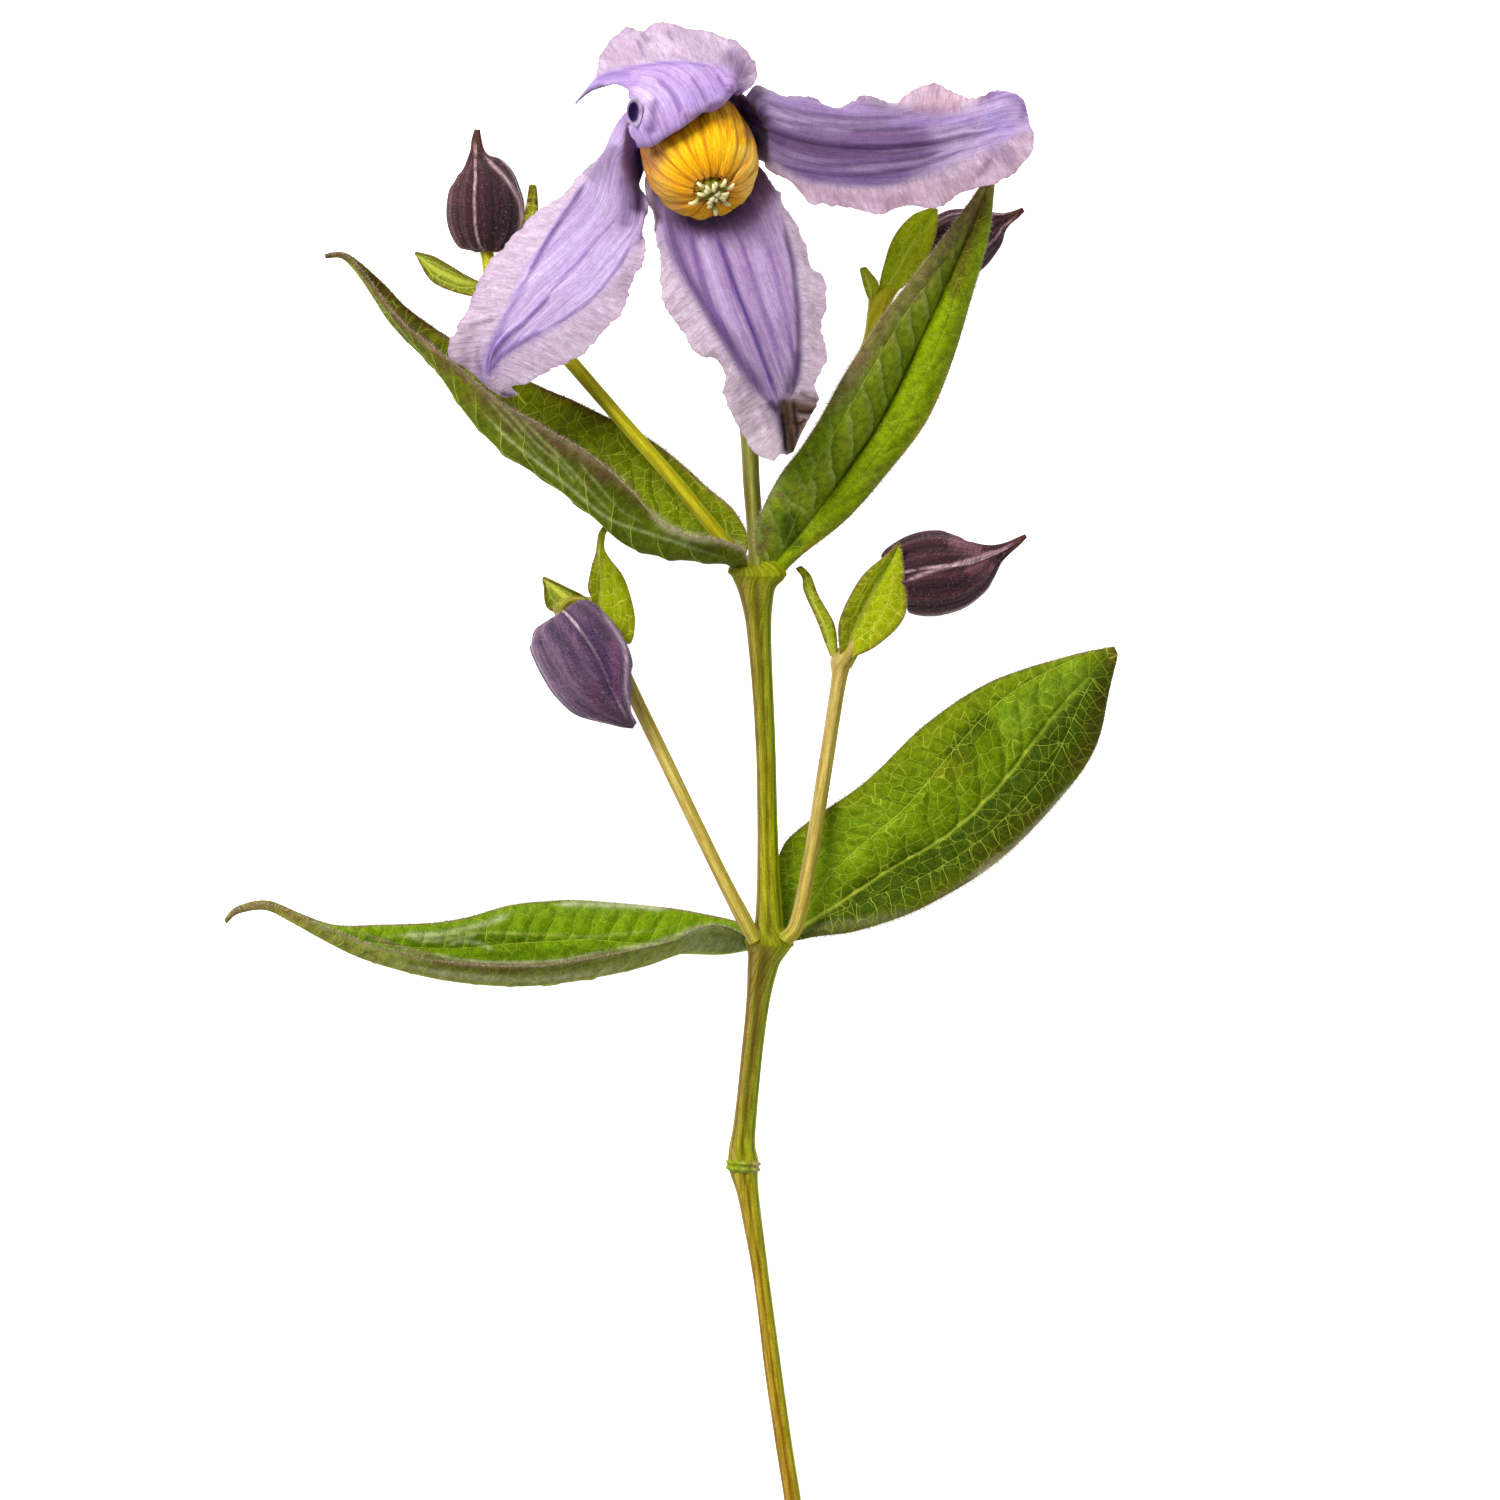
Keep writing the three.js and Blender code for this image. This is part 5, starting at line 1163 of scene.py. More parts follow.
# Paths of the buds, from scalloped base to beak: x, y, height and radius.
BUD_PATHS = {
    "bud_upper_left": places("""
        -29.5 85.3 5.7 1.6, -29.5 85.9 5.7 3.4, -29.6 87.2 5.7 4.8, -29.7 89.6 5.7 5.8, -29.7 92 5.7 6.05,
        -29.8 94.4 5.7 5.75, -29.9 96.6 5.7 4.95, -30.3 98.6 5.8 3.7, -30.8 100.2 5.9 1.9, -31 101.6 6 1.05,
        -31.1 103.2 6.1 .75, -31 104.9 6.2 .4
    """),
    "bud_upper_right": places("""
        40.6 84 5.15 1.6, 41.2 84.4 5.15 3.2, 42.6 85.3 5.15 4.6, 44.6 86.2 5.15 5.3, 46.8 87 5.15 5.4,
        49 88 5.2 4.6, 50.8 88.9 5.4 3.4, 52.4 89.9 5.6 1.9, 53.6 90.5 5.8 1.1, 55 91.2 6 .7,
        56.4 92.1 6.2 .35
    """),
    "bud_right": places("""
        34.7 32.2 10 1.8, 35.3 32.5 10 3.8, 36.6 33 10 5.3, 39.2 33.5 10 6.35, 42.2 33.9 10 6.65,
        45.2 34.2 10 6.1, 48 34.9 10 4.75, 50 35.8 10.1 3.2, 52 36.9 10.3 1.6, 53.8 37.9 10.5 .9,
        55.4 38.9 10.7 .6, 56.8 39.9 10.9 .3
    """),
    "bud_left": places("""
        -18.6 27 13 2, -18.3 26.5 13 4.4, -17.6 25.6 13.1 5.9, -15.9 23.2 13.2 6.7, -14.2 20.6 13.3 6.95,
        -12.7 17.8 13.4 6.75, -11.4 15.4 13.4 5.9, -9.9 13.4 13.4 4.4, -8.6 11.8 13.4 2.7,
        -7.4 10.6 13.4 1.5, -5.8 9.5 13.4 .5
    """),
}


# ---- Leaves and bracts ----

Bulge = Callable[[Array], Array]
BACK_SHIFT = (40.0, 0, 1)  # keeps the grain of an under face off that of the upper one
HAIRY_ROWS = slice(6, -3)  # the rows of a blade whose margins carry hairs


def arched(height: float) -> Bulge:
    """A bulge that is highest halfway along."""
    return lambda u: height * np.sin(np.pi * np.clip(u, 0, 1)) ** 0.7


def near_half_belly(u: Array) -> Array:
    """How far the upper left leaf's near half hangs out below, along its length."""
    shares = (0, 0.08, 0.2, 0.35, 0.5, 0.6, 0.7, 0.8, 1)
    return np.interp(u, shares, (0, -3, -4.4, -5, -5, -3.2, -1.2, -0.4, 0))


@dataclass(frozen=True)
class LeafColours:
    """Colours of a leaf: its two halves on each face, margins, mottling and tip."""

    left: str
    right: str
    under: str
    rim: str
    margin: str = "8f9a14"
    mottle: str = "4c3320"
    mottle_left: float = 0.0
    mottle_right: float = 0.0
    tip: str = "6b5024"


@dataclass(frozen=True)
class Veins:
    """Where a leaf's side veins run, and how a leaf rises and sinks with them.

    Fields: share of each half's width that the arching vein keeps along the leaf, gap between the cross
    veins inside and outside of it in millimetres, how far forward they lean, how strong they are, how far
    the left half rises from vein to vein, width of the midrib, and how much net each half shows.
    """

    left_arch: tuple[Point, ...] = ((0, 0.03), (0.3, 0.5), (0.7, 0.5), (1, 0.1))
    right_arch: tuple[Point, ...] = ((0, 0.03), (0.3, 0.5), (0.7, 0.5), (1, 0.1))
    inner_gap: float = 5.2
    outer_gap: float = 3.4
    inner_lean: float = 0.7
    outer_lean: float = -0.35
    strength: float = 0.75
    step: float = 0.0
    midrib: float = 2.0
    left_net: float = 1.0
    right_net: float = 1.0


@dataclass
class Leaf:
    """A stalkless leaf of two halves that meet at a midrib, with arching veins and hairy margins."""

    name: str
    colours: LeafColours
    bellies: tuple[Bulge, Bulge]
    rails: Sequence[Sequence[Point]]
    veins: Veins = Veins()
    strokes: tuple[Stroke, ...] = ()
    rows: int = 300
    columns: int = 120
    puff: float = 0.42
    thickness: float = 0.42
    finish: Finish = LEAF
    seed: int = 1
    rim_hairs: tuple[Hairs, ...] = ()
    grid: Array = field(init=False)

    def build(self, groves: Groves) -> Piece:
        """Builds the blade and its margin hairs."""
        curves = [rail(points) for points in self.rails]
        u = np.linspace(0, 1, self.rows)
        v = np.linspace(-1, 1, self.columns + 1)
        left, middle, right = (curve.along(u)[:, None] for curve in curves)
        along = curves[1].tangent(curves[1].share(u))[:, None]
        side, share = np.where(v < 0, -1, 1), np.abs(v)
        margin = np.where((v < 0)[None, :, None], left, right)
        chord = np.where((v < 0)[None, :, None], middle - left, right - middle)
        normal = unit(np.cross(chord, along))
        half = np.linalg.norm(margin - middle, axis=-1)
        length = curves[1].length
        reach, quilt, stair = self.trace_veins(u[:, None], share[None, :], side[None, :], half, length)
        line = np.exp(-((reach / 0.3) ** 2)).max(-1)
        belly = np.where(v < 0, self.bellies[0](u)[:, None], self.bellies[1](u)[:, None])
        grown = np.sin(np.pi * u)[:, None]
        lift = 4 * share * (1 - share) * belly + self.puff * quilt * np.minimum(1, 1.6 * grown)
        waves = soft_noise(u[:, None] * length / 6, side[None, :] * 3.1, self.seed) * 0.35 * share**4 * grown
        lift = lift - 0.08 * line * np.minimum(1, 2 * grown) + waves
        lift = lift + 0.25 * self.raised(side * share * half) * grown
        self.grid = middle + share[None, :, None] * (margin - middle) + normal * lift[..., None]
        edge = smoothstep(share, 0.9, 1.0)[None, :] * np.ones_like(half)
        bare = 1 - (1 - 0.7 * edge) * np.where(v < 0, self.veins.left_net, self.veins.right_net)[None, :]
        across = side * share * half
        surface = np.stack([across, u[:, None] * length * np.ones_like(half), np.zeros_like(half)], -1)
        top, low = self.paint(u[:, None], v[None, :], stair, half, across, u[:, None] * length)
        thick = self.thickness * (1 - 0.5 * edge)
        blade = blade_object(
            self.name + "_blade", self.grid, thick,
            {
                "tint": (top, low), "surface": (surface, surface + BACK_SHIFT),
                "edge": (bare, bare), "veins": (reach, reach),
            },
        )
        overpaint(blade, self.strokes)
        settle(blade, self.finish, [self.name])
        self.grow_hairs(groves)
        return blade

    def trace_veins(
        self, u: Array, share: Array, side: Array, half: Array, length: float
    ) -> tuple[Array, ...]:
        """The midrib, the arching veins beside it and the cross veins between them.

        Args:
            u: share of the length.
            share: share of the half's width, from the midrib.
            side: -1 on the left half and 1 on the right.
            half: width of the half in millimetres.
            length: length of the leaf in millimetres.

        Returns:
            Distances to the midrib, to the arching veins and to the cross veins, larger where a vein is
            finer; how far the blade swells; and how it rises in steps from vein to vein.
        """
        veins = self.veins
        arches = [np.interp(u, *zip(*table)) for table in (veins.left_arch, veins.right_arch)]
        arch = np.where(side < 0, arches[0], arches[1])
        away = share * half
        beside = (share - arch) * half
        wander = 0.22 * soft_noise(u * length / 5 + 9 * side, away / 4, self.seed + 4)
        inner = (u * length - veins.inner_lean * away) / veins.inner_gap + wander + 0.31 * side
        outer = (u * length - veins.outer_lean * (away - arch * half)) / veins.outer_gap + 1.4 * wander
        inside = share < arch
        gap = np.where(inside, veins.inner_gap, veins.outer_gap)
        phase = np.where(inside, inner, outer)
        cross = gap / np.pi * np.sin(np.pi * phase)
        fade = smoothstep(u, 0.02, 0.12) * smoothstep(1 - u, 0.02, 0.12) * veins.strength
        full = np.ones_like(half)
        thick = veins.midrib * smoothstep(1 - u, -0.1, 0.5)
        fineness = (thick, 0.62 * fade, 0.5 * fade * smoothstep(1 - share, 0.02, 0.3))
        signed = (away * side + 0.12 * thick, beside, cross)
        reach = np.stack([value / np.maximum(fine, 0.02) * full for value, fine in zip(signed, fineness)], -1)
        inward = smoothstep(1 - share, 0, 0.2)
        cell = smoothstep(np.abs(cross), 0, 1.5) * smoothstep(np.abs(beside), 0, 1.3)
        cell = cell * smoothstep(away, 0, 1.2) * inward
        stair = (phase - np.floor(phase) - 0.5) * smoothstep(away, 0, 1.5) * (side < 0) * (veins.step > 0)
        stair = stair * inward
        return reach, cell + veins.step * stair, stair

    def raised(self, across: Array) -> Array:
        """How much of the raised midrib there is at a distance from the middle."""
        return hill(across, 0, 0.42) * (self.veins.midrib > 1)

    def paint(
        self, u: Array, v: Array, stair: Array, half: Array, across: Array, along: Array
    ) -> tuple[Array, Array]:
        """Paints the upper and the under face.

        Args:
            u: share of the length.
            v: -1 at the left margin to 1 at the right.
            stair: how high each place stands in its step from vein to vein.
            half: width of the half in millimetres.
            across: distance from the midrib in millimetres, negative on the left.
            along: distance from the base in millimetres.

        Returns:
            The colours of the upper and of the under face.
        """
        c, shape = self.colours, half.shape
        share = np.abs(v) * np.ones(shape)
        blotch = soft_noise(across / 2.2, along / 2.6, self.seed + 9, 4)
        grit = soft_noise(across * 1.4, along * 1.4, self.seed + 12)
        speck = smoothstep(blotch + 0.5 * grit, 0.0, 0.5)
        reach = np.where(v < 0, c.mottle_left, c.mottle_right) * np.ones(shape)
        width = np.minimum(0.6, 0.5 / np.maximum(half, 0.3))
        rim = smoothstep(share, 1 - width, 1 - 0.3 * width)
        faces = []
        for left, right in ((c.left, c.right), (c.under, c.under)):
            colour = tint(flood(shape, left), right, smoothstep(v, -0.02, 0.02))
            colour = tint(colour, c.margin, 0.4 * smoothstep(share, 0.6, 1.0))
            colour = tint(colour, "4a6606", 0.25 * smoothstep(-blotch, 0, 0.7))
            # painted shade on the low end of each step between cross veins, painted light on its high end
            colour = tint(colour, "52720a", 0.6 * smoothstep(-stair, 0.1, 0.5))
            colour = tint(colour, "c0cc70", 0.85 * smoothstep(stair, 0.1, 0.5))
            colour = tint(colour, "b8c848", 0.9 * self.raised(across) * smoothstep(1 - u, 0, 0.3))
            zone = reach * smoothstep(share, 0.35, 0.95) + reach * 0.6 * smoothstep(u, 0.7, 0.95)
            colour = tint(colour, c.mottle, 0.85 * speck * zone)
            colour = tint(colour, c.tip, 0.7 * smoothstep(u, 0.93, 1.0))
            faces.append(tint(colour, c.rim, 0.8 * rim * (0.6 + 0.4 * smoothstep(grit, -0.3, 0.3))))
        return faces[0], faces[1]

    def grow_hairs(self, groves: Groves) -> None:
        """Grows the hairs that stand out of both margins."""
        grid = self.grid[HAIRY_ROWS]
        lines = [grid[:, 0], grid[:, -1]]
        outs = [unit(grid[:, 0] - grid[:, 2]), unit(grid[:, -1] - grid[:, -3])]
        for k, hairs in enumerate(self.rim_hairs):
            hairs.row(groves, f"{self.name}_rim_hairs_{k}", lines, outs)


RIM_BROWN = Hairs(0.8, 0.04, 0.11, 0.85, "9a8268", PALE_HAIR, 5)
RIM_PALE = Hairs(0.6, 0.035, 0.15, 0.9, "e0d6be", PALE_HAIR, 8)
BRACT_RIM = Hairs(0.45, 0.03, 0.2, 0.7, "cbbf95", PALE_HAIR, 6)

UPPER_LEFT_STROKES = strokes("""
    6a7c18 2.6 .8: 8 36.6, 0 38.8, -10 42.5, -18 47.5, -24 53;
    4e5c14 2 .7: -2 42, -9 46.5, -16 51.5, -23 56.5, -30 62;
    6b4a42 1.5 .6: -7 47, -14 52, -21 56, -28 60.5, -33 65;
    b9c08a .28 .85: 10 35.8, 4 37.8, -4 40.4, -10 42.6, -15 46.6, -20 50.6, -26 55.4, -31 60.6;
    a3ad6c .3 .7: -9 43, -13 47, -17 51.6, -21 55.6, -24.6 59.4;
    a3ad6c .26 .7: -14.6 47.4, -18 51.6, -21.6 54.6, -26 59.6, -29 62;
    a3ad6c .24 .6: -19.6 50.6, -23 54.6, -26.6 58.6, -29.6 62;
    a3ad6c .24 .6: -4 41.6, -8 44, -12 48.4, -15 52;
    c5c9a0 .5 .75: -9 39.8, -14 41.6, -18 44.6, -22 48.6, -26 52.6;
    8a7a6a .5 .7: -3 44, -7 48.4, -12 51.8, -20 56.8, -28 61.8, -36 68.4, -46 77.8;
    cfc6a8 .7 .8: 12 36, 11.2 38, 8 39.2, 3 39.8, -1 41.6, -4 44.6;
    3a4208 .8 .6: 9.6 37, 6 37.6, 2 38.6;
    b08a72 .7 .6: -36 68, -42 73.4, -48 79.6, -54 84.9;
    5a3c14 1.2 .75: -36.6 72, -42 76, -46.6 80, -50.6 83.4;
    6a4a1c .9 .6: -22 64, -15 61, -8 57.8
""")
# the 3f5c08 stroke is a painted shadow along the midrib
UPPER_RIGHT_STROKES = strokes("""
    3d5606 2 .8: 19 44, 19 40.5, 20.5 37.5;
    86a032 .5 .8: 17.2 36, 16.8 40, 17.8 44.6, 20 48.6;
    8d9a60 .8 .6: 14.2 37.5, 14.2 42, 16.4 47, 19.6 52;
    86a81c 2.2 .6: 18 47, 22.6 53, 27.4 60.6, 32 68;
    b5c060 .3 .8: 22.8 41.4, 21 44, 18.8 45.4;
    3f5c08 .4 .7: 25 45.6, 29 51.4, 33 57, 36.6 63.8, 40 71.2;
    6a5022 1.4 .75: 44.6 77, 46 81, 47.6 86, 49 91, 50.4 95;
    8a7449 1.5 .8: 47.6 89, 49.4 93, 51 97;
    86705a 1.9 .7: 24 57.4, 29 65.6, 34 73.6, 39.6 80.6, 45 88, 49.4 94.6;
    c8b83c .45 .85: 18 35.4, 22 38.2, 28 41.6, 33 47, 38 53.6, 41.6 59.4, 44.4 66;
    9db31a 1.3 .55: 45 69, 47.2 76, 49.4 84, 51 92
""")
# the 39500a stroke is a painted shadow below a side vein; the 3a4e06 stroke is painted shade beside the
# midrib
LOWER_RIGHT_STROKES = strokes("""
    9fc030 2.8 .85: 52 8, 60 14.6, 67 19.6;
    9cc01c 3 .6: 20 -20, 23 -13, 30 -8, 38 -3;
    8f9c14 1.7 .6: 24 -3.6, 31 0, 38 6.4, 45 11.4, 52 15.4;
    7a6c18 2.2 .5: 41 1.4, 45 3, 48 5.6;
    39500a 1.5 .75: 44 4, 48 8.4, 51.4 11.4;
    3c5006 1.6 .7: 26 -18.6, 33 -14.4, 38 -10.6, 41 -8;
    3a4e06 .9 .65: 36 -15, 42 -11.4, 47 -8, 51 -3.6, 55 1, 60 7, 65 13, 69 18.4;
    4c3c0a 1.6 .7: 63 2, 67 7, 69 12.6, 69.4 18;
    4a4808 2.2 .5: 47 -13.4, 54 -8.6, 60 -3.4, 64 1.6;
    8a8a5c .85 .85: 20.6 -23.8, 25 -22.8, 31 -22, 36 -21, 40 -19.6;
    d6cfb4 .55 .9: 46.4 -15.6, 50 -13.6, 54 -10.6, 58 -7, 62 -2.6, 64.4 .8;
    9a8468 .4 .6: 40 -19, 45 -16.6, 50 -13, 56 -8.6, 62 -2
""")
LOWER_LEFT_STROKES = strokes("""
    4d6c0a 1.6 .7: -44 -24.4, -36 -24.6, -28 -24.4, -20 -24.8;
    86a428 1 .6: -30 -20.6, -22 -20, -12 -20.4, -4 -20.6;
    6a8a10 1.4 .6: -32 -27, -24 -27, -16 -26.4, -8 -25;
    a9bd52 .28 .85: -50 -24.6, -44 -24.2, -36 -23.8, -28 -23.6, -20 -24, -12 -24.2, -4 -23.4, 2 -22.4;
    c9cfa6 .5 .75: -44 -24, -38 -24, -33 -23, -28 -21.6, -25 -20.2;
    c9cfa6 .35 .7: -36 -25.6, -33 -25, -30 -25.6, -28 -26.6;
    c5cb98 .3 .65: -42 -24.6, -38 -25, -34 -24.4, -30 -23.6;
    d9d7bd .45 .85: -19 -19.2, -15 -19, -10 -19.2, -5 -19.4, 0 -20;
    d0d0ac .4 .75: -10 -26.4, -5 -25.8, 0 -24.4, 4 -23, 8 -22.2;
    8f9a6c 1.6 .7: 1 -25.4, 6 -25, 10 -25.4, 13 -26;
    b3b88c .5 .6: 2 -24, 6 -22.8, 9 -22.8;
    66702c .6 .5: 6 -23.8, 9 -24.2, 12.4 -25.4;
    5b4020 .55 .8: -20 -29.3, -27 -29.6, -33 -29, -39 -28;
    6b6a18 .8 .7: -10 -28.2, -18 -29.4, -27 -30, -36 -29.2, -44 -28;
    b7b290 .5 .75: -6 -28.8, -14 -30.4, -22 -31.2, -28 -31, -36 -30.2, -43 -28.8;
    a8947c .45 .85: -52 -22.8, -46 -25, -40 -27, -34 -28.4, -26 -28.8, -18 -28.4, -10 -26.8, -4 -25.6;
    e5dcc6 .22 .7: -40 -26.6, -33 -28, -26 -28.4, -18 -28, -10 -26.4;
    8f8a3c .7 .7: -60 -21.6, -56 -23.8, -50 -26.6, -44 -28.4;
    8c6a4a .6 .75: -56 -22, -60 -20.6, -64 -19, -68 -19.2, -71 -21;
    8a7a1c .5 .7: -66 -19.8, -62 -20.4, -58 -22.2
""")


def all_leaves() -> list[Leaf]:
    """The four leaves, each with its own colours."""
    hairs = (RIM_BROWN, RIM_PALE)
    return [
        Leaf(
            "leaf_upper_left",
            LeafColours("6f7a10", "8a9a04", "727c1c", "8f6f58", "8f8a0c", "6a4030", 0.9, 0.4),
            (near_half_belly, arched(-4.2)), LEAF_RAILS["leaf_upper_left"],
            Veins(inner_gap=6.5, inner_lean=1.5, outer_lean=1.2, outer_gap=5.2, strength=0.75, left_net=0.0),
            UPPER_LEFT_STROKES, seed=11, rim_hairs=hairs,
        ),
        Leaf(
            "leaf_upper_right",
            LeafColours("9cac24", "93a806", "8f9a4c", "a3905c", "9aa80c", "8a6a54", 1.0, 0.35, "8a7449"),
            (arched(1.2), arched(2.2)), LEAF_RAILS["leaf_upper_right"],
            Veins(
                ((0, 0.03), (0.3, 0.7), (0.7, 0.7), (1, 0.3)), inner_gap=5.0, outer_gap=5.0, inner_lean=1.1,
                outer_lean=1.3, strength=0.6, step=0.26, midrib=0.7, left_net=0.0, right_net=0.25,
            ),
            UPPER_RIGHT_STROKES, puff=0.22, seed=23, rim_hairs=hairs,
        ),
        Leaf(
            "leaf_lower_right",
            LeafColours("84a006", "465c04", "8a9a5c", "8a7450", "949a08", "6e3a14", 0.15, 0.35),
            (arched(0.8), arched(1.8)), LEAF_RAILS["leaf_lower_right"],
            Veins(
                ((0, 0.03), (0.1, 0.3), (0.35, 0.5), (0.6, 0.64), (0.85, 0.8), (1, 0.95)), outer_gap=2.4,
                strength=0.8, right_net=0.5,
            ),
            LOWER_RIGHT_STROKES, rows=330, columns=146, seed=37, rim_hairs=hairs,
        ),
        Leaf(
            "leaf_lower_left",
            LeafColours("789a08", "86aa08", "a4a45c", "9a866c", "86a010", "5f4038", 0.35, 0.1),
            (arched(-1.8), arched(0.9)), LEAF_RAILS["leaf_lower_left"],
            Veins(inner_gap=5.8, strength=0.6, left_net=0.4, right_net=0.4),
            LOWER_LEFT_STROKES, seed=41, rim_hairs=hairs,
        ),
    ]


def all_bracts() -> list[Leaf]:
    """The eight small leaves below the buds."""
    green = LeafColours("a3b008", "acba0a", "98a63c", "8a6a48", "a39a14", "6b4a2c", 0.35, 0.35, "5a3c20")
    lime = LeafColours("b9ca0a", "c2d014", "acb83a", "a39a3c", "bcbc14", "5b3b20", 0.05, 0.05, "8a7a30")
    brown = LeafColours("8f9018", "949c16", "7d7a30", "6a4630", "7a5c20", "5b3424", 0.8, 0.8, "4a2c1c")
    looks = {
        "bract_upper_left_outer": green, "bract_upper_left_inner": brown, "bract_upper_right_outer": lime,
        "bract_upper_right_inner": lime, "bract_right_outer": green, "bract_right_inner": green,
        "bract_left_upper": green, "bract_left_inner": green,
    }
    return [
        Leaf(
            name, colours, (arched(0.5), arched(0.5)), BRACT_RAILS[name],
            Veins(inner_gap=2.8, outer_gap=2.2, strength=0.5), rows=80, columns=36, puff=0.1, thickness=0.34,
            finish=BRACT, seed=50 + k, rim_hairs=(BRACT_RIM,),
        )
        for k, (name, colours) in enumerate(looks.items())
    ]


# ---- Sepals ----


@dataclass(frozen=True)
class SepalColours:
    """Colours of a sepal: band at its foot, middle and tip, margins, and its paler back."""

    foot: str
    middle: str
    tip: str
    margin: str = "ece6e8"
    vein: str = "b7aab4"
    back: str = "cfc3dc"


@dataclass
class Sepal:
    """A sepal of the open flower: a ribbed middle band between thin, finely crumpled margins."""

    name: str
    colours: SepalColours
    left_edge: tuple[Point, ...]
    right_edge: tuple[Point, ...]
    grooves: tuple[Stroke, ...]
    shades: tuple[Stroke, ...] = ()
    frills: float = 6
    phase: float = 0.8
    notches: tuple[Point, ...] = ()
    crumple: float = 0.42
    rows: int = 260
    columns: int = 128
    seed: int = 1
    grid: Array = field(init=False)

    def build(self) -> Piece:
        """Builds the sepal."""
        curves = [rail(points) for points in SEPAL_RAILS[self.name]]
        u = np.linspace(0, 1, self.rows)[:, None]
        v = np.linspace(-1, 1, self.columns + 1)[None, :]
        rails = np.stack([curve.along(u[:, 0]) for curve in curves])
        grid = SmoothCurve(rails).at((v[0] + 1) / 2).transpose(1, 0, 2)
        hops = np.linalg.norm(np.diff(grid, axis=1), axis=-1)
        across = np.concatenate([np.zeros((self.rows, 1)), np.cumsum(hops, 1)], 1)
        across -= across[:, self.columns // 2][:, None]
        along = u * curves[2].length * np.ones_like(across)
        plane = as_seen(grid)
        band = self.band(plane)
        opened = smoothstep(u, 0.15, 0.35) * smoothstep(1 - u, 0, 0.14)
        edge = (1 - band) * smoothstep(u, 0.08, 0.25)
        lift = 0.3 * band * opened - sum(groove.depth * groove.weight(plane) for groove in self.grooves)
        lift = lift + 0.7 * opened * v**4 * np.sin(2 * np.pi * self.frills * u + self.phase * np.sign(v))
        ripple = soft_noise(along / 1.1, across / 5 + 3 * np.sign(v), self.seed, 3)
        lift = lift + self.crumple * edge * opened * ripple * smoothstep(np.abs(v), 0.45, 1.0)
        lift = lift + 0.16 * opened * soft_noise(across / 2.6, along / 7, self.seed + 3)
        grid = grid + grid_normals(grid) * lift[..., None]
        outward = unit(np.gradient(grid, axis=1)) * np.sign(v)[..., None]
        ragged = 0.5 * soft_noise(along / 1.5, np.sign(v) * 2.7, self.seed + 6, 3)
        ragged = ragged + 0.3 * soft_noise(along / 0.7, np.sign(v) * 1.7, self.seed + 7, 2)
        notch = np.full(across.shape, 99.0)
        for place in self.notches:
            notch = np.minimum(notch, np.linalg.norm(plane - np.asarray(place), axis=-1))
        lobes = 1.1 * hill(notch, 0, 3.2) - 2.2 * hill(notch, 0, 1.1)
        shift = ragged * opened * np.abs(v) ** 10 + lobes * np.abs(v) ** 6
        self.grid = grid + outward * shift[..., None]
        colour = self.paint(u, v, across, along, band)
        surface = np.stack([across, along, np.zeros_like(across)], -1)
        back = tint(colour, self.colours.back, np.full(edge.shape, 0.4))
        sepal = blade_object(
            self.name + "_skin", self.grid, 0.34 - 0.2 * edge,
            {"tint": (colour, back), "surface": (surface, surface + BACK_SHIFT), "edge": (edge, edge)},
        )
        overpaint(sepal, self.shades + self.grooves)
        return settle(sepal, SEPAL, [self.name])

    def band(self, plane: Array) -> Array:
        """How far each place belongs to the middle band, from 0 on the margins to 1."""
        left, left_side, _ = line_reach(plane, self.left_edge)
        right, right_side, _ = line_reach(plane, self.right_edge)
        return smoothstep(-left * left_side, -1.1, 0.7) * smoothstep(right * right_side, -1.1, 0.7)

    def paint(self, u: Array, v: Array, across: Array, along: Array, band: Array) -> Array:
        """Paints the upper face.

        Args:
            u: share of the length.
            v: -1 at the left margin to 1 at the right.
            across: distance from the middle in millimetres.
            along: distance from the base in millimetres.
            band: 1 on the middle band and 0 on the margins.

        Returns:
            The colours.
        """
        c, shape = self.colours, across.shape
        middle = tint(flood(shape, c.foot), c.middle, smoothstep(u, 0.12, 0.5))
        middle = tint(middle, c.tip, smoothstep(u, 0.6, 0.95))
        streak = smoothstep(soft_noise(across / 1.3, along / 9, self.seed + 2), 0, 0.6)
        middle = tint(middle, "e0d4f0", 0.3 * streak)
        cloud = smoothstep(soft_noise(across / 2, along / 3, self.seed + 5), 0, 0.5)
        margin = tint(flood(shape, c.margin), "f4eef2", 0.6 * cloud)
        fray = soft_noise(along / 0.8 + 0.4 * across, across / 4, self.seed + 8)
        margin = tint(margin, c.vein, 0.2 * smoothstep(fray, 0.15, 0.6))
        margin = tint(margin, "a3949e", 0.3 * smoothstep(np.abs(v), 0.965, 1.0))
        return margin * (1 - band[..., None]) + middle * band[..., None]


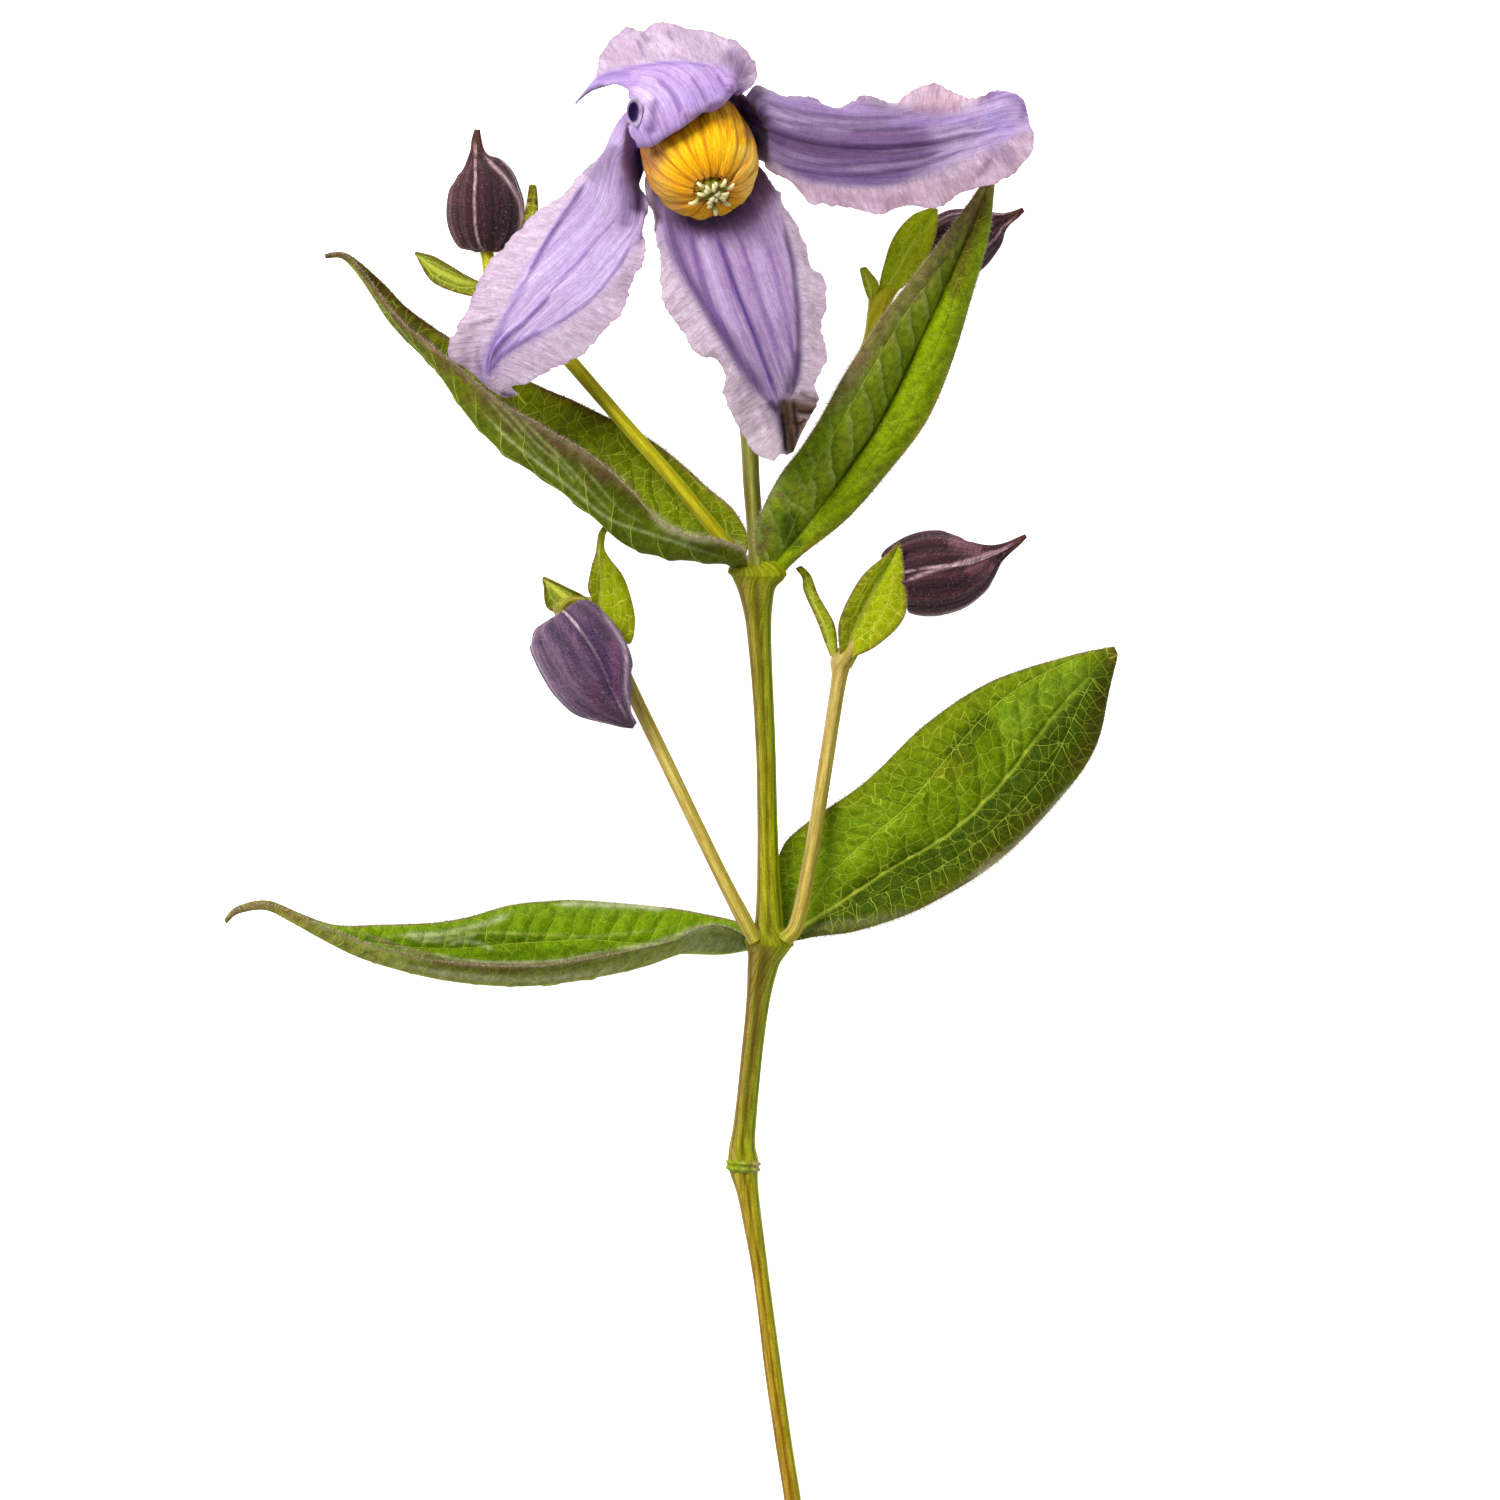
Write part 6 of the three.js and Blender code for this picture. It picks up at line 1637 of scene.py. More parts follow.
def all_sepals() -> list[Sepal]:
    """The four sepals of the open flower."""
    bottom = Sepal(
        "sepal_bottom", SepalColours("7a5088", "9a70a2", "74587a", margin="f2eeee"),
        places("""
            16.6 96, 17.4 92, 18.3 89, 19.2 86, 19.9 83, 20.3 79, 20.6 75, 20.7 71, 20.5 67, 19.9 64,
            19 61.8, 18.2 59.6, 17.8 57
        """),
        places("""
            -3 94, -2.2 90, -1.4 87.6, -.2 84.6, 1.4 81.6, 3.4 78.4, 5.4 75.3, 7.6 72, 9.6 68.8, 11.9 65.4,
            14.2 62.4, 16.3 60, 17.2 57
        """),
        strokes("""
            5f4676 .8 .8 .3: -1 92, -.2 88.4, .8 85.2, 2.6 81.6, 5 77.6, 7.4 73.8, 9.8 69.8, 12 66.2,
              14.6 62.8, 16.8 60;
            77579a .45 .7 .22: 2.8 90, 3.4 86.5, 4.4 82.6, 5.8 78.6, 7.4 74.8, 9.4 71;
            56378a .42 .95 .45: 6.6 89.8, 7.6 87, 8.9 83.4, 10.2 79.6, 11.8 75.8, 13.3 72, 14.7 68, 16 64.4,
              17.2 61;
            8a68aa .35 .65 .2: 9.6 90, 11 87, 12.2 83.4, 13.4 79.8, 14.6 76, 16 72, 17.2 68, 18 64;
            8a6aac .35 .6 .2: 13 91, 15 87, 16.2 83, 17.2 79, 18.2 75, 19 71, 19.4 67;
            54405f .45 .8 .25: 17.6 91.4, 18.6 87, 19.4 83, 20 78, 20.3 73, 20.2 68, 19.6 64, 18.6 61
        """),
        strokes("""
            5c3f80 2.2 .55: -2 91, 4 89, 10 90.5, 15 93;
            d6c6e6 .9 .6: 4.8 89, 5.8 85, 7.4 80, 9.4 75, 11.4 71;
            cdb6dc .8 .5: 9.4 87, 10.8 82, 12.4 77, 14 72.6;
            cdb9e2 .8 .5: 12.8 88, 14.2 83, 15.6 78, 17 73;
            514258 1 .6: 6 76, 9 71.4, 12 67, 15 63;
            463650 .9 .6: 20.2 70, 19.6 65.6, 18.4 62;
            33243c .8 .85: 15.4 61.6, 17 60.2, 18.6 61.6;
            a59aa2 1.6 .55: 9.6 66, 11 62, 12.4 58, 14 55;
            8d8090 .8 .5: 11 66, 13 62.4, 15 59.6, 16 56.4;
            4a3826 1.7 1: 18.2 62.4, 18.6 59, 19.2 56, 19.6 52;
            6a5440 1.6 1: 18.6 61, 20.8 60.4, 22.8 60, 25 60.4;
            6a5440 1.3 1: 19 58.4, 20.6 57.6, 22.4 57;
            1f160c .5 1: 17.6 60.2, 17.9 58, 18.2 56, 18.3 54.4, 18.6 52.8;
            2e2014 .4 .9: 19.6 61.6, 19.8 59, 20.2 57, 20 55;
            a08c74 .4 .8: 20.8 59, 21.6 57.4, 21 55.6;
            2f2114 .35 .9: 20 60, 21.6 59.6, 23.2 60;
            2f2114 .3 .9: 19.4 58, 20.4 57.8, 21.8 58.6;
            5f5048 .6 .6: 20.4 63, 22 62, 23.6 61.6
        """),
        6, 0.8, seed=3,
    )
    right = Sepal(
        "sepal_right", SepalColours("4a245a", "643670", "e4cef0", margin="e6dadd", vein="aa98a4"),
        places("""
            10 111.6, 12.5 111.4, 16 110.6, 22 109.7, 28 109, 32 109.2, 36 109, 39 108, 43 107.4, 47 107.6,
            50 109.6, 54 111.6, 58 112
        """),
        places("""
            12 101, 13.6 100.6, 16 99.6, 18 98.4, 21 97.3, 24 96.6, 28 96, 32 95.9, 36 96.4, 40 97.4,
            44 98.8, 47 100.2, 50 101.6, 54 103.4, 59 106
        """),
        strokes("""
            4a2a5e .4 .6 .5: 12 107.2, 14 106, 17 104.7, 20 103.7, 24 102.8, 28 102.4, 33 102.3, 38 102.6,
              42 103, 46 103.9, 50 104.6, 52 105.2;
            583a70 .34 .45 .3: 12 108.4, 16 107, 20 106.1, 25 105.6, 30 105, 36 105.2, 41 105.4;
            6f5088 .32 .6 .22: 14 110, 18 108.6, 22 107.6, 27 107, 32 106.8, 38 107;
            5b4078 .36 .45 .3: 14.2 103.6, 17 101.6, 21 100, 26 99.5, 31 99.8, 36 100.1, 41 101, 45 102.2;
            553c72 .36 .5 .3: 15 101.5, 19 99.2, 23 98.2, 28 97.9, 33 98.2, 38 98.9, 43 100.3, 47 101.8
        """),
        # the near-black 38194a stroke at the foot is a painted shadow of the column
        strokes("""
            56305e 2.8 .65: 15 103.6, 24 101.6, 34 101.4, 44 102.6;
            38194a 1.4 .85: 10.5 109.5, 12 106.6, 13 103.6, 13.6 101.4;
            432a5c 1.6 .6: 13.6 108.6, 16 105, 18 101.6;
            a68cc0 1 .6: 14 110.6, 20 109.2, 26 108.2, 34 107.8;
            a890c4 1 .6: 34 106, 40 106.2, 46 106.4, 50 106.4;
            8a6a9c .9 .5: 28 103.8, 36 103.8, 42 104.4;
            6d5290 1.3 .55: 18 98.8, 24 97.2, 32 96.8, 40 98.2;
            e0c8d0 1.4 .6: 40 109.2, 43 109.8, 46 108.8;
            b48fa8 .8 .5: 38 108.6, 42 108, 47 108.6;
            9d84bc 1.1 .6: 50 110, 53 110.4, 56 109.4;
            7a64a0 .6 .5: 55.6 110, 56.6 108, 55.8 106.4;
            c6b8ea 1.8 .6: 49 107, 52 106, 55 104.6;
            bfaed0 1.4 .6: 50 103, 53 101, 55.6 100;
            8a7a98 .7 .6: 48.6 97, 50 98.6, 51.2 100.4;
            cdb4c4 1.1 .45: 22 95.6, 28 94.4, 34 93.6, 40 94.6
        """),
        7, 0.4, seed=7,
    )
    left = Sepal(
        "sepal_left", SepalColours("b090c4", "e0ceec", "ccb0dc", margin="f4eef4", vein="bcb0bc"),
        places("""
            -6 86, -6.8 85.4, -8.6 82.4, -10.4 80, -13 77.4, -16 75, -19 73, -22 71.4, -25 69.6, -27.6 67.6,
            -29.6 65, -30.4 62
        """),
        places("""
            -10.5 105, -11.5 101, -13.2 97, -15.4 94, -17.6 91, -19.4 88, -21 85.6, -22.8 83, -24.4 80,
            -25.6 77, -27 74, -28.8 70.6, -30.4 67, -31 62
        """),
        strokes("""
            7a5c9e .42 .85 .35: -13.4 97, -15.6 93.6, -17.8 90.4, -19.8 87.2, -21.6 84, -23.4 80.6;
            9a82bc .6 .6 .2: -22.8 82, -24.6 78.4, -26.4 75, -28.4 71, -29.6 67.6;
            a58cc6 .3 .5 .15: -8.4 91, -10 89.6, -12.6 86.8, -15 83.8, -17.6 81, -20 78.2;
            7a58a4 .34 .75 .4: -19 79.2, -21 76.8, -22.6 75.2, -24 73.8, -26 72.2, -28 70, -29 67.6;
            9d8abf .35 .65 .2: -6.2 87.4, -8.2 83.6, -10.4 80.6, -13 77.8, -16.4 75.2, -20 73;
            8672ae .5 .7 .2: -20 73, -24 71, -27.4 68.6, -29.4 66
        """),
        # the near-black 3a1f44 stroke beside the column is painted shade
        strokes("""
            3a1f44 1.3 .95: -5.2 103, -5 98, -5.2 94, -5.6 90.6;
            6f5488 1.2 .6: -7 98, -7 93, -7.6 88.6;
            a090ac 1.5 .7: -9.6 103.4, -11 99.6, -13.4 96.4;
            d9cbec 2.2 .6: -10 97, -13 91, -17 85, -20 80;
            dccff0 2 .6: -8.4 87, -12 82, -16 78;
            ddd8e2 2 .6: -7 82, -10 77, -15 72, -20 69;
            9a82c0 1.5 .5: -26 73, -28.4 69, -29.4 65;
            b09fa8 1.4 .5: -31.6 74, -33 70, -32.4 66.6;
            7d6c80 .4 .5: -28 74.6, -30.4 74, -32.6 73.4;
            84708c .5 .5: -31 70.6, -31 68, -30.4 66;
            5a4c78 .6 .8: -27.4 62.8, -26 62.4, -24.6 62.2
        """),
        6, 1.2, seed=13,
    )
    top = Sepal(
        "sepal_top", SepalColours("ac8ac0", "c2a8d6", "b89ed0", margin="e0d6e2", vein="b8a9bc"),
        places("""
            -16 108, -14 111, -12 112.8, -10 113.8, -7 114.6, -4 115.2, 0 115.6, 4 115.4, 8 114.8, 10 113.4,
            11.4 111
        """),
        ((-16, 106), (-13, 107), (-9, 106), (-6, 103), (-2, 101), (4, 101), (12, 103)),
        # the 7b6090 groove is pressed in and painted as shadow between the rolled margin and the first lobe
        strokes("""
            8e6aac .5 .6 .35: -2.4 113, -.8 111.8, .4 110.4, 1.2 108.8, 1.8 107;
            8e6aac .5 .6 .35: 3.2 113.2, 4.4 111.8, 5.2 110.4, 6 109;
            8e6aac .45 .5 .3: 7.4 113.4, 8.4 112, 9.2 110.4;
            7b6090 .8 .75 .35: -2.4 110, -2.8 107.8, -3 105.6, -3.2 103.8;
            a38ac4 .3 .7 .15: -12.6 112.8, -9 114, -5 114.9, 0 115.5, 5 115.2, 9 114;
            9178ba .5 .6 .2: -12.4 112.6, -9.6 113.4, -6 113.8
        """),
        # the two a07a98 strokes are painted shade along the lower edges of the lobes
        strokes("""
            c4a4dc .9 .6: .6 107, 0 105.2, -1 103.8;
            c0a8e4 1.2 .6: 1.6 111, 3.2 109.4, 4.4 108.4;
            b79ade 1 .6: 5.4 112, 7 110.6, 8 109.6;
            a07a98 .6 .6: 1.6 107.2, 3.4 107, 5 107.6;
            a07a98 .6 .5: 5.8 108.6, 7.4 108.8, 8.6 109.6;
            d8d0ea 1.6 .6: -6 112, -3 110.6, -1.4 108;
            dfd2e8 1.6 .6: -3.6 112, -4 109, -4 106;
            a383b0 1.7 .65: 8.6 117.6, 10.6 115.4, 12 113;
            a390b4 .4 .6: -5.4 119.4, -4.8 117.8, -4.2 116.2;
            94849c .5 .6: -4.8 120.4, -4.2 119.6, -3.2 118.8;
            94849c .4 .5: -.6 121, -.2 120, .4 119;
            8d7aa0 .7 .6: -11.4 112.4, -13 111.4, -14.8 109.6;
            6a5c70 .3 .7: -10.4 112, -12.4 111.2, -14.2 110, -15 109.2
        """),
        5, 0.2, ((1.8, 107), (5.8, 109), (9.2, 110.6)), crumple=0.3, seed=19,
    )
    return [bottom, right, left, top]


@dataclass(frozen=True)
class CurledMargin:
    """A small roll in the top sepal's margin, open towards the eye, with its hollow painted dark as shade."""

    place: Point = (-6.0, 107.7)
    half_axes: Point = (1.05, 2.0)
    lean: float = 0.3
    rise: float = 0.9
    turns: int = 64

    def build(self, carrier: Sepal) -> Piece:
        """Builds the roll on the sepal that carries it."""
        plane = as_seen(carrier.grid)
        near = np.linalg.norm(plane - np.asarray(self.place), axis=-1) < 1.0
        height = carrier.grid[near][:, 2].max() + self.rise
        base = seen([(*self.place, height)])[0]
        axis = unit(np.array((self.lean, -0.1, 1.0)))
        right = unit(np.cross((0, 1.0, 0), axis))
        profile = np.array(places("""
            -1.3 .5, -.9 .85, -.3 .98, .25 1.12, .5 1.22, .62 1.15, .55 1, .3 .88, -.1 .78, -.5 .66, -.75 .35,
            -.8 .1
        """))
        sweep = lathe(base, right, axis, profile)
        turn = np.arange(self.turns) / self.turns
        angle = 2 * np.pi * turn
        oval = 1 / np.hypot(np.cos(angle) / self.half_axes[0], np.sin(angle) / self.half_axes[1])
        wave = 1 + 0.1 * soft_noise(turn * 7, 0 * turn, 5)
        radius = profile[:, 1:] * (oval * wave)[None, :]
        inside = smoothstep(sweep.share, 0.6, 0.78)[:, None] * np.ones_like(radius)
        streak = smoothstep(soft_noise(turn * 22, 0 * turn, 9), 0, 0.5)[None, :]
        colour = tint(flood(radius.shape, "d9cfe0"), "a893b8", 0.5 * streak)
        # the inside of the roll is painted dark: painted shade in its hollow
        colour = tint(colour, "3f2c66", inside)
        layers = {"tint": colour, "edge": 0.6 * (1 - inside)}
        return settle(sweep.skin("sepal_top_roll", radius, turn, layers, 9.0), SEPAL)


# ---- Stem and stalks ----


@dataclass(frozen=True)
class Swelling:
    """A node's swelling: an egg with half axes across, along and up, and a turn in degrees."""

    place: Point
    half_axes: Point
    turn: float

    def radius(self, sweep: Sweep, turn: Array) -> Array:
        """How far the swelling reaches out of the path, for each ring and turn; 0 beyond its ends."""
        centre = seen([self.place])[0]
        offset = np.einsum("ij,ij->i", sweep.centre - centre, sweep.tangent)
        above = np.clip(1 - (offset / (1.5 * self.half_axes[1])) ** 2, 0, 1)
        below = np.clip(1 + offset / (2.7 * self.half_axes[1]), 0, 1) ** 1.3
        cap = np.where(offset < 0, below, above)[:, None]
        angle = 2 * np.pi * turn[None, :]
        out = sweep.across[:, None] * np.cos(angle)[..., None] + sweep.up[:, None] * np.sin(angle)[..., None]
        lean = math.radians(self.turn)
        side = out @ np.array((math.cos(lean), math.sin(lean), 0))
        rise = out[..., 2]
        return cap / np.sqrt((side / self.half_axes[0]) ** 2 + (rise / self.half_axes[2]) ** 2)


@dataclass(frozen=True)
class RindColours:
    """Colours along a stem, each after its share of the length, and of its furrows and lit ribs."""

    along: str
    furrow: str = "4a3a1e"
    furrow_strength: float = 0.55
    rib: str = "b9bb4c"
    node: str = "939a12"
    left: str = "a08a6a"
    left_strength: float = 0.0
    right: str = "a7c21c"
    right_strength: float = 0.0

    def paint(self, share: Array, valley: Array, side: Array, swell: Array) -> Array:
        """Paints a stem.

        Args:
            share: share of the length.
            valley: 1 in a furrow and 0 on a rib.
            side: -1 at its left edge to 1 at its right edge, as it is seen.
            swell: 1 on a swelling and 0 elsewhere.

        Returns:
            The colours.
        """
        stops = [band.split() for band in self.along.split(",")]
        shares, dyes = [float(stop[0]) for stop in stops], np.array([dye(stop[1]) for stop in stops])
        base = np.stack([np.interp(share, shares, dyes[:, k]) for k in range(3)], -1)
        base = tint(base, self.rib, 0.35 * (1 - swell) * smoothstep(1 - valley, 0.5, 1))
        base = tint(base, self.left, self.left_strength * smoothstep(-side, 0.25, 0.85))
        base = tint(base, self.right, self.right_strength * smoothstep(side, 0.3, 0.8))
        base = tint(base, self.node, 0.75 * swell)
        furrow = self.furrow_strength * (1 - 0.8 * swell) * smoothstep(valley, 0.6, 0.98)
        return tint(base, self.furrow, furrow)


@dataclass
class Rind:
    """A ribbed stem or stalk along a path, with swollen nodes."""

    name: str
    path: Sequence[Point]
    colours: RindColours
    finish: Finish
    ribs: int
    swellings: tuple[Swelling, ...] = ()
    rings: int = 240
    sides: int = 48
    rib_depth: float = 0.06
    replaces: tuple[str, ...] = ()

    def build(self) -> Piece:
        """Builds the stem."""
        sweep = Sweep.along(self.path, self.rings)
        turn = np.arange(self.sides) / self.sides
        wave = np.cos(2 * np.pi * self.ribs * turn)[None, :]
        valley = (1 - wave) / 2
        sharp = 1 - 2 * valley**1.6
        radius = sweep.radius[:, None] * (1 + self.rib_depth * sharp)
        radius = radius * (1 + 0.02 * soft_noise(sweep.reach[:, None] / 4, turn[None, :] * 5, 5))
        swell = np.zeros_like(radius)
        for swelling in self.swellings:
            bulge = swelling.radius(sweep, turn)
            swell = np.maximum(swell, smoothstep(bulge / radius, 0.75, 1.25))
            radius = (radius**6 + bulge**6) ** (1 / 6)
        grid = sweep.surface(radius, turn)
        out = unit(grid - sweep.centre[:, None])
        share = sweep.share[:, None] * np.ones_like(radius)
        colour = self.colours.paint(share, valley, out[..., 0], swell)
        thing = sweep.skin(self.name + "_rind", radius, turn, {"tint": colour})
        return settle(thing, self.finish, self.replaces)


@dataclass(frozen=True)
class TornRing:
    """The ring of torn leaf bases round the old bare node."""

    place: Point = (11.5, -60.9, 4.15)
    radius: float = 2.75
    teeth: int = 9
    columns: int = 144
    seed: int = 11

    def build(self) -> Piece:
        """Builds the ring: a thick collar whose lips rise to teeth above and below."""
        x, y, z = self.place
        path = [(x - 0.09, y - 1.25, z, 1), (x, y, z, 1), (x + 0.09, y + 1.25, z, 1)]
        rows = 17
        sweep = Sweep.along(path, rows)
        turn = np.arange(self.columns) / self.columns
        wander = 1.3 * soft_noise(turn * 6, 0 * turn, self.seed)
        tooth = 0.5 + 0.5 * np.cos(2 * np.pi * self.teeth * turn + wander)
        tooth = tooth**2 * (0.6 + 0.5 * soft_noise(turn * 14, 0 * turn + 3, self.seed))
        shares = (0, 0.14, 0.3, 0.5, 0.7, 0.86, 1)
        flare = np.interp(sweep.share, shares, (0.66, 0.84, 0.97, 0.9, 0.98, 0.84, 0.64))[:, None]
        lip = np.interp(sweep.share, shares, (0, 0.3, 1, 0.15, 1, 0.3, 0))[:, None]
        radius = self.radius * flare + 0.42 * lip * tooth
        dry = smoothstep(soft_noise(turn * 5, 0 * turn, 4), 0.0, 0.5)[None, :]
        colour = tint(flood(radius.shape, "93a81a"), "c9a58a", 0.55 * dry)
        colour = tint(colour, "d5e23a", 0.5 * lip * tooth)
        colour = tint(colour, "5a5a18", 0.45 * (1 - lip))
        return settle(sweep.skin("stem_torn_ring", radius, turn, {"tint": colour}), STEM)


def all_stems() -> list[Rind]:
    """The stem and the five stalks."""
    stem = RindColours(
        """
        0 b0741c, .06 b88c1c, .2 b39a20, .3 a9a31c, .38 a0a414, .45 84801c, .55 7a7024, .62 7a7024,
        .66 8a9414, .7 a9ac0c, .74 94960c, .82 868420, .9 868420, .95 8a9010, 1 9aa008
        """,
        "5a3c20", 0.5, "b0aa30", left="a8845c", left_strength=0.45, right="a9c61a", right_strength=0.55,
    )
    tan = RindColours(
        "0 a3a018, .12 b4a448, .5 b8a45c, .78 a89a50, .88 a3a02c, 1 9aa020",
        "8f8430", 0.35, "d0be70", left="b3988a", left_strength=0.4, right="a7a63a", right_strength=0.4,
    )
    lime = RindColours(
        "0 a0a00c, .2 aca810, .7 b8b418, 1 a3a418",
        "7f7c0c", 0.35, "d0cc3c", left="c2c46a", left_strength=0.3, right="7f8f1a", right_strength=0.3,
    )
    olive = RindColours(
        "0 7f8a34, .2 7d8038, .8 8a8c3a, 1 8f7fa0", "4a3a24", 0.45, "a5a85c", left="a08a70", left_strength=0.3
    )
    looks = {
        "flower_stalk": olive, "bud_stalk_upper_left": lime, "bud_stalk_upper_right": lime,
        "bud_stalk_left": tan, "bud_stalk_right": tan,
    }
    swellings = (Swelling((14, 33.8, 17), (4.6, 2.4, 3), 4), Swelling((16.1, -25, 9.2), (3.8, 2.3, 2.8), 14))
    stems = [Rind("stem", STEM_PATH, stem, STEM, 6, swellings, rings=420, sides=60, replaces=("stem",))]
    for name, colours in looks.items():
        stems.append(Rind(name, STALK_PATHS[name], colours, STALK, 4, rings=150, sides=32, replaces=(name,)))
    return stems


# ---- Buds ----


@dataclass(frozen=True)
class BudColours:
    """Colours of a bud: body, ribs, furrows, seams, flush on one side, and beak."""

    body: str = "3a1c2c"
    rib: str = "5c3448"
    furrow: str = "1c0c16"
    seam: str = "c9a9b4"
    flush: str = "6b3a2e"
    flush_strength: float = 0.0
    beak: str = "5a3424"


@dataclass
class Bud:
    """A closed bud: four sepals that meet at pale raised seams, with ribs between and a drawn-out beak."""

    name: str
    seam_turn: float
    colours: BudColours
    finish: Finish
    seed: int
    hair: Hairs
    strokes: tuple[Stroke, ...] = ()
    felt: float = 7.0
    rings: int = 150
    sides: int = 240

    def build(self, groves: Groves) -> Piece:
        """Builds the bud and its felt."""
        sweep = Sweep.along(BUD_PATHS[self.name], self.rings)
        turn = np.arange(self.sides) / self.sides
        quarter = ((turn + self.seam_turn) * 4) % 1 - 0.5
        width = np.maximum(sweep.radius, 0.3)[:, None]
        away = (0.5 - np.abs(quarter))[None, :] / 4 * 2 * np.pi * width
        relief = np.minimum(1, width / 3)
        share = sweep.share[:, None]
        seam = np.exp(-((away / 0.3) ** 2))
        groove = np.exp(-((away / 0.07) ** 2))
        rib = np.cos(6 * np.pi * quarter)[None, :]
        wave = 0.14 * rib * (1 + 3 * np.exp(-share * 12))
        ripple = soft_noise(turn[None, :] * 34, sweep.reach[:, None] / 4, self.seed)
        fine = 0.05 * np.cos(18 * np.pi * quarter)[None, :] + 0.05 * ripple
        radius = width + relief * (0.3 * seam - 0.16 * groove + wave + fine)
        thing = sweep.skin(self.name + "_skin", radius, turn, self.paint(sweep, radius, turn, seam, rib))
        settle(thing, self.finish, [self.name])
        overpaint(thing, self.strokes)
        self.hair.felt(groves, self.name + "_felt", thing, self.felt)
        return thing

    def paint(self, sweep: Sweep, radius: Array, turn: Array, seam: Array, rib: Array) -> dict[str, Array]:
        """Paints the bud.

        Args:
            sweep: its frames.
            radius: its radius at each place.
            turn: the turns of its points.
            seam: 1 on a seam.
            rib: 1 on a rib to -1 in a furrow.

        Returns:
            The values for the mesh.
        """
        c, shape, share = self.colours, radius.shape, sweep.share[:, None]
        out = unit(sweep.surface(radius, turn) - sweep.centre[:, None])
        reach, around = sweep.reach[:, None], turn[None, :] * 2 * np.pi * radius
        streak = soft_noise(turn[None, :] * 46, reach / 5, self.seed + 2)
        blotch = soft_noise(around / 1.6, reach / 2.2, self.seed + 3)
        colour = tint(flood(shape, c.body), c.rib, 0.5 * smoothstep(rib + 0.9 * streak, -0.1, 1.2))
        colour = tint(colour, c.furrow, 0.6 * smoothstep(-rib - 0.7 * streak, 0.1, 1.2))
        flush = c.flush_strength * smoothstep(-out[..., 0], 0.2, 0.8) * smoothstep(blotch, -0.6, 0.4)
        colour = tint(colour, c.flush, flush)
        colour = tint(colour, c.beak, 0.8 * smoothstep(share, 0.72, 0.92))
        line = smoothstep(seam, 0.35, 0.8) * smoothstep(blotch, -0.9, -0.1)
        colour = tint(colour, c.seam, 0.85 * line * (1 - smoothstep(share, 0.78, 0.95)))
        felt = (0.25 + 0.75 * smoothstep(seam, 0.3, 0.9)) * (1 - smoothstep(share, 0.75, 0.95))
        return {"tint": colour, "felt": felt}


UPPER_LEFT_BUD_STROKES = strokes("""
    c8a8b0 .3 .85: -24.2 88, -23.9 91, -24.6 94, -26.4 97, -28.8 99.5, -30 101;
    1e0c12 1.6 .6: -27.6 87, -27 91, -28 95
""")
# the a8707c and 96606e strokes are painted highlights on the felt
RIGHT_BUD_STROKES = strokes("""
    a8707c 1 .5: 44 39.4, 47 38.4, 50 37.2;
    96606e 1.2 .45: 47 34.4, 49.4 34.6, 51.6 35.8;
    d0b0b8 .3 .7: 37 32.4, 41 34, 45 35.2, 49 36.4, 53 37.8
""")
# the 8a4a7c stroke is a painted highlight beside the second seam
LEFT_BUD_STROKES = strokes("""
    34123e 2.2 .85: -13.6 26.4, -11.6 21.6, -9.6 17, -8 13.6;
    8a4a7c .9 .7: -9.6 24, -8.8 20, -8.6 16, -7.8 12.6;
    6e5264 2 .6: -20.4 23, -18 18.4, -14 13.8;
    6e3c58 1.4 .6: -14 17, -11.4 13, -8.4 10.8;
    dcc0d6 .34 .95: -11.5 28.4, -7.6 22.4, -7.2 18.2, -7.2 15, -5.8 9.5
""")


def all_buds() -> list[Bud]:
    """The four buds."""
    pale = Hairs(0.42, 0.022, 0.2, 0.9, "b99aa6", BUD_HAIR, 21)
    violet = Hairs(0.42, 0.022, 0.2, 0.9, "b5a3c4", BUD_HAIR, 27)
    brown = BudColours("2c1218", "46222a", "160a0e", "c3a4a4", "5a3028", 0.45, "5a3420")
    dark = BudColours("2e1018", "5a303e", "180810", "c8acb4", "4a1c2c", 0.3, "5a3420")
    grey = BudColours("543a56", "80607c", "2a1a2c", "d0b8c4", "6a5470", 0.35, "4a3038")
    return [
        Bud("bud_upper_left", 0.21, brown, DARK_BUD, 61, pale, UPPER_LEFT_BUD_STROKES),
        Bud("bud_upper_right", 0.1, dark, DARK_BUD, 67, pale),
        Bud("bud_right", 0.23, dark, DARK_BUD, 71, pale, RIGHT_BUD_STROKES),
        Bud("bud_left", 0.2, grey, VIOLET_BUD, 73, violet, LEFT_BUD_STROKES),
    ]


# ---- The column of stamens and the tuft of styles ----

COLUMN = SmoothCurve(places("""
    .4 2.2, 2.2 5.3, 5 7.3, 9 8.15, 13 8.35, 16 8.15, 18.8 7.1, 20.6 5.5, 21.7 4, 22.2 2.9, 22.3 2
"""))


def column_outline(share: Array, inset: float) -> Array:
    """Rows of height and radius along the column's outline, a little inside it."""
    rows = COLUMN.along(share)
    ahead = COLUMN.tangent(COLUMN.share(share))
    return rows - inset * np.stack([-ahead[:, 1], ahead[:, 0]], -1)


def stand_on_flower(thing: Piece) -> None:
    """Turns a piece made about +Z into the flower's frame."""
    turn = Matrix((*zip(FLOWER.right, FLOWER.up, FLOWER.axis),))
    thing.data.transform(Matrix.Translation(Vector(FLOWER.base * MM)) @ turn.to_4x4())
    thing.data.update()


def ring_of(template: Piece, groves: Groves, name: str, values: dict[str, object]) -> Piece:
    """Stands one shape round the flower's axis, many times, and removes the single one."""
    start = new_piece(name + "_start", bpy.data.meshes.new(name + "_start"))
    ring = run_tree(start, groves.rings, {"Shape": template, **values}, name)
    bpy.data.objects.remove(template)
    stand_on_flower(ring)
    return ring


@dataclass(frozen=True)
class StrapRow:
    """A ring of stamens: how many, how far inside the column's outline, and where they start and end."""

    name: str
    number: int
    inset: float
    start: float
    end: float
    width: float
    first_turn: float
    colour: str
    tip: str
    seed: int
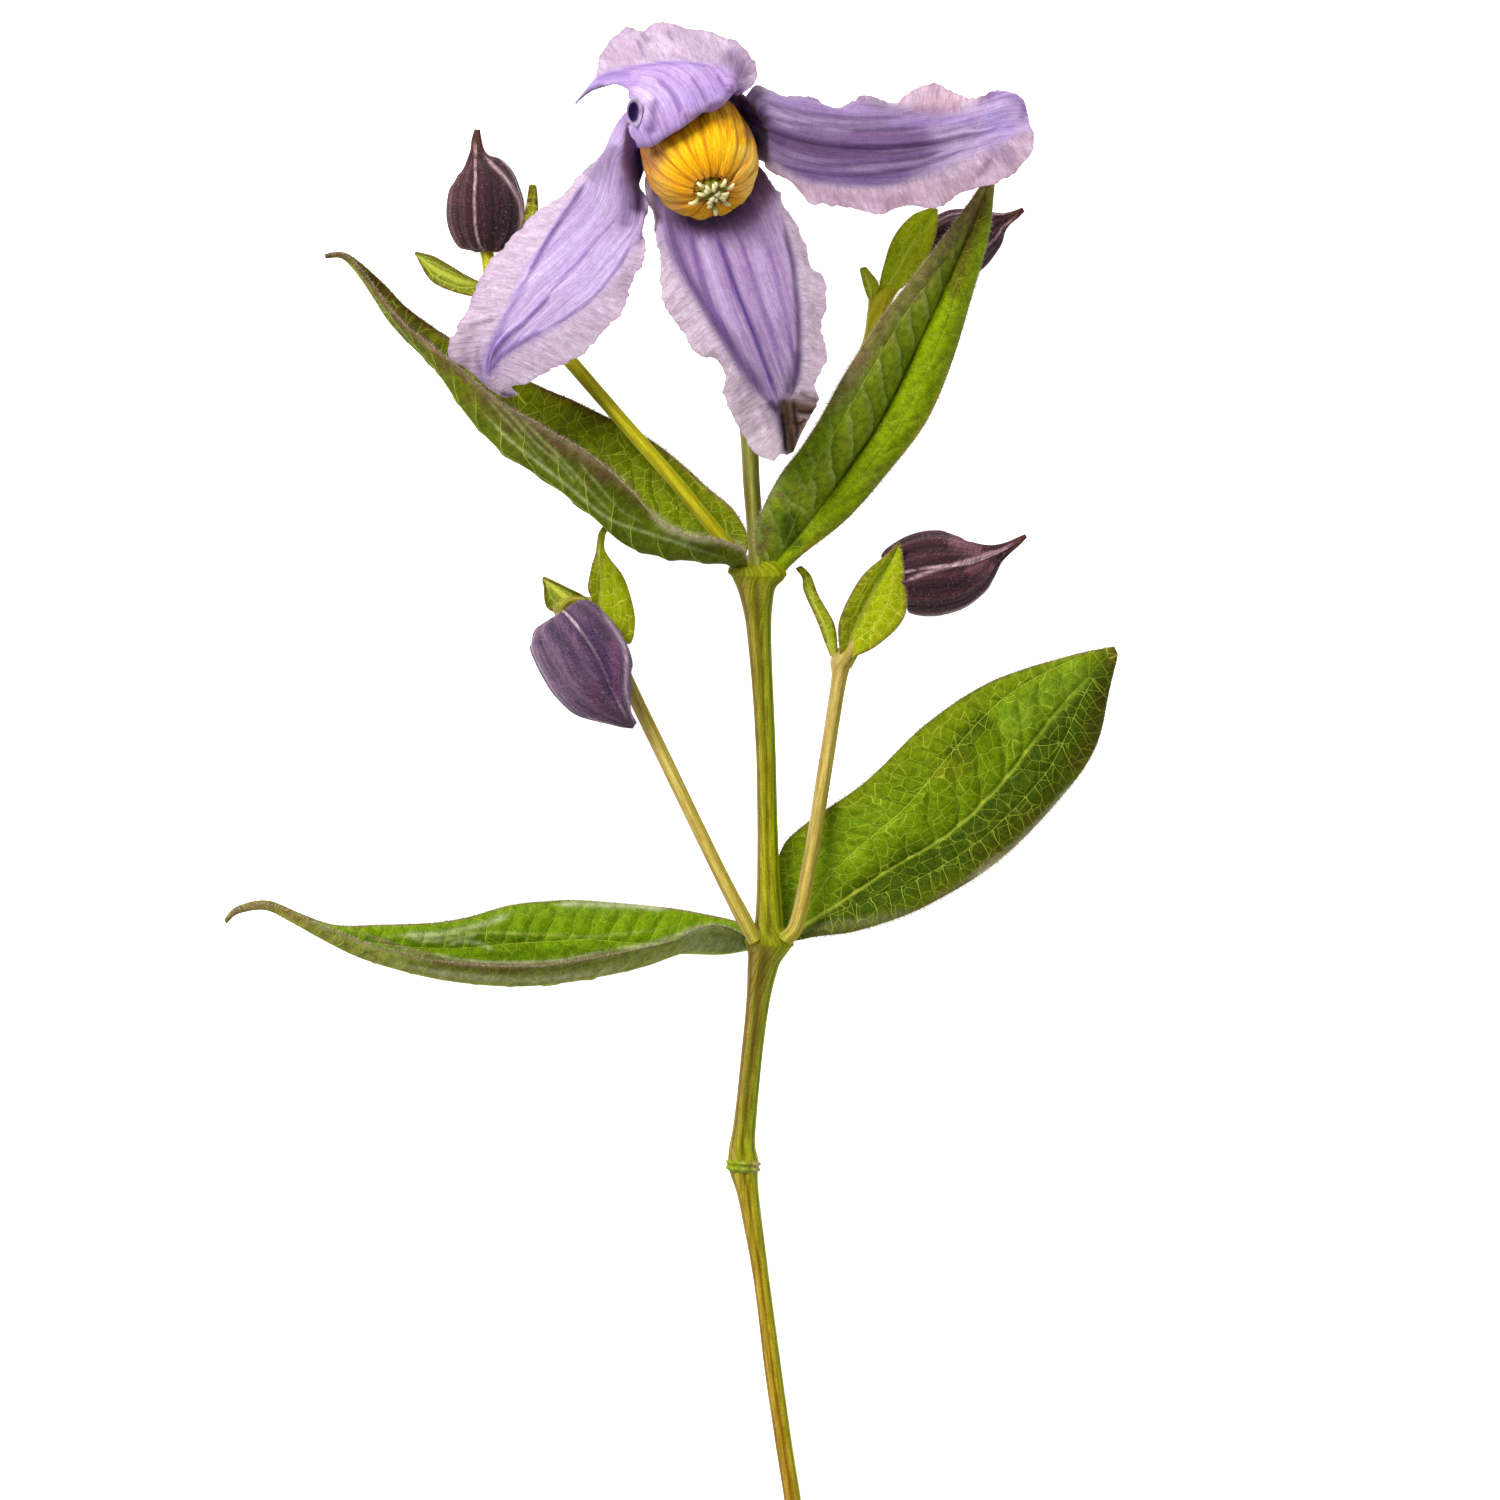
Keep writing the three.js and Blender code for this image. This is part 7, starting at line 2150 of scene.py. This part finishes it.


# Painted light and shade on the column: darker purple-brown down its left side and at its foot, pale yellow
# painted highlights down its right side and middle.
COLUMN_PAINTED_LIGHT_AND_SHADE = strokes("""
    94664e 3.4 .85: -5.4 105, -4.2 101, -3 98;
    b88a50 2 .7: -3.6 100, -2.2 96, 0 93, 3 91.4;
    9a6a40 1.6 .65: -3 105, 0 106, 3 107.6;
    9a6a60 1.2 .6: 12.8 108, 12.8 105, 12.6 103;
    ffe070 3 .9: 13.6 103, 13.2 97, 11.4 93.4;
    c08010 .8 .5: 6 97.6, 7.6 97.4;
    fcd010 1.6 .4: 9 103, 9 99, 8.4 97
""")


@dataclass
class StamenColumn:
    """The column of strap-shaped stamens, whose tips close in on the styles."""

    rows: tuple[StrapRow, ...]

    def build(self, groves: Groves) -> None:
        """Builds the core and the rings of straps."""
        self.build_core()
        for row in self.rows:
            self.build_row(groves, row)

    def build_core(self) -> Piece:
        """Builds what lies behind the straps."""
        profile = column_outline(np.linspace(0.02, 0.93, 60), 1.0)
        turn = np.arange(120) / 120
        radius = np.maximum(profile[:, 1:] + 0.15 * np.cos(2 * np.pi * 20 * turn)[None, :], 0.4)
        dark = 0.8 * (1 - smoothstep(profile[:, :1], 3, 9))
        colour = tint(flood(radius.shape, "c07a08"), "6a3a3c", dark)
        core = turned_on_flower(profile).skin("stamen_core", radius, turn, {"tint": colour}, 50.0)
        return settle(core, STRAP, ["stamens"])

    def build_row(self, groves: Groves, row: StrapRow) -> Piece:
        """Builds one ring of straps as one piece."""
        u, v = np.linspace(0, 1, 48), np.linspace(-1, 1, 11)
        height, radius = column_outline(row.start + (row.end - row.start) * u, row.inset).T
        narrow = np.minimum(1, np.maximum(radius, 1.2) / 7.4) ** 0.8
        half = 0.5 * row.width * narrow * smoothstep(u, -0.05, 0.15)
        half = half * (1 - 0.6 * smoothstep(u, 0.9, 1.0) ** 2)
        angle = (half / np.maximum(radius, 0.5))[:, None] * v[None, :]
        crown = 0.55 * (1 - v[None, :] ** 2) * np.minimum(1, half[:, None]) - 0.1 * hill(v[None, :], 0, 0.22)
        wavy = 0.14 * np.sin(7 * u + row.seed)[:, None] + 0.1 * np.sin(15 * u + row.seed)[:, None] * v
        ahead = unit(np.stack([np.gradient(height), np.gradient(radius)], -1))
        out = radius[:, None] + (crown + wavy) * ahead[:, :1]
        rise = height[:, None] - (crown + wavy) * ahead[:, 1:]
        grid = np.stack([out * np.cos(angle), out * np.sin(angle), rise], -1)
        shape = angle.shape
        colour = flood(shape, row.colour)
        # a painted highlight along the middle of each strap; darker towards its edges and its foot
        colour = tint(colour, "fcd814", 0.75 * hill(v[None, :], 0, 0.4) * smoothstep(u, 0.25, 0.6)[:, None])
        colour = tint(colour, "a8701c", 0.6 * smoothstep(np.abs(v), 0.6, 1.0)[None, :])
        colour = tint(colour, "a8622c", 0.6 * (1 - smoothstep(u, 0.15, 0.5))[:, None])
        colour = tint(colour, row.tip, 0.5 * smoothstep(u, 0.94, 1.0)[:, None])
        surface = np.stack([angle * 8, height[:, None] + 0 * angle, 0 * angle], -1)
        template = blade_object(
            row.name + "_one", grid[:, ::-1], np.full(shape, 0.4),
            {"tint": (colour[:, ::-1],) * 2, "surface": (surface[:, ::-1],) * 2},
        )
        values = {
            "Number": row.number, "First Turn": row.first_turn, "Turn Jitter": 0.06, "Lean Jitter": 0.014,
            "Size Jitter": 0.02, "Seed": row.seed, "Finish": STRAP.material(),
        }
        straps = ring_of(template, groves, row.name, values)
        # paints shade down the column's left side and highlights down its right side
        overpaint(straps, COLUMN_PAINTED_LIGHT_AND_SHADE)
        return settle(straps, STRAP)


@dataclass(frozen=True)
class Receptacle:
    """The swollen end of the flower's stalk, which the sepals and the stamens grow from."""

    profile: tuple[Point, ...] = places("-2.4 1.2, -1.9 2.3, -1 3.2, 0 3.8, .8 4, 1.3 3.2")

    def build(self) -> Piece:
        """Builds the receptacle."""
        profile = SmoothCurve(self.profile).along(np.linspace(0, 1, 24))
        turn = np.arange(48) / 48
        radius = profile[:, 1:] + 0.08 * np.cos(2 * np.pi * 12 * turn)[None, :]
        colour = tint(flood(radius.shape, "8f86a0"), "5c4a6c", 0.7 * smoothstep(profile[:, :1], -0.5, 0.8))
        sweep = turned_on_flower(profile)
        return settle(sweep.skin("flower_receptacle", radius, turn, {"tint": colour}, 22.0), STALK)


def stamen_column() -> StamenColumn:
    """The flower's own column."""
    around = 18
    step = 2 * math.pi / around
    return StamenColumn((
        StrapRow("outer_stamens", around, 0.25, 0.04, 0.96, 2.7, 0.0, "d8a008", "e8c458", 5),
        StrapRow("middle_stamens", around, 0.6, 0.1, 0.985, 2.6, step / 2, "c8900a", "ecd078", 9),
        StrapRow("inner_stamens", 11, 0.9, 0.72, 1.0, 1.9, step / 3, "d09a0c", "f0dc98", 13),
    ))


@dataclass(frozen=True)
class Pistils:
    """The tuft of hooked styles in the column's mouth."""

    styles: int = 13
    seed: int = 31
    hook: tuple[Point, ...] = places(".8 0 21, 1.15 .05 22.3, 1.6 .1 23.2, 2.3 .2 23.5, 2.9 .25 23.1")
    radii: Point = (0.24, 0.27, 0.32, 0.36, 0.22)

    def build(self, groves: Groves) -> None:
        """Builds the green centre and the styles."""
        profile = SmoothCurve(places("20.4 2, 21.4 2, 22.1 1.7, 22.6 1.1, 22.8 .4"))
        sweep = turned_on_flower(profile.along(np.linspace(0, 1, 16)))
        turn = np.arange(48) / 48
        wave = np.cos(2 * np.pi * 9 * turn)[None, :]
        radius = sweep.radius[:, None] * (1 + 0.08 * wave)
        colour = tint(flood(radius.shape, "8f9214"), "4a4a10", 0.6 * smoothstep(wave, 0, -1))
        settle(sweep.skin("style_bed", radius, turn, {"tint": colour}, 12.0), STYLE, ["pistils"])
        self.build_ring(groves, "styles", self.styles, 0.0, 1.0)
        self.build_ring(groves, "inner_styles", 6, 0.4, 0.55)

    def build_ring(self, groves: Groves, name: str, number: int, first: float, reach: float) -> Piece:
        """Builds a ring of hooked styles.

        Args:
            groves: the node trees.
            name: the piece's name.
            number: how many.
            first: where the first one stands, as a turn in radians.
            reach: how far they hook out, as a share of the outer ring's.
        """
        path = SmoothCurve([(x * (reach if k else 0.6), y, z) for k, (x, y, z) in enumerate(self.hook)])
        share = np.linspace(0, 1, 14)
        centre, ahead = path.at(share), path.tangent(share)
        across = unit(np.cross(ahead, (0, 1.0, 0)))
        radius = np.interp(share, np.linspace(0, 1, len(self.radii)), self.radii)
        sweep = Sweep(centre, ahead, across, np.cross(across, ahead), radius, share, share * path.length)
        turn = np.arange(8) / 8
        grid = radius[:, None] * np.ones(8)
        colour = tint(flood(grid.shape, "7f8420"), "e6dcb0", smoothstep(share, 0.35, 0.8)[:, None])
        surface = np.stack([grid, sweep.reach[:, None] + 0 * grid, 0 * grid], -1)
        template = sweep.skin(name + "_one", grid, turn, {"tint": colour, "surface": surface})
        values = {
            "Number": number, "First Turn": first, "Turn Jitter": 0.16, "Lean Jitter": 0.05,
            "Size Jitter": 0.015, "Seed": self.seed, "Finish": STYLE.material(),
        }
        return settle(ring_of(template, groves, name, values), STYLE)


# ---- Studio ----


@dataclass(frozen=True)
class Studio:
    """A white, faintly glowing table under soft even light, seen from straight above."""

    floor_half: float = 0.6
    floor_glow: float = 0.75
    sky: float = 0.66
    key_power: float = 19.0
    key_size: float = 0.5

    def build(self) -> None:
        """Builds the floor, the light and the camera."""
        self.lay_floor()
        self.light()
        self.place_camera()

    def lay_floor(self) -> None:
        """Lays the pale floor."""
        half = self.floor_half
        mesh = bpy.data.meshes.new("floor")
        corners = [(-half, -half, 0), (half, -half, 0), (half, half, 0), (-half, half, 0)]
        mesh.from_pydata(corners, [], [(0, 1, 2, 3)])
        floor = new_piece("floor", mesh)
        material = bpy.data.materials.new("floor_white")
        material.use_nodes = True
        shader = material.node_tree.nodes["Principled BSDF"]
        shader.inputs["Base Color"].default_value = (0.86, 0.86, 0.86, 1)
        shader.inputs["Roughness"].default_value = 0.9
        shader.inputs["Emission Color"].default_value = (1, 1, 1, 1)
        shader.inputs["Emission Strength"].default_value = self.floor_glow
        mesh.materials.append(material)

    def light(self) -> None:
        """Hangs one large soft light above and fills the rest evenly."""
        world = bpy.data.worlds.new("soft_white")
        world.use_nodes = True
        ground = world.node_tree.nodes["Background"]
        ground.inputs["Color"].default_value = (1, 1, 1, 1)
        ground.inputs["Strength"].default_value = self.sky
        bpy.context.scene.world = world
        lamp = bpy.data.lights.new("soft_box", "AREA")
        lamp.shape = "SQUARE"
        lamp.size = self.key_size
        lamp.energy = self.key_power
        lamp.color = (1.0, 0.98, 0.95)
        box = new_piece("soft_box", lamp)
        box.location = (-0.5, 0.62, 0.8)
        box.rotation_euler = (-box.location).to_track_quat("-Z", "Y").to_euler()

    def place_camera(self) -> None:
        """Looks straight down on the sprig, as the photograph does."""
        camera = bpy.data.cameras.new("overhead")
        camera.sensor_width = 36
        camera.lens = 36 * EYE_HEIGHT / FIELD
        camera.dof.use_dof = False
        camera.clip_end = 10
        eye = new_piece("overhead", camera)
        eye.location = (EYE[0] * MM, EYE[1] * MM, EYE_HEIGHT * MM)
        bpy.context.scene.camera = eye
        view = bpy.context.scene.view_settings
        view.view_transform = "Standard"
        view.look = "None"


def main() -> None:
    """Builds every piece in order, then the studio."""
    groves = Groves()
    for leaf in all_leaves() + all_bracts():
        leaf.build(groves)
    for stem in all_stems():
        stem.build()
    TornRing().build()
    for bud in all_buds():
        bud.build(groves)
    sepals = all_sepals()
    for sepal in sepals:
        sepal.build()
    CurledMargin().build(sepals[-1])
    Receptacle().build()
    stamen_column().build(groves)
    Pistils().build(groves)
    Studio().build()


if __name__ == "__main__":
    main()
